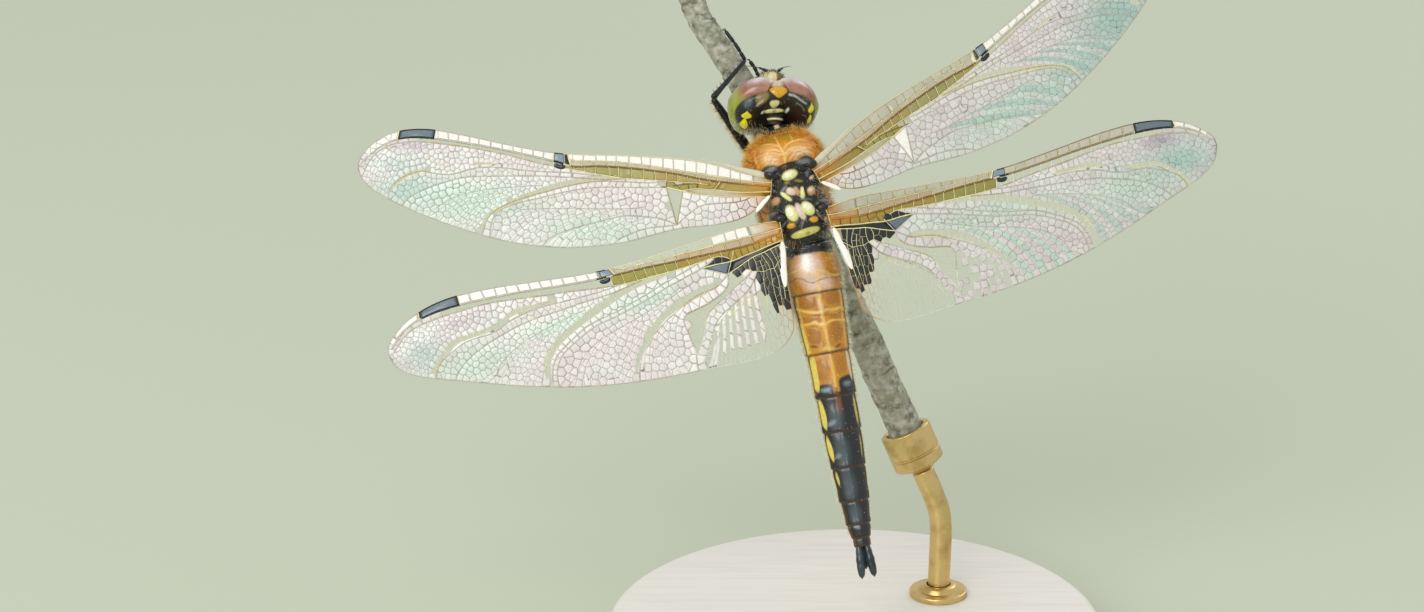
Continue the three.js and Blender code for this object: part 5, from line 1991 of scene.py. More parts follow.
def sphere(columns: int, rows: int) -> tuple[Values, list[Face]]:
    """A unit sphere with its poles on Y: its corners and faces."""
    polar = np.linspace(0, math.pi, rows + 1)[1:-1]
    angle = np.linspace(0, 2 * math.pi, columns, endpoint=False)
    ring = np.stack([np.cos(angle), np.zeros(columns), np.sin(angle)], -1)
    body = np.sin(polar)[:, None, None] * ring[None]
    body = body + np.cos(polar)[:, None, None] * np.array([0, 1.0, 0])
    points = np.concatenate([body.reshape(-1, 3), [[0, 1, 0], [0, -1, 0]]])
    faces = grid_faces(rows - 1, columns, capped=False)
    top, bottom, last = (rows - 1) * columns, (rows - 1) * columns + 1, (rows - 2) * columns
    for j in range(columns):
        k = (j + 1) % columns
        faces.append((top, k, j))
        faces.append((bottom, last + j, last + k))
    return points, faces


def through(points: Sequence[Point], step: float) -> Values:
    """A centripetal curve through points in space, read at even distances of about one step."""
    knots = np.asarray(points, float)
    knots = np.concatenate([[2 * knots[0] - knots[1]], knots, [2 * knots[-1] - knots[-2]]])
    dense = []
    for p0, p1, p2, p3 in zip(knots, knots[1:], knots[2:], knots[3:]):
        spans = ((p0, p1), (p1, p2), (p2, p3))
        a, b, c = (max(float(np.linalg.norm(q - p)) ** 0.5, 1e-4) for p, q in spans)
        leave = ((p1 - p0) / a - (p2 - p0) / (a + b) + (p2 - p1) / b) * b
        arrive = ((p2 - p1) / b - (p3 - p1) / (b + c) + (p3 - p2) / c) * b
        s = np.linspace(0, 1, 40, endpoint=False)[:, None]
        cubic = (2 * p1 - 2 * p2 + leave + arrive) * s**3 + (3 * p2 - 3 * p1 - 2 * leave - arrive) * s**2
        dense.append(cubic + leave * s + p1)
    dense = np.concatenate([*dense, knots[-2:-1]])
    along = np.r_[0, np.cumsum(np.linalg.norm(np.diff(dense, axis=0), axis=1))]
    places = np.linspace(0, along[-1], max(2, round(along[-1] / step) + 1))
    return np.stack([np.interp(places, along, column) for column in dense.T], -1)


@dataclass(frozen=True)
class Patch:
    """A plate, boss or pit seen from above: a turned ellipse with a lift and a colour."""

    tone: str
    x: float
    y: float
    long: float
    wide: float
    turn: float = 0.0
    lift: float = 0.0
    edge: float = 0.2
    amount: float = 1.0
    corner: float = 2.0
    taper: float = 0.0

    def distance(self, x: Values, y: Values) -> Values:
        """How far places are from the middle, with 1 at the rim."""
        turn = math.radians(self.turn)
        u = ((x - self.x) * math.cos(turn) + (y - self.y) * math.sin(turn)) / self.long
        v = ((y - self.y) * math.cos(turn) - (x - self.x) * math.sin(turn)) / self.wide
        v = v / np.clip(1 - self.taper * u, 0.1, 2)
        return (np.abs(u) ** self.corner + np.abs(v) ** self.corner) ** (1 / self.corner)

    def cover(self, x: Values, y: Values) -> Values:
        """1 inside the patch, fading to 0 past its rim."""
        return 1 - smooth(self.distance(x, y), 1 - self.edge, 1 + self.edge)

    def height(self, x: Values, y: Values) -> Values:
        """The lift of the plate: a low dome with a fine groove round it."""
        far = self.distance(x, y)
        dome = np.sqrt(np.clip(1 - far**2, 0, 1))
        groove = np.exp(-(((far - 1.06) / 0.12) ** 2))
        return self.lift * dome - 0.12 * abs(self.lift) * groove


@dataclass(frozen=True)
class Seam:
    """A fine line along a curve, seen from above, with a lift and a colour."""

    tone: str
    points: Route
    width: float = 0.055
    lift: float = 0.03
    amount: float = 0.85

    def cover(self, x: Values, y: Values) -> Values:
        """1 on the line, fading away from it."""
        path = even_spline(self.points, 0.07)
        far = np.full(len(x), np.inf)
        for place in path:
            far = np.minimum(far, np.hypot(x - place[0], y - place[1]))
        return np.exp(-((far / self.width) ** 2))

    def height(self, x: Values, y: Values) -> Values:
        """The lift of the line."""
        return self.lift * self.cover(x, y)


def lay(tones: dict[str, Values], name: str, cover: Values) -> None:
    """Lays one tone over the others, which keep what it leaves."""
    for other in tones:
        tones[other] = tones[other] * (1 - cover)
    tones[name] = tones[name] + cover


def layered(tones: dict[str, Values]) -> dict[str, Values]:
    """Turns the shares of tones into masks for mixing them one after another."""
    left = 1.0
    masks = {}
    for name in reversed(tones):
        masks[name] = np.clip(tones[name] / np.maximum(left, 1e-3), 0, 1)
        left = left - tones[name]
    return masks


def paint_marks(
    marks: Iterable[Patch | Seam], x: Values, y: Values, within: Values, tones: dict[str, Values]
) -> Values:
    """Lays marks over each other in turn.

    Args:
        marks: The patches and seams, the last on top.
        x: Places across.
        y: Places along.
        within: 1 where marks show, 0 where they don't.
        tones: The colour masks, which are changed.

    Returns:
        The height of all marks together.
    """
    height = np.zeros(len(x))
    for mark in marks:
        cover = mark.cover(x, y) * within * mark.amount
        lay(tones, mark.tone, cover)
        settle = 0.5 * cover if isinstance(mark, Patch) and mark.lift else 0
        height = height * (1 - settle) + mark.height(x, y) * within
    return height


class Coat:
    """Fine hairs over skins, grown in one local frame and joined as one mesh."""

    PATCH = 0.003
    SIDES = 3
    HAIR = ((0, 1, 4, 3), (1, 2, 5, 4), (2, 0, 3, 5), (3, 4, 6), (4, 5, 6), (5, 3, 6), (2, 1, 0))
    TIPS = (0, 0, 0, 0.6, 0.6, 0.6, 1)

    def __init__(self, name: str, local: Frame, seed: int) -> None:
        """Starts with no hairs.

        Args:
            name: The piece's name.
            local: The frame that the skins are in.
            seed: The start of its random draws.
        """
        self.name = name
        self.local = local
        self.draw = np.random.default_rng(seed)
        self.shape = Shape()
        self.unwrapped: list[Values] = []

    def roots(self, grid: Values, weight: Values, count: int) -> tuple[Values, Values, Values]:
        """Random places on a grid of rings.

        Args:
            grid: Rings of points on the skin.
            weight: How likely hair is at each of them.
            count: How many places to draw.

        Returns:
            The places, the outward directions there, and their place on the skin's unwrap.
        """
        rings, sides = grid.shape[:2]
        around = np.linalg.norm(np.roll(grid, -1, 1) - grid, axis=2)
        along = np.linalg.norm(np.gradient(grid, axis=0), axis=2)
        chance = (np.clip(weight, 0, None) * around * along)[:-1].ravel()
        picks = self.draw.choice(len(chance), count, p=chance / chance.sum())
        i, j = np.divmod(picks, sides)
        u, v = self.draw.random((2, count, 1))
        near = mix(grid[i, j], grid[i, (j + 1) % sides], u)
        far = mix(grid[i + 1, j], grid[i + 1, (j + 1) % sides], u)
        normals = surface_normals(grid)[i, j]
        unwrap = np.column_stack([(j + u[:, 0]) / sides, (i + v[:, 0]) / (rings - 1)])
        return mix(near, far, v), normals, unwrap

    def grow(
        self,
        rooted: tuple[Values, Values, Values],
        lie: Values,
        length: Values,
        rise: Values,
        spread: float,
        girth: float,
    ) -> None:
        """Grows one hair on each root.

        Args:
            rooted: The places, outward directions and unwrapped places.
            lie: The direction in which hair lies down.
            length: The hairs' length.
            rise: How far they stand out, from 0 to 1.
            spread: How much they stray.
            girth: Half the width at the root.
        """
        places, normals, unwrap = rooted
        count = len(places)
        lie = np.broadcast_to(np.asarray(lie, float), (count, 3))
        rise = np.broadcast_to(np.asarray(rise, float), (count,))[:, None]
        way = normals * rise + lie * (1 - rise) + self.draw.normal(0, spread, (count, 3))
        way /= np.linalg.norm(way, axis=1, keepdims=True)
        reach = np.broadcast_to(length, (count,))[:, None] * self.draw.uniform(0.55, 1.2, (count, 1))
        across = np.cross(way, self.draw.normal(0, 1, (count, 3)))
        across /= np.linalg.norm(across, axis=1, keepdims=True)
        other = np.cross(way, across)
        turn = np.arange(self.SIDES) * 2 * math.pi / self.SIDES
        ring = np.cos(turn)[None, :, None] * across[:, None] + np.sin(turn)[None, :, None] * other[:, None]
        middle = places + way * reach * 0.5
        tip = middle + (way * 0.8 + lie * 0.3) * reach * 0.5
        start = (places - normals * 0.03)[:, None] + ring * girth
        points = np.concatenate([start, middle[:, None] + ring * girth * 0.7, tip[:, None]], 1)
        each = len(self.TIPS)
        faces = [tuple(each * k + corner for corner in face) for k in range(count) for face in self.HAIR]
        shade = np.repeat(self.draw.random(count), each)
        self.shape.add(points.reshape(-1, 3), faces, tip=np.tile(self.TIPS, count), shade=shade)
        offset = np.column_stack([np.cos(turn), np.sin(turn)]) * self.PATCH / 2
        offset = np.concatenate([offset, offset * 0.6, np.zeros((1, 2))])
        flat = mix(self.PATCH, 1 - self.PATCH, unwrap)
        self.unwrapped.append((flat[:, None] + offset[None]).reshape(-1, 2))

    def build(self, finish: Finish, slot: Slot) -> None:
        """Joins the hairs as one piece, with the unwrap of their roots as its bake map."""
        piece = self.shape.build(self.name, self.local, finish.material())
        flat = np.concatenate(self.unwrapped)
        corners = np.empty(len(piece.data.loops), np.int32)
        piece.data.loops.foreach_get("vertex_index", corners)
        layer = piece.data.uv_layers.new(name="OFBake")
        layer.data.foreach_set("uv", flat[corners].astype(np.float32).ravel())
        install(piece, slot)


def superellipse(
    half: Values, top: Values, bottom: Values, angle: Values, wall: float, roof: float, floor: float
) -> tuple[Values, Values]:
    """Rings whose upper and lower halves have their own squareness.

    Args:
        half: Half the width of each ring.
        top: Its highest point.
        bottom: Its lowest point.
        angle: Places round it.
        wall: The squareness of its sides, 1 for an ellipse and less for a box.
        roof: The squareness of its upper half.
        floor: The squareness of its lower half.

    Returns:
        The places across, and the places up.
    """
    across, upward = np.cos(angle), np.sin(angle)
    middle = (top + bottom) / 2
    rise = np.where(upward > 0, top - middle, middle - bottom)
    power = np.where(upward > 0, roof, floor)
    return (
        half * np.sign(across) * np.abs(across) ** wall,
        middle + rise * np.sign(upward) * np.abs(upward) ** power,
    )


def surface_normals(grid: Values) -> Values:
    """Outward directions on a grid of rings."""
    around = np.roll(grid, -1, 1) - np.roll(grid, 1, 1)
    along = np.gradient(grid, axis=0)
    normal = np.cross(around, along)
    normal /= np.linalg.norm(normal, axis=2, keepdims=True) + 1e-9
    centre = grid.mean(1, keepdims=True)
    facing = np.sign(((grid - centre) * normal).sum(2, keepdims=True).mean())
    return normal * facing


# ---- Thorax -----------------------------------------------------------------------------------
THORAX_MARKS: tuple[Patch | Seam, ...] = (
    Patch("gold", -1.1, 5.05, 1.0, 0.45, 8, 0.0, 0.5, 0.9),
    Patch("gold", 0.45, 4.95, 0.85, 0.45, -8, 0.0, 0.5, 0.9),
    # painted highlights: the pink-beige light and bright patches where the light falls on the front of the
    # back
    Patch("light", -1.45, 3.5, 0.95, 1.0, 20, 0.04, 0.6, 0.85),
    Patch("light", 0.95, 3.3, 1.15, 0.72, -14, 0.04, 0.6, 0.9),
    Patch("bright", -1.55, 3.2, 0.45, 0.55, 30, 0.0, 0.7, 0.6),
    Patch("bright", 1.2, 3.3, 0.7, 0.3, -16, 0.0, 0.7, 0.7),
    Seam("pale", ((-2.3, 4.9), (-1.5, 5.28), (-0.5, 5.36), (0.5, 5.34), (1.5, 5.1)), 0.07),
    Seam("pale", ((-0.48, 5.1), (-0.46, 4.4), (-0.36, 3.7), (-0.32, 3.1), (-0.42, 2.6)), 0.07, 0.06),
    Seam("pale", ((-2.15, 4.6), (-1.5, 4.68), (-0.95, 4.55), (-0.55, 4.25), (-0.38, 3.8))),
    Seam("pale", ((-0.38, 3.75), (-0.05, 4.0), (0.3, 4.22), (0.85, 4.34), (1.6, 4.3), (2.2, 4.0))),
    Seam("pale", ((0.72, 4.3), (0.82, 4.6), (0.8, 4.95)), 0.05),
    Seam("pale", ((-0.4, 3.5), (-0.8, 3.98), (-1.3, 4.05), (-1.75, 3.75), (-1.95, 3.2))),
    Seam("pale", ((-0.3, 3.3), (0.1, 3.66), (0.6, 3.78), (1.2, 3.7), (1.8, 3.3)), 0.06),
    Seam("pale", ((-2.35, 4.4), (-2.62, 3.7), (-2.55, 2.9))),
    Seam("dim", ((-0.5, 3.1), (-0.95, 3.4), (-1.35, 3.35), (-1.6, 2.95)), 0.05, -0.03, 0.5),
    Seam("dim", ((-0.55, 2.7), (-0.9, 3.0), (-1.2, 3.0), (-1.35, 2.75)), 0.05, -0.03, 0.5),
    Seam("dim", ((0.0, 3.05), (0.5, 3.35), (1.1, 3.3), (1.55, 2.95)), 0.05, -0.03, 0.6),
    Seam("dim", ((0.3, 2.8), (0.7, 3.02), (1.1, 2.95)), 0.05, -0.03, 0.6),
    Patch("black", -0.1, -1.05, 2.75, 3.25, 0, -0.06, 0.1, 1.0, 3.2),
    Patch("black", -0.3, 2.35, 1.25, 0.34, 5, -0.08, 0.25),
    Patch("brown", -0.55, 2.35, 0.3, 0.14, 10, 0.04, 0.4),
    Patch("black", -1.72, 2.2, 0.86, 0.66, -12, 0.28),
    Patch("black", 1.3, 2.25, 0.84, 0.68, 8, 0.3),
    # painted highlights: grey gloss on the black hinge bosses
    Patch("gloss", -1.72, 2.42, 0.5, 0.24, 18, 0.1, 0.5, 0.8),
    Patch("gloss", 1.22, 2.42, 0.46, 0.26, -12, 0.1, 0.5, 0.8),
    Patch("black", -1.6, 2.12, 0.4, 0.12, 15, -0.05, 0.4),
    Patch("black", 1.3, 2.1, 0.4, 0.13, -8, -0.05, 0.4),
    Patch("cream", -0.25, 1.6, 0.72, 0.43, 8, 0.3, 0.12),
    Patch("whitish", -0.38, 1.72, 0.42, 0.22, 8, 0.0, 0.6, 0.7),
    Patch("olive", -0.62, 1.02, 0.26, 0.14, 20, 0.06, 0.4),
    Patch("olive", 0.42, 0.92, 0.34, 0.13, -20, 0.06, 0.4),
    # painted highlights: grey gloss on the small plates
    Patch("gloss", -2.05, 1.15, 0.3, 0.17, 20, 0.14, 0.3),
    Patch("gloss", -2.0, 0.72, 0.26, 0.13, -20, 0.1, 0.3, 0.7),
    Patch("beige", 1.62, 0.95, 0.26, 0.15, 30, 0.12, 0.3),
    Patch("gloss", 1.3, 1.4, 0.16, 0.32, -10, 0.08, 0.3, 0.7),
    Patch("gloss", -1.05, 0.55, 0.42, 0.14, 35, 0.1, 0.3),
    Patch("blush", -0.48, 0.22, 0.44, 0.32, -30, 0.16, 0.2, 1.0, 2.6),
    Patch("tan", 0.02, 0.12, 0.22, 0.42, 10, 0.08, 0.3),
    Patch("cream", -0.98, -0.1, 0.58, 0.19, -52, 0.18, 0.15, 1.0, 2.6),
    Patch("cream", 0.46, -0.12, 0.52, 0.19, 80, 0.18, 0.15, 1.0, 2.6, 0.3),
    Patch("tan", 1.28, -0.15, 0.42, 0.36, 60, 0.2, 0.2),
    # painted highlight on the tan bulge
    Patch("blush", 1.2, 0.0, 0.2, 0.13, 30, 0.04, 0.5),
    Patch("brown", 1.68, -0.35, 0.16, 0.4, 10, 0.08, 0.3),
    Patch("tan", -1.9, -0.25, 0.36, 0.32, 40, 0.16, 0.25),
    Patch("tan", -2.5, 0.05, 0.3, 0.42, 20, 0.08, 0.4, 0.7),
    Patch("tan", 2.55, -0.25, 0.3, 0.5, -20, 0.08, 0.4, 0.7),
    # painted highlight
    Patch("gloss", 0.62, -0.75, 0.5, 0.09, -10, 0.06, 0.4, 0.6),
    Patch("black", -2.38, -1.5, 0.7, 0.58, 15, 0.3),
    Patch("black", 2.15, -1.5, 0.72, 0.58, -15, 0.3),
    # painted highlights on the rear bosses
    Patch("gloss", -2.42, -1.3, 0.42, 0.2, 25, 0.1, 0.5, 0.7),
    Patch("gloss", 2.1, -1.3, 0.42, 0.2, -25, 0.1, 0.5, 0.7),
    # painted highlight
    Patch("blush", 1.55, -2.0, 0.3, 0.12, -30, 0.1, 0.3, 0.8),
    Patch("cream", -0.86, -1.62, 0.52, 0.76, 14, 0.36, 0.1),
    Patch("whitish", -0.98, -1.4, 0.26, 0.42, 14, 0.0, 0.7, 0.8),
    Patch("blush", -0.1, -1.66, 0.34, 0.82, 14, 0.32, 0.12),
    Patch("cream", 0.6, -1.56, 0.5, 0.7, 30, 0.36, 0.1),
    Patch("whitish", 0.52, -1.3, 0.28, 0.36, 30, 0.0, 0.7, 0.6),
    Patch("amber", -1.18, -2.62, 0.36, 0.26, 5, 0.16, 0.2),
    Patch("amber", 0.88, -2.58, 0.38, 0.28, -8, 0.16, 0.2),
    # painted highlights: thin grey gloss streaks on the plates
    Patch("gloss", -0.2, -2.75, 0.42, 0.1, 55, 0.08, 0.3, 0.7),
    Patch("gloss", 1.5, -2.45, 0.5, 0.1, -60, 0.08, 0.3, 0.7),
    Patch("gloss", -1.75, -2.35, 0.5, 0.1, 50, 0.08, 0.3, 0.7),
    Patch("beige", -2.25, -2.9, 0.34, 0.2, 25, 0.14, 0.3),
    Patch("beige", 2.1, -2.85, 0.32, 0.2, -30, 0.14, 0.3),
    Patch("crescent", -0.1, -3.5, 1.28, 0.34, 3, 0.16, 0.12, 1.0, 2.4),
    Patch("olive", 0.05, -3.55, 0.2, 0.12, 3, 0.0, 0.7, 0.6),
)
THORAX_TONES = {
    "gold": "#ac861a",
    # light and bright are painted highlights
    "light": "#dfae6a",
    "bright": "#efd0a8",
    "pale": "#f4d07a",
    "dim": "#a8733a",
    "tan": "#c79a68",
    "brown": "#5a3516",
    "black": "#120e0a",
    "olive": "#82701f",
    # gloss is a painted highlight
    "gloss": "#77787a",
    "beige": "#d2bf94",
    # blush paints pink plates, and in two small spots a painted highlight
    "blush": "#ddc9b8",
    "cream": "#e3e29a",
    "whitish": "#f3f2d8",
    "amber": "#cf9a1c",
    "crescent": "#c5bd62",
    "suture": "#2a1c0a",
    "flank": "#cf8d1e",
}
THORAX_FINISH = HardFinish(
    "thorax cuticle",
    roughness=0.42,
    coat=0.2,
    base="#dc920f",
    dark="#c27a08",
    patches=tuple(THORAX_TONES.items()),
)


@dataclass(frozen=True)
class Thorax:
    """The box that carries the wings and legs, its back plates, the first ring and the neck."""

    rear: float = -4.35
    front: float = 5.45
    skin_depth: float = 0.04
    rings_along: tuple[tuple[float, ...], ...] = (
        (0.0, 1.7, 1.5, -1.9),
        (0.06, 2.3, 1.95, -2.5),
        (0.2, 2.85, 2.2, -3.6),
        (0.38, 3.15, 2.35, -4.7),
        (0.56, 3.3, 2.55, -5.3),
        (0.7, 3.35, 2.95, -5.35),
        (0.8, 3.3, 3.05, -5.1),
        (0.9, 2.75, 2.45, -3.9),
        (0.97, 1.95, 1.5, -2.0),
        (1.0, 1.1, 0.8, -0.9),
    )
    count_along: int = 220
    count_around: int = 240
    pile: int = 6000
    tufts: int = 2000
    hinges: tuple[Point, ...] = ((1.75, 2.1, 2.25), (1.85, -1.75, 1.8))
    legs: tuple[Point, ...] = ((1.05, 4.2, -4.1), (1.7, 3.7, -5.1), (1.9, 1.7, -5.35))

    def section(self, t: Values) -> tuple[Values, Values, Values]:
        """Half width, top and bottom at places from the rear (0) to the front (1)."""
        table = np.array(self.rings_along)
        return tuple(np.interp(t, table[:, 0], table[:, k]) for k in (1, 2, 3))

    def skin(self, t: Values, angle: Values) -> Values:
        """Points of the plain skin, as a grid of rings."""
        depths = (self.skin_depth, self.skin_depth, -self.skin_depth)
        half, top, bottom = (side[:, None] - depth for side, depth in zip(self.section(t), depths))
        x, z = superellipse(half, top, bottom, angle[None], 0.9, 0.95, 1.0)
        y = np.broadcast_to(mix(self.rear + 0.05, self.front - 0.05, t)[:, None], x.shape)
        return np.stack([x, y, z], -1)

    def build(self) -> None:
        """Builds the thorax with its first ring, and the neck's pale plates."""
        shape = Shape()
        t = 0.5 - 0.5 * np.cos(np.linspace(0.02, math.pi - 0.02, self.count_along))
        t = mix(t, np.linspace(0, 1, self.count_along), 0.6)
        angle = np.linspace(0, 2 * math.pi, self.count_around, endpoint=False)
        plain = self.skin(t, angle)
        points = plain.reshape(-1, 3)
        x, y, z = points.T
        tones = {name: np.zeros(len(points)) for name in THORAX_TONES}
        above = smooth(z, 0.2, 1.2)
        height = paint_marks(THORAX_MARKS, x, y, above, tones)
        height += self.shoulder_folds(x, y) * above
        lay(tones, "flank", (1 - smooth(z, -0.6, 1.0)) * (1 - smooth(y, 3.0, 4.4)) * 0.85)
        lay(tones, "black", (1 - smooth(y, -3.75, -3.45)) * (1 - tones["crescent"]))
        groove = self.sutures(x, y, z)
        lay(tones, "suture", groove)
        height -= 0.09 * groove
        height += 0.02 * value_noise(points, 0.35, 11)
        normals = surface_normals(plain).reshape(-1, 3)
        skin = points + normals * height[:, None]
        shape.add(skin, grid_faces(*plain.shape[:2]), **layered(tones))
        self.add_extras(shape)
        shape.install("thorax_shell", FRAMES["body"], THORAX_FINISH, Slot.THORAX, "thorax", "prothorax")
        self.add_neck()
        bare = sum(tones[name] for name in ("black", "cream", "gloss", "crescent", "blush", "amber"))
        self.add_hair(skin.reshape(plain.shape), bare.reshape(plain.shape[:2]))

    def add_hair(self, skin: Values, bare: Values) -> None:
        """The golden pile of the shoulders and flanks, and short pale tufts between the wings.

        Args:
            skin: Rings of points on the shell.
            bare: 1 on the smooth plates, 0 on the hairy skin.
        """
        y, z = skin[..., 1], skin[..., 2]
        low = 1 - smooth(z, 0.9, 2.3)
        ahead = smooth(y, 4.2, 5.2)
        shoulders = smooth(y, 1.6, 2.6)
        pile = Coat("thorax_pile", FRAMES["body"], 61)
        thick = 0.1 * shoulders + low * (0.25 + 0.75 * shoulders) + 0.25 * ahead
        rooted = pile.roots(skin, thick * (1 - 0.8 * np.clip(bare, 0, 1)), self.pile)
        lower = 1 - smooth(rooted[0][:, 2], 1.2, 2.4)
        front = smooth(rooted[0][:, 1], 4.2, 5.2)
        length = 0.3 + 0.55 * np.maximum(lower, front)
        pile.grow(rooted, (0, -1, 0.1), length, 0.55 + 0.3 * np.maximum(lower, front), 0.22, 0.011)
        pile.build(HairFinish("thorax hair", roughness=0.6, specular=0.2), Slot.THORAX)
        tufts = Coat("thorax_tufts", FRAMES["body"], 62)
        edge = smooth(np.abs(skin[..., 0]), 1.2, 2.4) * smooth(z, 0.3, 1.0)
        thick = (0.15 + edge) * (1 - shoulders)
        rooted = tufts.roots(skin, thick * (1 - 0.6 * np.clip(bare, 0, 1)), self.tufts)
        tufts.grow(rooted, (0, -1, 0.2), 0.36, 0.7, 0.3, 0.013)
        tufts.build(HairFinish("tuft hair", roughness=0.5, root="#b08a4c", tip="#f6ecd0"), Slot.THORAX)

    @staticmethod
    def shoulder_folds(x: Values, y: Values) -> Values:
        """Fine nested folds on the shoulders, ahead of the forewings."""
        folds = np.zeros(len(x))
        for side, centre in ((-1, (-1.75, 2.3)), (1, (1.4, 2.2))):
            far = np.hypot(x - centre[0], (y - centre[1]) * 1.1)
            band = smooth(far, 0.75, 0.95) * (1 - smooth(far, 2.1, 2.6))
            within = band * (y > centre[1] - 0.1) * (x * side > -0.15)
            folds += within * 0.035 * np.cos(far * 2 * math.pi / 0.36)
        return folds

    @staticmethod
    def sutures(x: Values, y: Values, z: Values) -> Values:
        """The dark seams between the plates of the flanks."""
        low = 1 - smooth(z, 0.8, 1.6)
        groove = np.zeros(len(x))
        seams = ((3.6, 0.22, 0.11), (1.35, 0.32, 0.09), (-0.9, 0.42, 0.11), (-2.9, 0.3, 0.07))
        for start, slope, depth in seams:
            groove = np.maximum(groove, np.exp(-(((y - start - slope * (-z)) / depth) ** 2)))
        return groove * low * smooth(np.abs(x), 0.8, 1.6)

    def add_extras(self, shape: Shape) -> None:
        """The hinge bosses, the stubs of the legs and the first ring."""
        unit, faces = sphere(32, 20)
        for side in (-1, 1):
            for hinge in self.hinges:
                boss = Lump((hinge[0] * side, hinge[1], hinge[2] - 0.1), 0.6, 0.46, 0.5)
                shape.add(boss.place(unit), faces, black=1.0)
            for root in self.legs:
                top = np.array([0.85 * root[0] * side, root[1], root[2] + 1.0])
                end = np.array([root[0] * side, root[1] + 0.1, root[2] - 0.72])
                path = top + (end - top) * np.linspace(0, 1, 12)[:, None]
                radii = mix(
                    0.62, 0.5, np.linspace(0, 1, 12),
                ) * np.minimum(1, np.linspace(6, 0.25, 12)) ** 0.5
                points, sleeve = tube(path, radii, 20)
                shape.add(points, sleeve, black=0.85)
        waist = Lump((0.05, -4.38, -0.15), 1.75, 0.4, 1.5, down=1.7)
        unit, faces = sphere(48, 24)
        shape.add(waist.place(unit), faces, black=1.0)
        ring = Lump((0, 5.6, -0.05), 1.27, 0.58, 0.97, back=0.8, down=0.92)
        unit, faces = sphere(48, 32)
        points = ring.place(unit)
        ridge = 0.05 * np.cos(points[:, 1] * 9) * smooth(points[:, 2], 0, 0.6)
        plates = smooth(np.cos(points[:, 0] * 5.5), 0.2, 0.7) * smooth(points[:, 1], 5.75, 5.9)
        plates = plates * smooth(points[:, 2], 0.2, 0.5)
        shape.add(points + unit * ridge[:, None], faces, black=1.0 - plates, beige=plates)

    def add_neck(self) -> None:
        """The soft neck with its stacked pale plates."""
        start = np.array([0, -0.62, -0.3])
        end = FRAMES["body"].of(FRAMES["head"], [(0, 6.22, -0.5)])[0]
        path = start + (end - start) * np.linspace(0, 1, 60)[:, None]
        t = np.linspace(0, 1, 60)
        radii = mix(0.78, 0.58, t) * (1 + 0.07 * np.cos(t * 4 * math.pi))
        shape = Shape()
        points, faces = tube(path, radii, 40)
        bow = 0.04 * np.cos(np.linspace(0, 4 * math.pi, 40, endpoint=False))
        band = np.exp(-(((t[:, None] + bow - 0.5) / 0.09) ** 2))
        shape.add(points, faces, cream=band.ravel())
        finish = HardFinish(
            "neck cuticle", roughness=0.5, base="#3a2d18", dark="#191208", patches=(("cream", "#e6dfae"),),
        )
        shape.install("neck_plates", FRAMES["head"], finish, Slot.THORAX, "neck")


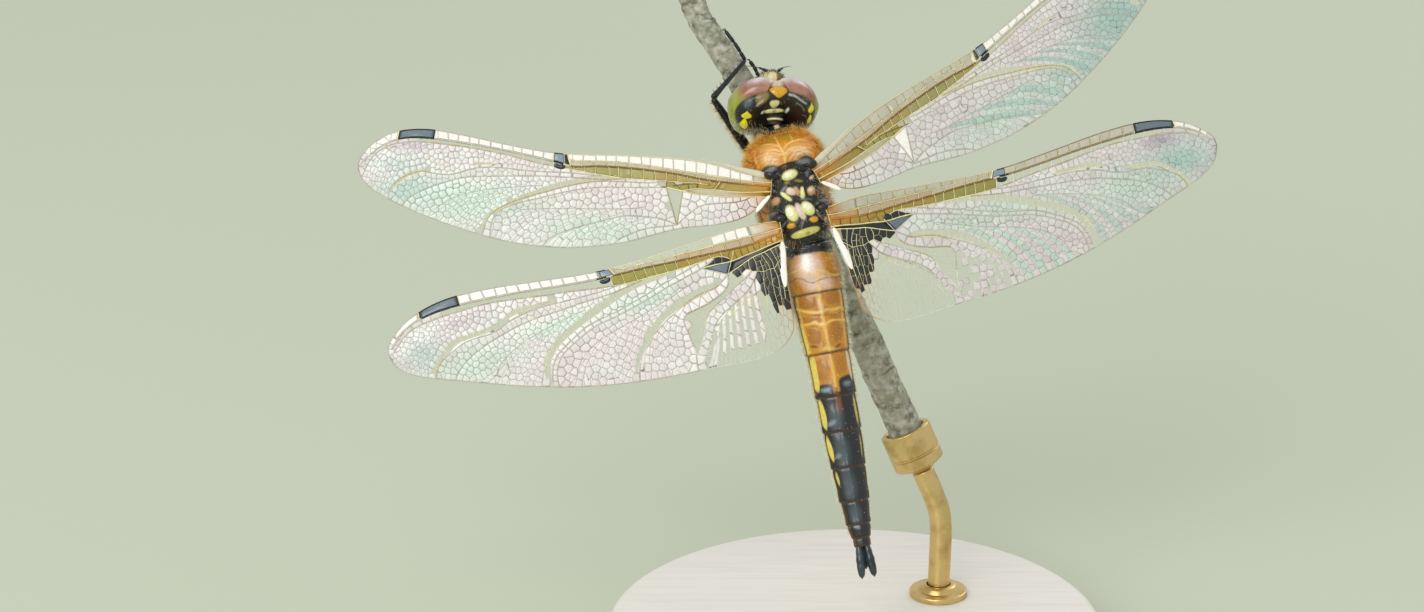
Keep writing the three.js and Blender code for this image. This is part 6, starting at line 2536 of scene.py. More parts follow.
# ---- Abdomen ----------------------------------------------------------------------------------
ABDOMEN_TONES = {
    "belly": "#86602a",
    "beige": "#d9cfb2",
    "ochre": "#a4690a",
    "pale": "#ecc268",
    # blush and white are painted highlights
    "blush": "#e3cbbc",
    "white": "#f6ebe6",
    "umber": "#80480f",
    "dark": "#452a08",
    "black": "#090c0e",
    # slate and gloss are painted sheen and highlights on the black
    "slate": "#46575f",
    "gloss": "#87949a",
    "yellow": "#dcc85a",
}
ABDOMEN_MARKS: tuple[Patch | Seam, ...] = (
    Patch("black", 0.0, 0.1, 2.6, 0.78, 0, 0.0, 0.08, 1.0, 8.0),
    # painted highlight and sheen on the black first segment
    Patch("gloss", -0.45, 0.36, 1.0, 0.12, 3, 0.05, 0.6, 0.8),
    Patch("slate", 0.7, 0.5, 0.9, 0.08, 3, 0.0, 0.6, 0.6),
    Patch("dark", -1.7, 0.85, 0.3, 0.16, 0, 0.0, 0.4, 0.7),
    Patch("dark", 1.7, 0.85, 0.3, 0.16, 0, 0.0, 0.4, 0.7),
    # painted highlight on the second segment: a broad pinkish glow with a white core
    Patch("blush", -0.45, 2.0, 0.85, 1.25, 0, 0.0, 0.8, 0.95),
    Patch("white", -0.55, 1.5, 0.36, 0.62, 0, 0.0, 0.9, 0.9),
    Patch("blush", 0.15, 3.6, 0.9, 0.6, 0, 0.0, 0.8, 0.75),
    Seam("pale", (
        (-1.9, 2.4), (-1.1, 2.2), (-0.35, 2.62), (0.4, 2.5), (1.1, 2.95), (1.9, 3.15),
    ), 0.07, 0.03, 0.8),
    Seam("pale", ((0.0, 2.6), (0.1, 3.4), (0.0, 4.3)), 0.11, 0.04, 0.9),
    Seam("dark", ((-2.0, 3.15), (-1.2, 2.95), (-0.3, 3.35), (0.8, 3.3), (2.0, 3.4)), 0.045, -0.05, 0.75),
    Patch("ochre", -1.0, 4.98, 0.62, 0.52, 0, 0.02, 0.15, 0.95, 3.2),
    Patch("ochre", 1.0, 4.96, 0.6, 0.5, 0, 0.02, 0.15, 0.9, 3.2),
    # painted highlight along the middle of the third segment
    Patch("blush", -0.05, 5.6, 0.16, 0.6, 0, 0.0, 0.8, 0.8),
    Patch("ochre", -1.05, 6.55, 0.62, 0.26, 0, 0.0, 0.4, 0.7),
    Patch("ochre", 0.95, 6.55, 0.6, 0.22, 0, 0.0, 0.4, 0.7),
    Patch("ochre", -1.0, 7.9, 0.52, 0.78, 4, 0.02, 0.15, 0.95, 3.0),
    Patch("ochre", 0.9, 7.85, 0.5, 0.8, -4, 0.02, 0.15, 0.9, 3.0),
    Seam("pale", (
        (0.0, 4.3), (-0.08, 5.4), (-0.08, 6.2), (-0.02, 7.2), (0.0, 8.4), (0.05, 9.5),
    ), 0.13, 0.05, 0.9),
    Seam("pale", (
        (-1.95, 5.4), (-1.3, 5.72), (-0.4, 6.02), (0.0, 6.1), (0.7, 5.88), (1.9, 6.02),
    ), 0.1, 0.04, 0.9),
    Seam("dark", ((-1.95, 6.3), (-0.9, 6.2), (0.0, 6.42), (0.9, 6.3), (1.9, 6.34)), 0.05, -0.05, 0.6),
    Seam("pale", ((-1.9, 6.95), (-0.9, 6.85), (-0.1, 7.2), (0.8, 6.92), (1.9, 7.12)), 0.1, 0.04, 0.9),
    Seam("pale", ((-1.7, 4.45), (-1.72, 6.0), (-1.7, 7.4), (-1.62, 9.3)), 0.07, 0.0, 0.7),
    Seam("pale", ((1.7, 4.45), (1.68, 6.0), (1.64, 7.4), (1.6, 9.3)), 0.07, 0.0, 0.6),
    Patch("dark", -1.2, 8.95, 0.34, 0.1, 20, 0.0, 0.4, 0.8),
    Patch("dark", 0.85, 9.05, 0.34, 0.1, -18, 0.0, 0.4, 0.8),
    Patch("pale", 0.0, 9.25, 0.6, 0.2, 0, 0.0, 0.7, 0.6),
    Patch("yellow", -1.84, 8.2, 0.17, 1.45, 0, 0.0, 0.2, 0.9, 2.6),
    Patch("ochre", -0.85, 10.9, 0.55, 0.95, 4, 0.0, 0.3, 0.7, 2.6),
    Patch("ochre", 0.85, 10.8, 0.52, 0.9, -4, 0.0, 0.3, 0.7, 2.6),
    Seam("pale", ((0.0, 9.8), (0.03, 11.0), (0.02, 12.5)), 0.14, 0.04, 0.8),
    Patch("black", -1.05, 12.9, 0.8, 0.82, 0, 0.0, 0.12, 1.0, 2.8),
    Patch("black", 1.15, 12.75, 0.82, 1.0, 0, 0.0, 0.12, 1.0, 2.8),
    Patch("black", 0.0, 13.3, 2.2, 0.3, 0, 0.0, 0.15, 1.0, 6.0),
    # painted highlights on the black lobes
    Patch("gloss", -1.0, 12.62, 0.42, 0.24, 0, 0.0, 0.7, 0.8),
    Patch("gloss", 1.15, 12.5, 0.36, 0.24, 0, 0.0, 0.7, 0.6),
    Patch("black", 0.0, 20.2, 2.6, 6.95, 0, 0.0, 0.03, 1.0, 20.0),
    Patch("umber", 0.03, 14.0, 0.26, 1.0, 0, 0.0, 0.6, 0.85),
    # painted sheen and highlights on the black rear segments
    Patch("slate", -0.5, 15.2, 0.7, 1.0, 0, 0.0, 0.7, 0.6),
    Patch("gloss", -1.0, 15.6, 0.42, 0.2, -20, 0.0, 0.6, 0.7),
    Patch("slate", -0.45, 18.1, 0.72, 1.25, 0, 0.0, 0.7, 0.6),
    Patch("gloss", -1.0, 18.5, 0.3, 0.22, -20, 0.0, 0.6, 0.6),
    Patch("slate", -0.35, 21.1, 0.75, 1.2, 0, 0.0, 0.7, 0.65),
    Patch("slate", -0.3, 23.6, 0.8, 0.8, 0, 0.0, 0.7, 0.7),
    Patch("gloss", -0.5, 24.8, 0.5, 0.22, 0, 0.0, 0.6, 0.6),
    Patch("yellow", -1.7, 11.2, 0.3, 1.45, 2, 0.0, 0.12, 1.0, 2.8, -0.2),
    Patch("yellow", -1.7, 14.75, 0.3, 1.3, -4, 0.0, 0.12, 1.0, 1.7),
    Patch("yellow", -1.68, 17.75, 0.25, 1.15, -4, 0.0, 0.14, 1.0, 1.7),
    Patch("yellow", -1.62, 20.4, 0.14, 0.6, -4, 0.0, 0.2, 0.8, 2.0),
    Patch("beige", 1.7, 10.9, 0.14, 1.3, -2, 0.0, 0.3, 0.9, 2.4),
    Patch("yellow", 1.66, 14.9, 0.12, 1.15, 0, 0.0, 0.3, 0.75, 2.4),
    Patch("yellow", 1.66, 17.9, 0.09, 1.0, 0, 0.0, 0.3, 0.5, 2.4),
)


@dataclass(frozen=True)
class Abdomen:
    """The ten segments, amber in front and black behind, and the claspers at the tail."""

    lengths: tuple[float, ...] = (0.75, 3.6, 5.25, 3.77, 3.07, 3.16, 2.98, 2.02, 1.18, 0.75)
    half: tuple[float, ...] = (2.0, 2.42, 2.28, 2.1, 1.93, 1.84, 1.77, 1.7, 1.55, 1.38, 1.1, 0.74)
    top: tuple[float, ...] = (1.55, 1.75, 1.55, 1.42, 1.32, 1.25, 1.2, 1.12, 1.02, 0.9, 0.72, 0.5)
    bottom: tuple[float, ...] = (
        -1.9, -2.05, -1.7, -1.5, -1.35, -1.25, -1.15, -1.05, -0.95, -0.85, -0.65, -0.45,
    )
    flare: float = 0.06
    waist: float = 0.05
    skin_depth: float = 0.03
    step: float = 0.085
    count_around: int = 132
    clasper: float = 2.75
    fringe: int = 3600

    def starts(self) -> Values:
        """Where each segment starts, and the end of the last."""
        return np.r_[0, np.cumsum(self.lengths)]

    def local(self, distance: Values) -> tuple[Values, Values]:
        """The segment's number from 0, and the share of it that is passed, at each distance."""
        starts = self.starts()
        index = np.clip(np.searchsorted(starts, distance, side="right") - 1, 0, len(self.lengths) - 1)
        return index, (distance - starts[index]) / np.asarray(self.lengths)[index]

    def skin(self, distance: Values, angle: Values) -> Values:
        """Points of the skin, as a grid of rings."""
        length = self.starts()[-1]
        _, t = self.local(distance)
        swell = self.flare * t**4 - self.waist * (1 - t) ** 4 - self.skin_depth
        x, z = superellipse(
            (stepped(self.half, distance / length) + swell)[:, None],
            (stepped(self.top, distance / length) + swell)[:, None],
            (stepped(self.bottom, distance / length) - swell)[:, None],
            angle[None], 0.9, 1.35, 0.85,
        )
        return np.stack([x, np.broadcast_to(-distance[:, None], x.shape), z], -1)

    def build(self) -> None:
        """Builds the shell and the claspers."""
        length = float(self.starts()[-1])
        distance = np.linspace(0.03, length - 0.03, round(length / self.step))
        angle = np.linspace(0, 2 * math.pi, self.count_around, endpoint=False)
        plain = self.skin(distance, angle)
        tones, height = self.markings(plain)
        skin = plain + surface_normals(plain) * height[..., None]
        shape = Shape()
        shape.add(skin.reshape(-1, 3), grid_faces(*plain.shape[:2]), **layered(tones))
        finish = HardFinish(
            "abdomen cuticle", roughness=0.36, coat=0.35, base="#c98a16", dark="#ad7209",
            patches=tuple(ABDOMEN_TONES.items()),
        )
        nodes = [f"abdomen_{i + 1}" for i in range(len(self.lengths))]
        shape.install("abdomen_shell", FRAMES["abdomen"], finish, Slot.ABDOMEN_FRONT, *nodes)
        self.add_fringe(skin)
        self.add_claspers(length)

    def markings(self, plain: Values) -> tuple[dict[str, Values], Values]:
        """The colours and the relief over the whole abdomen."""
        x, z = plain[..., 0], plain[..., 2]
        distance = -plain[..., 1]
        index, t = self.local(distance.ravel())
        index, t = index.reshape(x.shape), t.reshape(x.shape)
        wide = x / np.abs(x).max(1, keepdims=True)
        above = smooth(z, -0.2, 0.4)
        noise = value_noise(plain.reshape(-1, 3), 0.8, 21).reshape(x.shape)
        size = np.asarray(self.lengths)[index]
        ring = np.exp(-(((1 - t) * size / 0.13) ** 2)) + np.exp(-((t * size / 0.08) ** 2))
        ring = np.clip(ring, 0, 1)
        tones = {name: np.zeros(x.size) for name in ABDOMEN_TONES}
        waver = distance + 0.12 * noise
        marks = paint_marks(ABDOMEN_MARKS, (2 * wide).ravel(), waver.ravel(), above.ravel(), tones)
        marks = marks.reshape(x.shape)
        rear = smooth(distance, 13.0, 13.6)
        line = np.exp(-(((np.abs(wide) - 0.945) / 0.02) ** 2)) * (index > 1) * above
        outer = smooth(np.abs(wide), 0.962, 0.985) * smooth(z, -0.9, -0.5) * (index > 0)
        outer = outer * (1 - smooth(distance, 21, 24))
        below = (1 - smooth(z + 0.1 * noise, -0.95, 0.2)) * (1 - 0.6 * rear)
        front = 1 - smooth(distance, 0.75, 0.95)
        black = np.maximum(line, front)
        for tone, cover in (
            ("belly", below), ("beige", outer * 0.9), ("dark", ring * 0.9), ("black", black),
        ):
            lay(tones, tone, cover.ravel())
        middle = np.exp(-(((wide + 0.02) / 0.09) ** 2))
        height = marks - 0.07 * ring + 0.04 * middle * above * (index > 1) + 0.012 * noise
        height += 0.03 * np.exp(-(((np.abs(wide) - 0.97) / 0.03) ** 2)) * (index > 1)
        return tones, height

    def add_fringe(self, skin: Values) -> None:
        """The pale hairs along both edges, and a few short ones on the back.

        Args:
            skin: Rings of points on the shell.
        """
        x, z = skin[..., 0], skin[..., 2]
        wide = np.abs(x) / np.abs(x).max(1, keepdims=True)
        distance = -skin[..., 1]
        edge = smooth(wide, 0.93, 0.97) * smooth(z, -1.0, -0.4)
        hair = Coat("abdomen_fringe", FRAMES["abdomen"], 65)
        weight = (edge + 0.02 + 0.12 * (1 - smooth(distance, 1.0, 5.0))) * (1 - smooth(
            distance, 24.8, 25.6,
        ))
        rooted = hair.roots(skin, weight, self.fringe)
        away = -rooted[0][:, 1]
        sideways = smooth(np.abs(rooted[1][:, 0]), 0.5, 0.9)
        length = mix(0.5, 0.3, smooth(away, 2.0, 24.0)) * mix(0.6, 1.0, sideways)
        hair.grow(rooted, (0, -1, 0), length, 0.72, 0.22, 0.013)
        finish = HairFinish("fringe hair", roughness=0.5, specular=0.2, root="#ddd6a8", tip="#fffff0")
        hair.build(finish, Slot.ABDOMEN_FRONT)

    def add_claspers(self, length: float) -> None:
        """The pair of claspers and the plate under them."""
        tail = HardFinish("tail cuticle", roughness=0.3, coat=0.3, base="#33424a", dark="#10161a")
        radii = (0.24, 0.31, 0.36, 0.34, 0.2)
        for name, side in (("left", -1), ("right", 1)):
            route = (
                (0.33 * side, -length + 0.35, 0.08),
                (0.45 * side, -length - 0.45 * self.clasper, 0.12),
                (0.55 * side, -length - self.clasper, 0.1),
            )
            self.horn(f"cercus_{name}", route, radii, tail)
        route = ((0, -length + 0.35, -0.33), (0, -length - 2.0, -0.45))
        self.horn("epiproct", route, (0.23, 0.28, 0.2), tail)

    @staticmethod
    def horn(node: str, route: Sequence[Point], radii: Sequence[float], finish: Finish) -> None:
        """One tapered, blunt-tipped horn of the tail."""
        path = through(route, 0.06)
        t = np.linspace(0, 1, len(path))
        tip = np.sqrt(np.clip(1 - smooth(t, 0.86, 1.0) ** 2, 0.02, 1))
        points, faces = tube(path, stepped(radii, t) * tip * (1 + 0.03 * np.sin(t * 30)), 28)
        shape = Shape()
        shape.add(points, faces)
        shape.install(node + "_horn", FRAMES["abdomen"], finish, Slot.ABDOMEN_REAR, node)


# ---- Head -------------------------------------------------------------------------------------
HEAD_MARKS: tuple[Patch | Seam, ...] = (
    Patch("tan", -1.45, 1.75, 0.42, 0.62, -35, 0.06, 0.3, 0.9, 2.6),
    Patch("pale", -1.62, 1.35, 0.12, 0.42, -40, 0.03, 0.6, 0.6),
    Patch("slate", -2.6, 1.2, 0.3, 0.52, -22, 0.05, 0.4, 0.8),
    Seam("pale", ((0.9, 2.05), (1.45, 1.9), (2.0, 1.55), (2.5, 1.2)), 0.07, 0.03, 0.8),
    Seam("pale", ((1.6, 1.35), (2.1, 1.0), (2.4, 0.5)), 0.05, 0.03, 0.4),
    Seam("slate", ((2.75, 0.95), (2.95, 0.4), (2.9, -0.4)), 0.07, 0.03, 0.6),
    Patch("yellow", -2.62, 0.02, 0.42, 0.4, 90, 0.06, 0.1, 1.0, 1.5, 0.75),
    Patch("yellow", -2.72, -1.02, 0.66, 0.34, 90, 0.06, 0.1, 1.0, 1.8, 0.45),
    Patch("yellow", 3.02, 0.66, 0.42, 0.26, 90, 0.05, 0.12, 1.0, 1.5, 0.6),
    Patch("yellow", 3.02, -0.45, 0.5, 0.17, 85, 0.05, 0.12, 1.0, 1.8, 0.3),
    Patch("cream", -0.32, 1.14, 0.44, 0.4, 90, 0.16, 0.2, 1.0, 2.2, -0.35),
    Patch("cream", -0.24, 0.36, 0.82, 0.24, 3, 0.14, 0.2, 1.0, 2.6),
    Patch("tan", -0.26, 0.42, 0.16, 0.16, 0, 0.0, 0.6, 0.7),
    Patch("pale", 0.9, 0.5, 0.3, 0.14, 75, 0.08, 0.3),
    Patch("pale", -1.22, 0.28, 0.24, 0.13, 60, 0.06, 0.3, 0.8),
)


@dataclass(frozen=True)
class Head:
    """The hard shell, the two great eyes, the face and the feelers."""

    eye: Lump = Lump((2.02, 0.35, 0.1), 1.98, 1.73, 2.58, left=1.73, back=1.28, down=3.18, blunt=0.75)
    eye_lean: tuple[float, float] = (0.5, 0.25)
    eye_seam: float = 0.06
    eye_wedge: tuple[float, float] = (0.75, 0.72)
    nape_hair: int = 700
    face_hair: int = 900
    shell: Lump = Lump((0, -0.35, -0.1), 3.53, 1.58, 2.33, back=0.98, down=2.48, blunt=0.45)
    hollow: float = 0.4
    hollow_width: float = 1.5

    def build(self) -> None:
        """Builds every part of the head."""
        self.build_shell()
        for name, side in (("left", -1), ("right", 1)):
            self.build_eye(name, side)
            self.build_feeler(name, side)
        self.build_face()

    def build_shell(self) -> None:
        """The shell, dished where the neck enters, with its pale and yellow marks."""
        unit, faces = sphere(240, 160)
        points = self.shell.place(unit)
        x, y, z = points.T
        behind = smooth(-y, 0.5, 0.9)
        points[:, 1] += self.hollow * np.exp(-((np.hypot(x, z) / self.hollow_width) ** 2)) * behind
        tones = {name: np.zeros(len(points)) for name in ("tan", "slate", "pale", "yellow", "cream")}
        height = 0.03 * value_noise(points, 0.45, 31)
        height += paint_marks(HEAD_MARKS, x, z, smooth(-y, 0.35, 0.7), tones)
        points[:, 1] -= height * behind
        shape = Shape()
        shape.add(points, faces, **layered(tones))
        skin = points[: 159 * 240].reshape(159, 240, 3)
        unit, faces = sphere(48, 36)
        nape = Lump((0, -0.42, 1.95), 0.86, 0.5, 0.55, back=0.6, down=0.9)
        points = nape.place(unit)
        points[:, 0] *= mix(0.72, 1.08, smooth(points[:, 2], 1.5, 2.4))
        points[:, 2] -= 0.06 * np.exp(-((points[:, 0] / 0.12) ** 2)) * smooth(points[:, 2], 2.0, 2.3)
        shape.add(points, faces, occiput=smooth(points[:, 2], 1.55, 1.8))
        vesicle = Lump((0, 0.4, 2.05), 0.8, 0.45, 0.5).place(unit)
        dip = 0.07 * np.exp(-((vesicle[:, 0] / 0.1) ** 2)) * smooth(vesicle[:, 2], 2.1, 2.4)
        vesicle[:, 2] -= dip
        shape.add(vesicle, faces, vesicle=smooth(vesicle[:, 2], 1.7, 2.0))
        finish = HardFinish(
            "head shell", roughness=0.36, coat=0.3, base="#17120b", dark="#070503",
            patches=(
                ("tan", "#857540"), ("slate", "#55646c"), ("pale", "#c9c6b4"), ("yellow", "#e6dc1e"),
                ("cream", "#d8d294"), ("occiput", "#d39c12"), ("vesicle", "#c9b7a2"),
            ),
        )
        shape.install("head_rear", FRAMES["head"], finish, Slot.HEAD, "head")
        self.add_nape_hair(skin, tones["yellow"][: 159 * 240].reshape(159, 240))

    def add_nape_hair(self, skin: Values, bare: Values) -> None:
        """The pale hairs round the back of the head, longest below.

        Args:
            skin: Rings of points on the shell.
            bare: 1 on the smooth pale marks.
        """
        hair = Coat("head_nape_hair", FRAMES["head"], 63)
        x, y, z = (skin[..., k] for k in range(3))
        rim = np.hypot(x / 3.5, z / 2.4)
        weight = smooth(rim, 0.45, 0.7) * smooth(-y, 0.1, 0.5) * (0.12 + smooth(-z, 0.2, 1.6))
        rooted = hair.roots(skin, weight * (1 - 0.85 * bare), self.nape_hair)
        lower = smooth(-rooted[0][:, 2], -0.2, 1.2)
        hair.grow(rooted, (0, -0.6, -0.4), 0.25 + 0.6 * lower, 0.7, 0.25, 0.011)
        hair.build(HairFinish("nape hair", roughness=0.5, root="#b9a878", tip="#fdf8e0"), Slot.HEAD)

    def build_eye(self, name: str, side: int) -> None:
        """A compound eye, flat along the seam with the other one."""
        unit, faces = sphere(128, 96)
        points = self.eye.place(unit)
        x, y, z = points.T
        inner, outer = self.eye.centre[0] - self.eye.left, self.eye.centre[0] + self.eye.right
        lean = mix(self.eye_lean[0], self.eye_lean[1], smooth(x, inner, outer))
        leant = x - lean * np.maximum(z - self.eye.centre[2], 0)
        start, opening = self.eye_wedge
        wedge = self.eye_seam + opening * np.clip(start - y, 0, 1.3)
        points = np.column_stack([side * np.maximum(leant, wedge), y, z])
        height = z + 0.35 * (3.4 - np.abs(points[:, 0])) + 0.25 * side
        above = smooth(height, 0.5, 2.0)
        blush = smooth(height, 1.5, 2.6) * (0.25 + 0.65 * smooth(y, 0.3, 1.3))
        # painted highlight along the top of the eye
        bloom = 0.75 * smooth(z, 2.0, 2.55) * smooth(y, -0.2, 0.6)
        rear = 1 - smooth(y, -0.72, -0.5)
        faces = faces if side > 0 else [face[::-1] for face in faces]
        shape = Shape()
        rear = rear * smooth(np.abs(z - 0.1), 0, 0.2) * 0.8
        shape.add(points, faces, above=above, blush=blush, bloom=bloom, rear=rear)
        finish = EyeFinish("compound eye", roughness=0.22, coat=0.6)
        shape.install(f"eye_{name}_facets", FRAMES["head"], finish, Slot.EYES, f"eye_{name}")

    def build_face(self) -> None:
        """The forehead with the crown, the upper lip and the lower lip."""
        unit, faces = sphere(72, 56)
        finish = HardFinish(
            "face", roughness=0.45, base="#e3dba6", dark="#cfc48a",
            patches=(("brown", "#7b5518"), ("dark", "#1c150c")),
        )
        forehead = Shape()
        points = Lump((0, 2.4, 0.95), 1.18, 0.98, 0.93, back=1.3, down=0.88).place(unit)
        dent = 0.09 * np.exp(-((points[:, 0] / 0.16) ** 2)) * smooth(points[:, 1], 2.3, 2.9)
        points[:, 1] -= dent
        band = np.exp(-(((points[:, 2] - 0.1) / 0.16) ** 2))
        brown = smooth(points[:, 0], 0.15, 0.6) * smooth(points[:, 2], 1.0, 1.4)
        forehead.add(points, faces, dark=band * 0.8, brown=brown)
        crown = Lump((0, 1.75, 1.75), 0.6, 0.58, 0.6)
        points = crown.place(unit)
        points[:, 2] -= 0.1 * np.exp(-((points[:, 0] / 0.14) ** 2)) * smooth(points[:, 2], 2.0, 2.3)
        dark, brown = 1 - smooth(points[:, 2], 1.5, 1.8), smooth(points[:, 0], 0.02, 0.3)
        forehead.add(points, faces, dark=dark, brown=brown)
        forehead.install("face_forehead", FRAMES["head"], finish, Slot.FACE, "frons")
        hair = Coat("face_bristles", FRAMES["head"], 64)
        skin = forehead.corners()[: 55 * 72].reshape(55, 72, 3)
        rooted = hair.roots(skin, smooth(skin[..., 1], 1.6, 2.4), self.face_hair)
        hair.grow(rooted, (0, 0.3, 0.6), 0.3, 0.75, 0.25, 0.011)
        hair.build(HairFinish("face hair", roughness=0.5, root="#1d1509", tip="#4d3a1c"), Slot.FACE)
        for node, lump, groove in (
            ("labrum", Lump((0, 1.7, -0.8), 1.83, 1.03, 0.88, back=0.9, down=0.93), -0.7),
            ("labium", Lump((0, 0.7, -2.25), 1.88, 1.48, 0.78, back=1.1, down=0.73), -2.3),
        ):
            points = lump.place(unit)
            depth = 0.07 * np.exp(-(((points[:, 2] - groove) / 0.07) ** 2))
            points[:, 1] -= depth * smooth(points[:, 1], 1.0, 1.6)
            edge = np.exp(-(((points[:, 2] - groove) / 0.12) ** 2)) * 0.8
            middle = np.exp(-((points[:, 0] / 0.1) ** 2)) * (node == "labium")
            plate = Shape()
            plate.add(points, faces, dark=np.maximum(edge, middle), brown=0.0)
            plate.install(f"face_{node}", FRAMES["head"], finish, Slot.FACE, node)

    def build_feeler(self, name: str, side: int) -> None:
        """A short bristle-like feeler on two stout joints."""
        joints = ((0.55, 2.6, 2.0), (1.2, 3.4, 1.75), (2.2, 4.6, 1.0))
        path = through([(x * side, y, z) for x, y, z in joints], 0.04)
        t = np.linspace(0, 1, len(path))
        radii = np.interp(t, [0, 0.1, 0.14, 0.26, 0.3, 0.6, 1], [0.13, 0.15, 0.09, 0.1, 0.04, 0.03, 0.01])
        points, faces = tube(path, radii, 14)
        shape = Shape()
        shape.add(points, faces)
        finish = HardFinish("feeler", roughness=0.4, base="#241a0f", dark="#0c0805")
        shape.install(f"feeler_{name}", FRAMES["head"], finish, Slot.LEGS, f"antenna_{name}")


# ---- Twig -------------------------------------------------------------------------------------
@dataclass(frozen=True)
class Twig:
    """The cut length of twig that the insect grips."""

    route: tuple[Point, ...] = (
        (-9.4, 18.3, -9.0),
        (-7.9, 15.1, -9.0),
        (-5.0, 10.7, -9.2),
        (-1.65, 4.1, -10.2),
        (2.8, -5.1, -11.7),
        (7.0, -14.0, -13.0),
        (10.9, -22.7, -14.9),
    )
    top_radius: float = 1.12
    bottom_radius: float = 1.6
    knob: float = 0.09
    cracks: Route = ((
        1.1, 0.5,
    ), (3.1, -0.4), (7.9, 0.3), (12.8, -0.5), (19.4, 0.6), (25.3, -0.3), (31.8, 0.5), (38.0, -0.4))
    crack_depth: float = 0.11

    def radius(self, t: Values, angle: Values) -> Values:
        """The plain radius, as in the solid."""
        knobs = np.sin(23 * t + 2 * np.sin(angle)) * np.cos(angle - 9 * t)
        return mix(self.top_radius, self.bottom_radius, t) + self.knob * knobs

    def path(self, step: float = 0.11) -> Values:
        """The middle of the twig, from its upper end."""
        return through(self.route, step)

    def build(self) -> None:
        """Builds the bark with its rings, cracks and scales, and both cut ends."""
        path = self.path()
        count, sides = len(path), 96
        _, first, second = transported(path)
        t = np.linspace(0, 1, count)
        angle = np.linspace(0, 2 * math.pi, sides, endpoint=False)
        along = np.r_[0, np.cumsum(np.linalg.norm(np.diff(path, axis=0), axis=1))]
        tt, aa = np.meshgrid(t, angle, indexing="ij")
        reach = self.radius(tt, aa) - 0.05
        ring = np.cos(aa)[..., None] * first[:, None] + np.sin(aa)[..., None] * second[:, None]
        surface = path[:, None] + ring * reach[..., None]
        flat = surface.reshape(-1, 3)
        crack = np.zeros_like(reach)
        for place, phase in self.cracks:
            wander = place + 0.22 * np.sin(aa + phase * 5) + 0.1 * np.sin(3 * aa + place)
            wander = wander + 0.05 * np.sin(7 * aa + 2 * place)
            gap = along[:, None] - wander
            open_side = smooth(np.sin(aa + phase * 3), -0.7, 0.2)
            crack = np.maximum(crack, np.exp(-((gap / 0.09) ** 2)) * open_side)
            reach += 0.07 * np.exp(-(((gap - 0.22) / 0.22) ** 2))
        rough = 0.05 * value_noise(flat, 0.5, 41) + 0.035 * value_noise(flat, 0.22, 42)
        reach += rough.reshape(reach.shape) - self.crack_depth * crack
        ends = np.minimum(along, along[-1] - along)[:, None]
        reach *= 1 - 0.12 * np.exp(-ends / 0.15)
        surface = path[:, None] + ring * reach[..., None]
        shape = Shape()
        shape.add(
            surface.reshape(-1, 3), grid_faces(count, sides, capped=False), crack=crack.ravel(), cut=0.0,
        )
        for end, flip in ((0, False), (count - 1, True)):
            self.add_cut_end(shape, path[end], surface[end], flip)
        finish = BarkFinish("bark", roughness=0.92, specular=0.25)
        shape.install("twig_bark", FRAMES["perch"], finish, Slot.BARK, "perch_twig")

    @staticmethod
    def add_cut_end(shape: Shape, centre: Values, rim: Values, flip: bool) -> None:
        """The sawn face of an end, in rings from the bark to the pith."""
        shares = (1.0, 0.86, 0.6, 0.3, 0.02)
        rings = np.array([centre + (rim - centre) * share for share in shares])
        cut = np.repeat([0.0, 1.0, 1.0, 0.9, 0.6], len(rim))
        faces = grid_faces(len(shares), len(rim), flip=flip, capped=False)
        pith = tuple((len(shares) - 1) * len(rim) + np.arange(len(rim)))
        shape.add(rings.reshape(-1, 3), faces + [pith if not flip else pith[::-1]], crack=0.0, cut=cut)

    def foot(self, height: float, angle: float, lift: float) -> Values:
        """A point just off the bark, at a height of the perch frame and an angle round the twig."""
        path = self.path(0.05)
        index = int(np.argmin(np.abs(path[:, 1] - height)))
        along = path[min(index + 1, len(path) - 1)] - path[max(index - 1, 0)]
        along /= np.linalg.norm(along)
        right = np.array([1.0, 0, 0]) - along * along[0]
        right /= np.linalg.norm(right)
        near = np.array([0, 0, 1.0]) - along * along[2]
        near -= right * (near @ right)
        near /= np.linalg.norm(near)
        reach = mix(self.top_radius, self.bottom_radius, index / (len(path) - 1)) + self.knob + lift
        turn = math.radians(angle)
        return path[index] + right * reach * math.cos(turn) + near * reach * math.sin(turn)


TWIG = Twig()


# ---- Legs -------------------------------------------------------------------------------------
LEG_FINISH = HardFinish(
    "leg",
    roughness=0.34,
    coat=0.15,
    specular=0.35,
    base="#0e0c0a",
    dark="#050403",
    patches=(("knee", "#3a2c18"),),
)
LEG_HAIR = HairFinish("leg hair", roughness=0.5, specular=0.2, root="#c98f2a", tip="#ffe9ac")


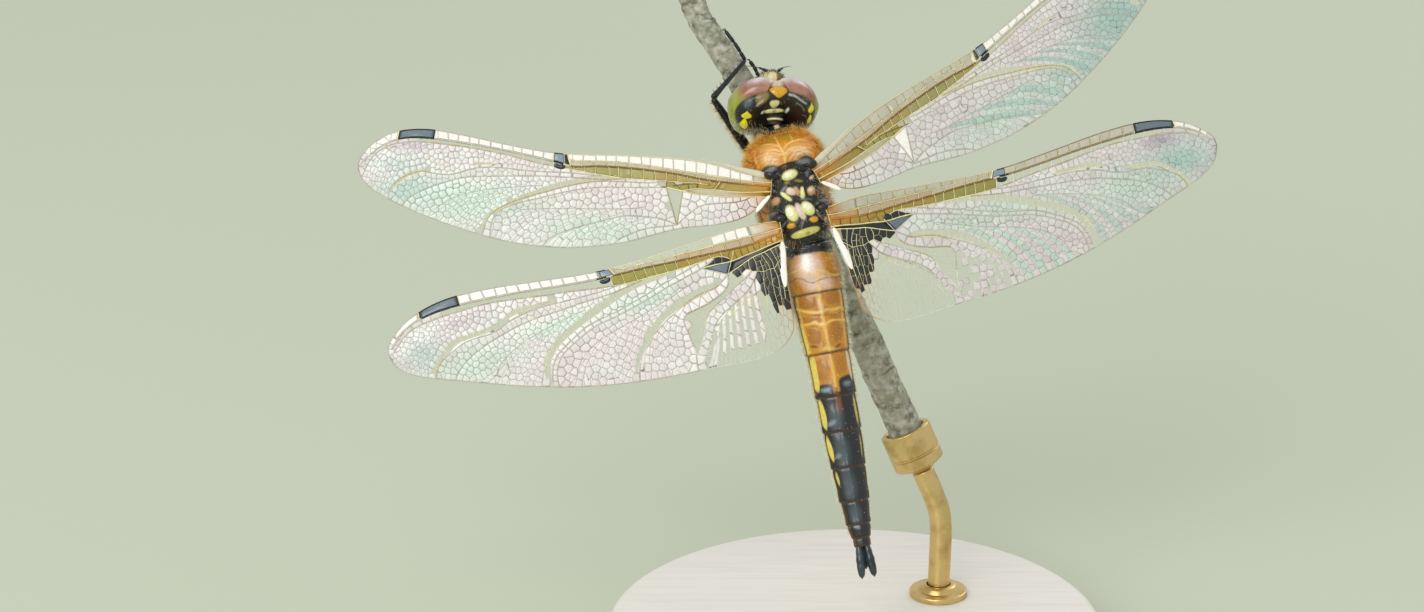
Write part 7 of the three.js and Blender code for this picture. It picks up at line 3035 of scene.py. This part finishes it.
@dataclass(frozen=True)
class Leg:
    """One leg: thigh, shin with its rows of spines, and the jointed foot that grips the twig."""

    name: str
    root: Point
    side: int
    knee: Point
    heel: float
    claw: float
    angle: float
    thigh: tuple[float, ...] = (0.38, 0.44, 0.4, 0.34, 0.28)
    shin: tuple[float, ...] = (0.31, 0.24, 0.21, 0.19)
    foot: float = 0.17
    spines: int = 9
    hairs: int = 260

    def build(self) -> None:
        """Builds the leg as one piece, and the golden fringe of its thigh."""
        x, y, z = self.root
        hip = FRAMES["body"].of(FRAMES["perch"], [(x * self.side, y + 0.1, z - 0.75)])[0]
        knee = np.array(self.knee)
        start = mix(hip, knee, 0.1)
        heel = TWIG.foot(self.heel, self.angle, 0.36)
        claw = TWIG.foot(self.claw, self.angle, 0.36)
        arch = TWIG.foot((self.heel + self.claw) / 2, self.angle, 0.42)
        shape = Shape()
        self.limb(shape, [start, knee], self.thigh, 0.07)
        self.limb(shape, [knee, heel], self.shin, 0.06)
        self.feet(shape, through([heel, arch, claw], 0.05))
        inward = TWIG.foot(self.heel, self.angle, 0) - TWIG.foot(self.heel, self.angle, 1)
        self.add_spines(shape, start, knee, inward, 0.36, self.spines - 2, 0.5)
        self.add_spines(shape, knee, heel, inward, 0.22, self.spines, 0.72)
        nodes = [f"leg_{self.name}_{part}" for part in ("femur", "tibia", "tarsus")]
        shape.install(f"leg_{self.name}_whole", FRAMES["perch"], LEG_FINISH, Slot.LEGS, *nodes)
        run = (knee - start) / np.linalg.norm(knee - start)
        skin = self.limb(Shape(), [start, knee], self.thigh, 0.07)
        fringe = Coat(f"leg_{self.name}_fringe", FRAMES["perch"], 70 + LEGS.index(self))
        outward = np.array([float(self.side), 0, 0.2])
        facing = smooth(surface_normals(skin) @ (outward - run * (outward @ run)), 0.3, 0.9)
        fringe.grow(fringe.roots(skin, 0.04 + facing, self.hairs), run, 0.62, 0.8, 0.16, 0.011)
        fringe.build(LEG_HAIR, Slot.LEGS)

    @staticmethod
    def limb(shape: Shape, ends: Sequence[Values], radii: Sequence[float], step: float) -> Values:
        """A stretch of leg with rounded ends and a faint keel. Gives back its rings of points."""
        path = through(ends, step)
        count = len(path)
        girth = stepped(radii, np.linspace(0, 1, count)) * mix(1, rounded_ends(count, 0.05), 0.9)
        points, faces = tube(path, girth, 22, 0.9)
        shape.add(points, faces, knee=np.repeat(1 - smooth(np.arange(count), 1, 6), 22) * 0.4)
        return points.reshape(count, 22, 3)

    def feet(self, shape: Shape, path: Values) -> None:
        """Three foot joints and a pair of hooked claws."""
        count = len(path)
        t = np.linspace(0, 1, count)
        joints = self.foot * (1 - 0.3 * np.exp(-(((t[:, None] - [0.28, 0.6]) / 0.03) ** 2)).sum(1))
        swell = joints * mix(1, rounded_ends(count, 0.06), 0.9)
        points, faces = tube(path, swell, 16)
        shape.add(points, faces, knee=0.0)
        end, back = path[-1], path[-4]
        ahead = (end - back) / np.linalg.norm(end - back)
        axis = TWIG.foot(self.claw, self.angle, 0) - TWIG.foot(self.claw, self.angle, 1)
        across = np.cross(ahead, axis)
        for spread in (-1, 1):
            bend = end + ahead * 0.16 + across * 0.13 * spread
            tip = end + ahead * 0.24 + across * 0.17 * spread + axis * 0.22
            hook = through([end - ahead * 0.1, bend, tip], 0.03)
            points, faces = tube(hook, np.linspace(0.07, 0.015, len(hook)), 8)
            shape.add(points, faces, knee=0.0)

    def add_spines(
        self,
        shape: Shape,
        start: Values,
        end: Values,
        inward: Values,
        girth: float,
        count: int,
        length: float,
    ) -> None:
        """Two rows of stiff spines that lean towards the foot.

        Args:
            shape: The mesh that takes them.
            start: The limb's upper end.
            end: Its lower end.
            inward: Roughly towards the twig.
            girth: The limb's radius.
            count: Spines in one row.
            length: The longest spine's length.
        """
        run = (end - start) / np.linalg.norm(end - start)
        inward = inward - run * (inward @ run)
        inward = inward / np.linalg.norm(inward)
        across = np.cross(run, inward)
        for row in (-1, 1):
            out = (inward * 0.75 + across * row * 0.65) / math.hypot(0.75, 0.65)
            for t in np.linspace(0.12, 0.93, count):
                root = mix(start, end, t) + out * girth * 0.6
                reach = length * (1 - 0.35 * t)
                tip = root + (out * 0.75 + run * 0.66) * reach
                route = np.array([root, mix(root, tip, 0.5) + out * 0.03 * reach, tip])
                points, faces = tube(route, np.array([0.05, 0.03, 0.006]), 6)
                shape.add(points, faces, knee=0.0)


LEG_ROOTS = {"fore": (1.05, 4.2, -4.1), "mid": (1.7, 3.7, -5.1), "hind": (1.9, 1.7, -5.35)}
LEGS = (
    Leg("fore_left", LEG_ROOTS["fore"], -1, (-3.9, 8.1, -6.0), 7.6, 9.2, 140),
    Leg("fore_right", LEG_ROOTS["fore"], 1, (-0.9, 9.0, -6.3), 9.9, 11.1, 15),
    Leg("mid_left", LEG_ROOTS["mid"], -1, (-7.15, 8.44, -4.2), 11.3, 13.8, 38),
    Leg("mid_right", LEG_ROOTS["mid"], 1, (1.2, 8.4, -7.7), 6.4, 8.2, 25),
    Leg("hind_left", LEG_ROOTS["hind"], -1, (-2.4, -4.2, -7.9), -5.3, -7.2, 155),
    Leg("hind_right", LEG_ROOTS["hind"], 1, (3.5, -1.4, -8.2), -4.8, -6.8, 25),
)


# ---- Stand ------------------------------------------------------------------------------------
CORE = 0.01
UP = np.array([0, 0, 1.0])

PAINTED_WOOD = PaintedWoodFinish("painted wood", roughness=0.5, coat=0.15)
BRASS = MetalFinish("brushed brass", roughness=0.33, metallic=1.0)


@dataclass(frozen=True)
class Stand:
    """The turned base, the bent rod with its flange, and the socket that holds the twig."""

    base_radius: float = 22.0
    base_height: float = 5.0
    chamfer: float = 0.7
    rod_radius: float = 1.0
    socket_length: float = 4.0
    socket_depth: float = 2.4
    socket_wall: float = 0.5
    socket_taper: float = 0.8
    straight: float = 2.2
    drift: float = 0.7
    flange_radius: float = 2.6
    flange_height: float = 1.0
    gap: float = 0.1

    def build(self) -> None:
        """Builds the stand's four parts."""
        self.build_base()
        seat, axis = self.build_socket()
        self.build_flange(self.build_rod(seat, axis))

    def build_base(self) -> None:
        """The turned base: a rounded foot, a scribed line and a rounded top edge."""
        r, h, c = self.base_radius - 0.02, self.base_height, self.chamfer
        groove = ((r, 1.55), (r - 0.12, 1.62), (r - 0.12, 1.72), (r, 1.79))
        profile = [
            (CORE, 0.0),
            (r - c / 2, 0.0),
            *self.corner(r - c / 2, c / 2, c / 2, -90),
            *groove,
            *self.corner(r - c, h - c, c, 0),
            (r * 0.5, h),
            (CORE, h),
        ]
        self.lathe(
            "stand_base_turned", profile, np.zeros(3), UP, 160, PAINTED_WOOD, Slot.PAINTED, "stand_base",
        )

    def build_socket(self) -> tuple[Values, Values]:
        """The cup round the twig's cut end.

        Returns:
            The cup's foot, and the way up the twig there.
        """
        model = FRAMES["perch"].of(FRAMES["model"], TWIG.path(0.05))
        foot = model[-1]
        axis = model[int(0.96 * (len(model) - 1))] - foot
        axis /= np.linalg.norm(axis)
        bore = TWIG.bottom_radius + TWIG.knob + self.gap
        length, outer = self.socket_length, bore + self.socket_wall
        floor = length - self.socket_depth
        lines = ((outer, 1.5), (outer - 0.1, 1.58), (outer - 0.1, 1.7), (outer, 1.78))
        profile = [
            (CORE, 0.0),
            (self.rod_radius, 0.0),
            *self.corner(outer - 0.2, self.socket_taper - 0.05, 0.2, -60),
            *lines,
            *self.corner(outer - 0.15, length - 0.15, 0.15, 0),
            (bore + 0.05, length),
            (bore, length - 0.08),
            (bore, floor),
            (CORE, floor),
        ]
        seat = foot - axis * (floor + self.gap)
        self.lathe("stand_socket_cup", profile, seat, axis, 96, BRASS, Slot.BRASS, "stand_socket")
        return seat, axis

    def build_rod(self, seat: Values, axis: Values) -> Values:
        """The bent rod from the socket down to the base.

        Args:
            seat: The socket's foot.
            axis: The way up the twig there.

        Returns:
            The rod's foot.
        """
        top = seat - axis * self.gap
        bend = top - axis * self.straight
        bottom = np.array([bend[0] + self.drift, bend[1], self.base_height + self.gap / 2])
        knee = np.array([bottom[0], bottom[1], bend[2] - self.straight])
        path = through([top, bend, knee, bottom], 0.15)
        points, faces = tube(path, np.full(len(path), self.rod_radius - 0.01), 40)
        shape = Shape()
        shape.add(points, faces)
        shape.install("stand_rod_bent", FRAMES["model"], BRASS, Slot.BRASS, "stand_rod")
        return bottom

    def build_flange(self, bottom: Values) -> None:
        """The stepped ring where the rod enters the base."""
        inner, out, up = self.rod_radius + self.gap, self.flange_radius, self.flange_height
        step = inner + up / 2
        profile = [
            (inner, 0.0),
            (out, 0.0),
            *self.corner(out - 0.2, up / 2 - 0.2, 0.2, 0),
            (step + 0.2, up / 2 + 0.05),
            (step, up - 0.12),
            (step - 0.12, up),
            (inner, up),
        ]
        self.lathe(
            "stand_flange_ring", profile, bottom, UP, 96, BRASS, Slot.BRASS, "stand_flange", open_bore=True
        )

    @staticmethod
    def corner(x: float, y: float, radius: float, start: float) -> list[tuple[float, float]]:
        """A rounded corner round a centre, from an angle up to a quarter turn."""
        return [
            (x + radius * math.cos(math.radians(a)), y + radius * math.sin(math.radians(a)))
            for a in np.linspace(start, 90 if start >= 0 else 0, 7)
        ]

    @staticmethod
    def lathe(
        name: str,
        profile: Sequence[tuple[float, float]],
        seat: Values,
        axis: Values,
        sides: int,
        finish: Finish,
        slot: Slot,
        node: str,
        open_bore: bool = False,
    ) -> None:
        """A turned part: a profile of radius and height round an axis.

        Args:
            name: The piece's name.
            profile: Radius and height, from the axis round the outside and back to the axis.
            seat: Where the profile's height is 0.
            axis: Which way the height runs.
            sides: Corners round the part.
            finish: What it is made of.
            slot: The record's material slot.
            node: The solid that it stands for.
            open_bore: Closes the profile on itself, for a ring.
        """
        first = np.cross(axis, [0.3, 1.0, 0.2])
        first /= np.linalg.norm(first)
        second = np.cross(axis, first)
        angle = np.linspace(0, 2 * math.pi, sides, endpoint=False)
        ring = np.cos(angle)[:, None] * first + np.sin(angle)[:, None] * second
        rows = list(profile) + ([profile[0]] if open_bore else [])
        points = np.concatenate([seat + ring * radius + axis * height for radius, height in rows])
        shape = Shape()
        shape.add(points, grid_faces(len(rows), sides, capped=not open_bore))
        piece = shape.build(name, FRAMES["model"], finish.material())
        piece.data.polygons.foreach_set("use_smooth", [True] * len(piece.data.polygons))
        edge = piece.modifiers.new("edges", "EDGE_SPLIT")
        edge.split_angle = math.radians(50)
        install(piece, slot, node)


# ---- Floor, lights and camera -----------------------------------------------------------------
@dataclass(frozen=True)
class FloorFinish(Finish):
    """A pale, matt studio floor."""

    tone: str = "#c6cdb8"

    def paint(self, nodes: Nodes, shader: bpy.types.Node) -> None:
        """A very faint mottle, so that the floor is not one flat colour."""
        cloth = nodes.between(nodes.noise(0.004, 3), 0.3, 0.7, 0.985, 1.01)
        nodes.feed(shader.inputs["Base Color"], nodes.blend(colour(self.tone), cloth, 1.0, "MULTIPLY"))


@dataclass(frozen=True)
class Studio:
    """The floor, the soft lights and the camera, in metres."""

    floor_size: float = 6.0
    camera_distance: float = 0.42
    aim_right: float = -7.2
    aim_down: float = -9.66
    lens: float = 123.17
    sensor: float = 36.0
    key_power: float = 3.2
    fill: float = 0.72

    def build(self) -> None:
        """Sets up everything round the model."""
        self.floor()
        self.lights()
        self.camera()

    def floor(self) -> None:
        """A wide pale floor under the stand."""
        half = self.floor_size / 2 / MM
        shape = Shape()
        shape.add([(-half, -half, 0), (half, -half, 0), (half, half, 0), (-half, half, 0)], [(0, 1, 2, 3)])
        floor = shape.build(
            "floor", FRAMES["model"], FloorFinish("floor", roughness=0.9, specular=0.1).material(),
        )

    def lights(self) -> None:
        """One large soft key from the upper left, a weaker rim and an even dome."""
        for name, place, aim, size, power in (
            ("key", (-0.3, -0.6, 0.46), (0, 0, 0.045), 0.45, self.key_power),
            ("rim", (0.45, 0.5, 0.45), (0, 0, 0.04), 0.35, self.key_power * 0.25),
        ):
            lamp = bpy.data.lights.new(name, "AREA")
            lamp.energy = power
            lamp.size = size
            light = bpy.data.objects.new(name, lamp)
            light.location = place
            run = Vector(aim) - Vector(place)
            light.rotation_euler = run.to_track_quat("-Z", "Y").to_euler()
            bpy.context.scene.collection.objects.link(light)
        world = bpy.data.worlds.new("dome")
        world.use_nodes = True
        back = world.node_tree.nodes["Background"]
        back.inputs["Color"].default_value = (1, 1, 1, 1)
        back.inputs["Strength"].default_value = self.fill
        bpy.context.scene.world = world

    def camera(self) -> None:
        """A long lens that looks down onto the insect's back."""
        perch = FRAMES["perch"]
        aim = perch.to_model(np.array([[self.aim_right, self.aim_down, 0.0]]))[0]
        turn = perch.matrix.to_3x3().normalized().to_4x4()
        view = bpy.data.cameras.new("camera")
        view.lens = self.lens
        view.sensor_width = self.sensor
        view.clip_start = 0.01
        view.clip_end = 20
        camera = bpy.data.objects.new("camera", view)
        out = turn @ Vector((0, 0, self.camera_distance))
        camera.matrix_world = Matrix.Translation(Vector(aim) + out) @ turn
        bpy.context.scene.collection.objects.link(camera)
        bpy.context.scene.camera = camera


def main() -> None:
    logging.basicConfig(level=logging.INFO, format="%(message)s", stream=sys.stdout)
    bpy.context.scene.view_settings.view_transform = "Standard"
    for part in (*wings(), Thorax(), Abdomen(), Head(), TWIG, *LEGS, Stand()):
        part.build()
    Studio().build()
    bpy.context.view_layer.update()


if __name__ == "__main__":
    main()
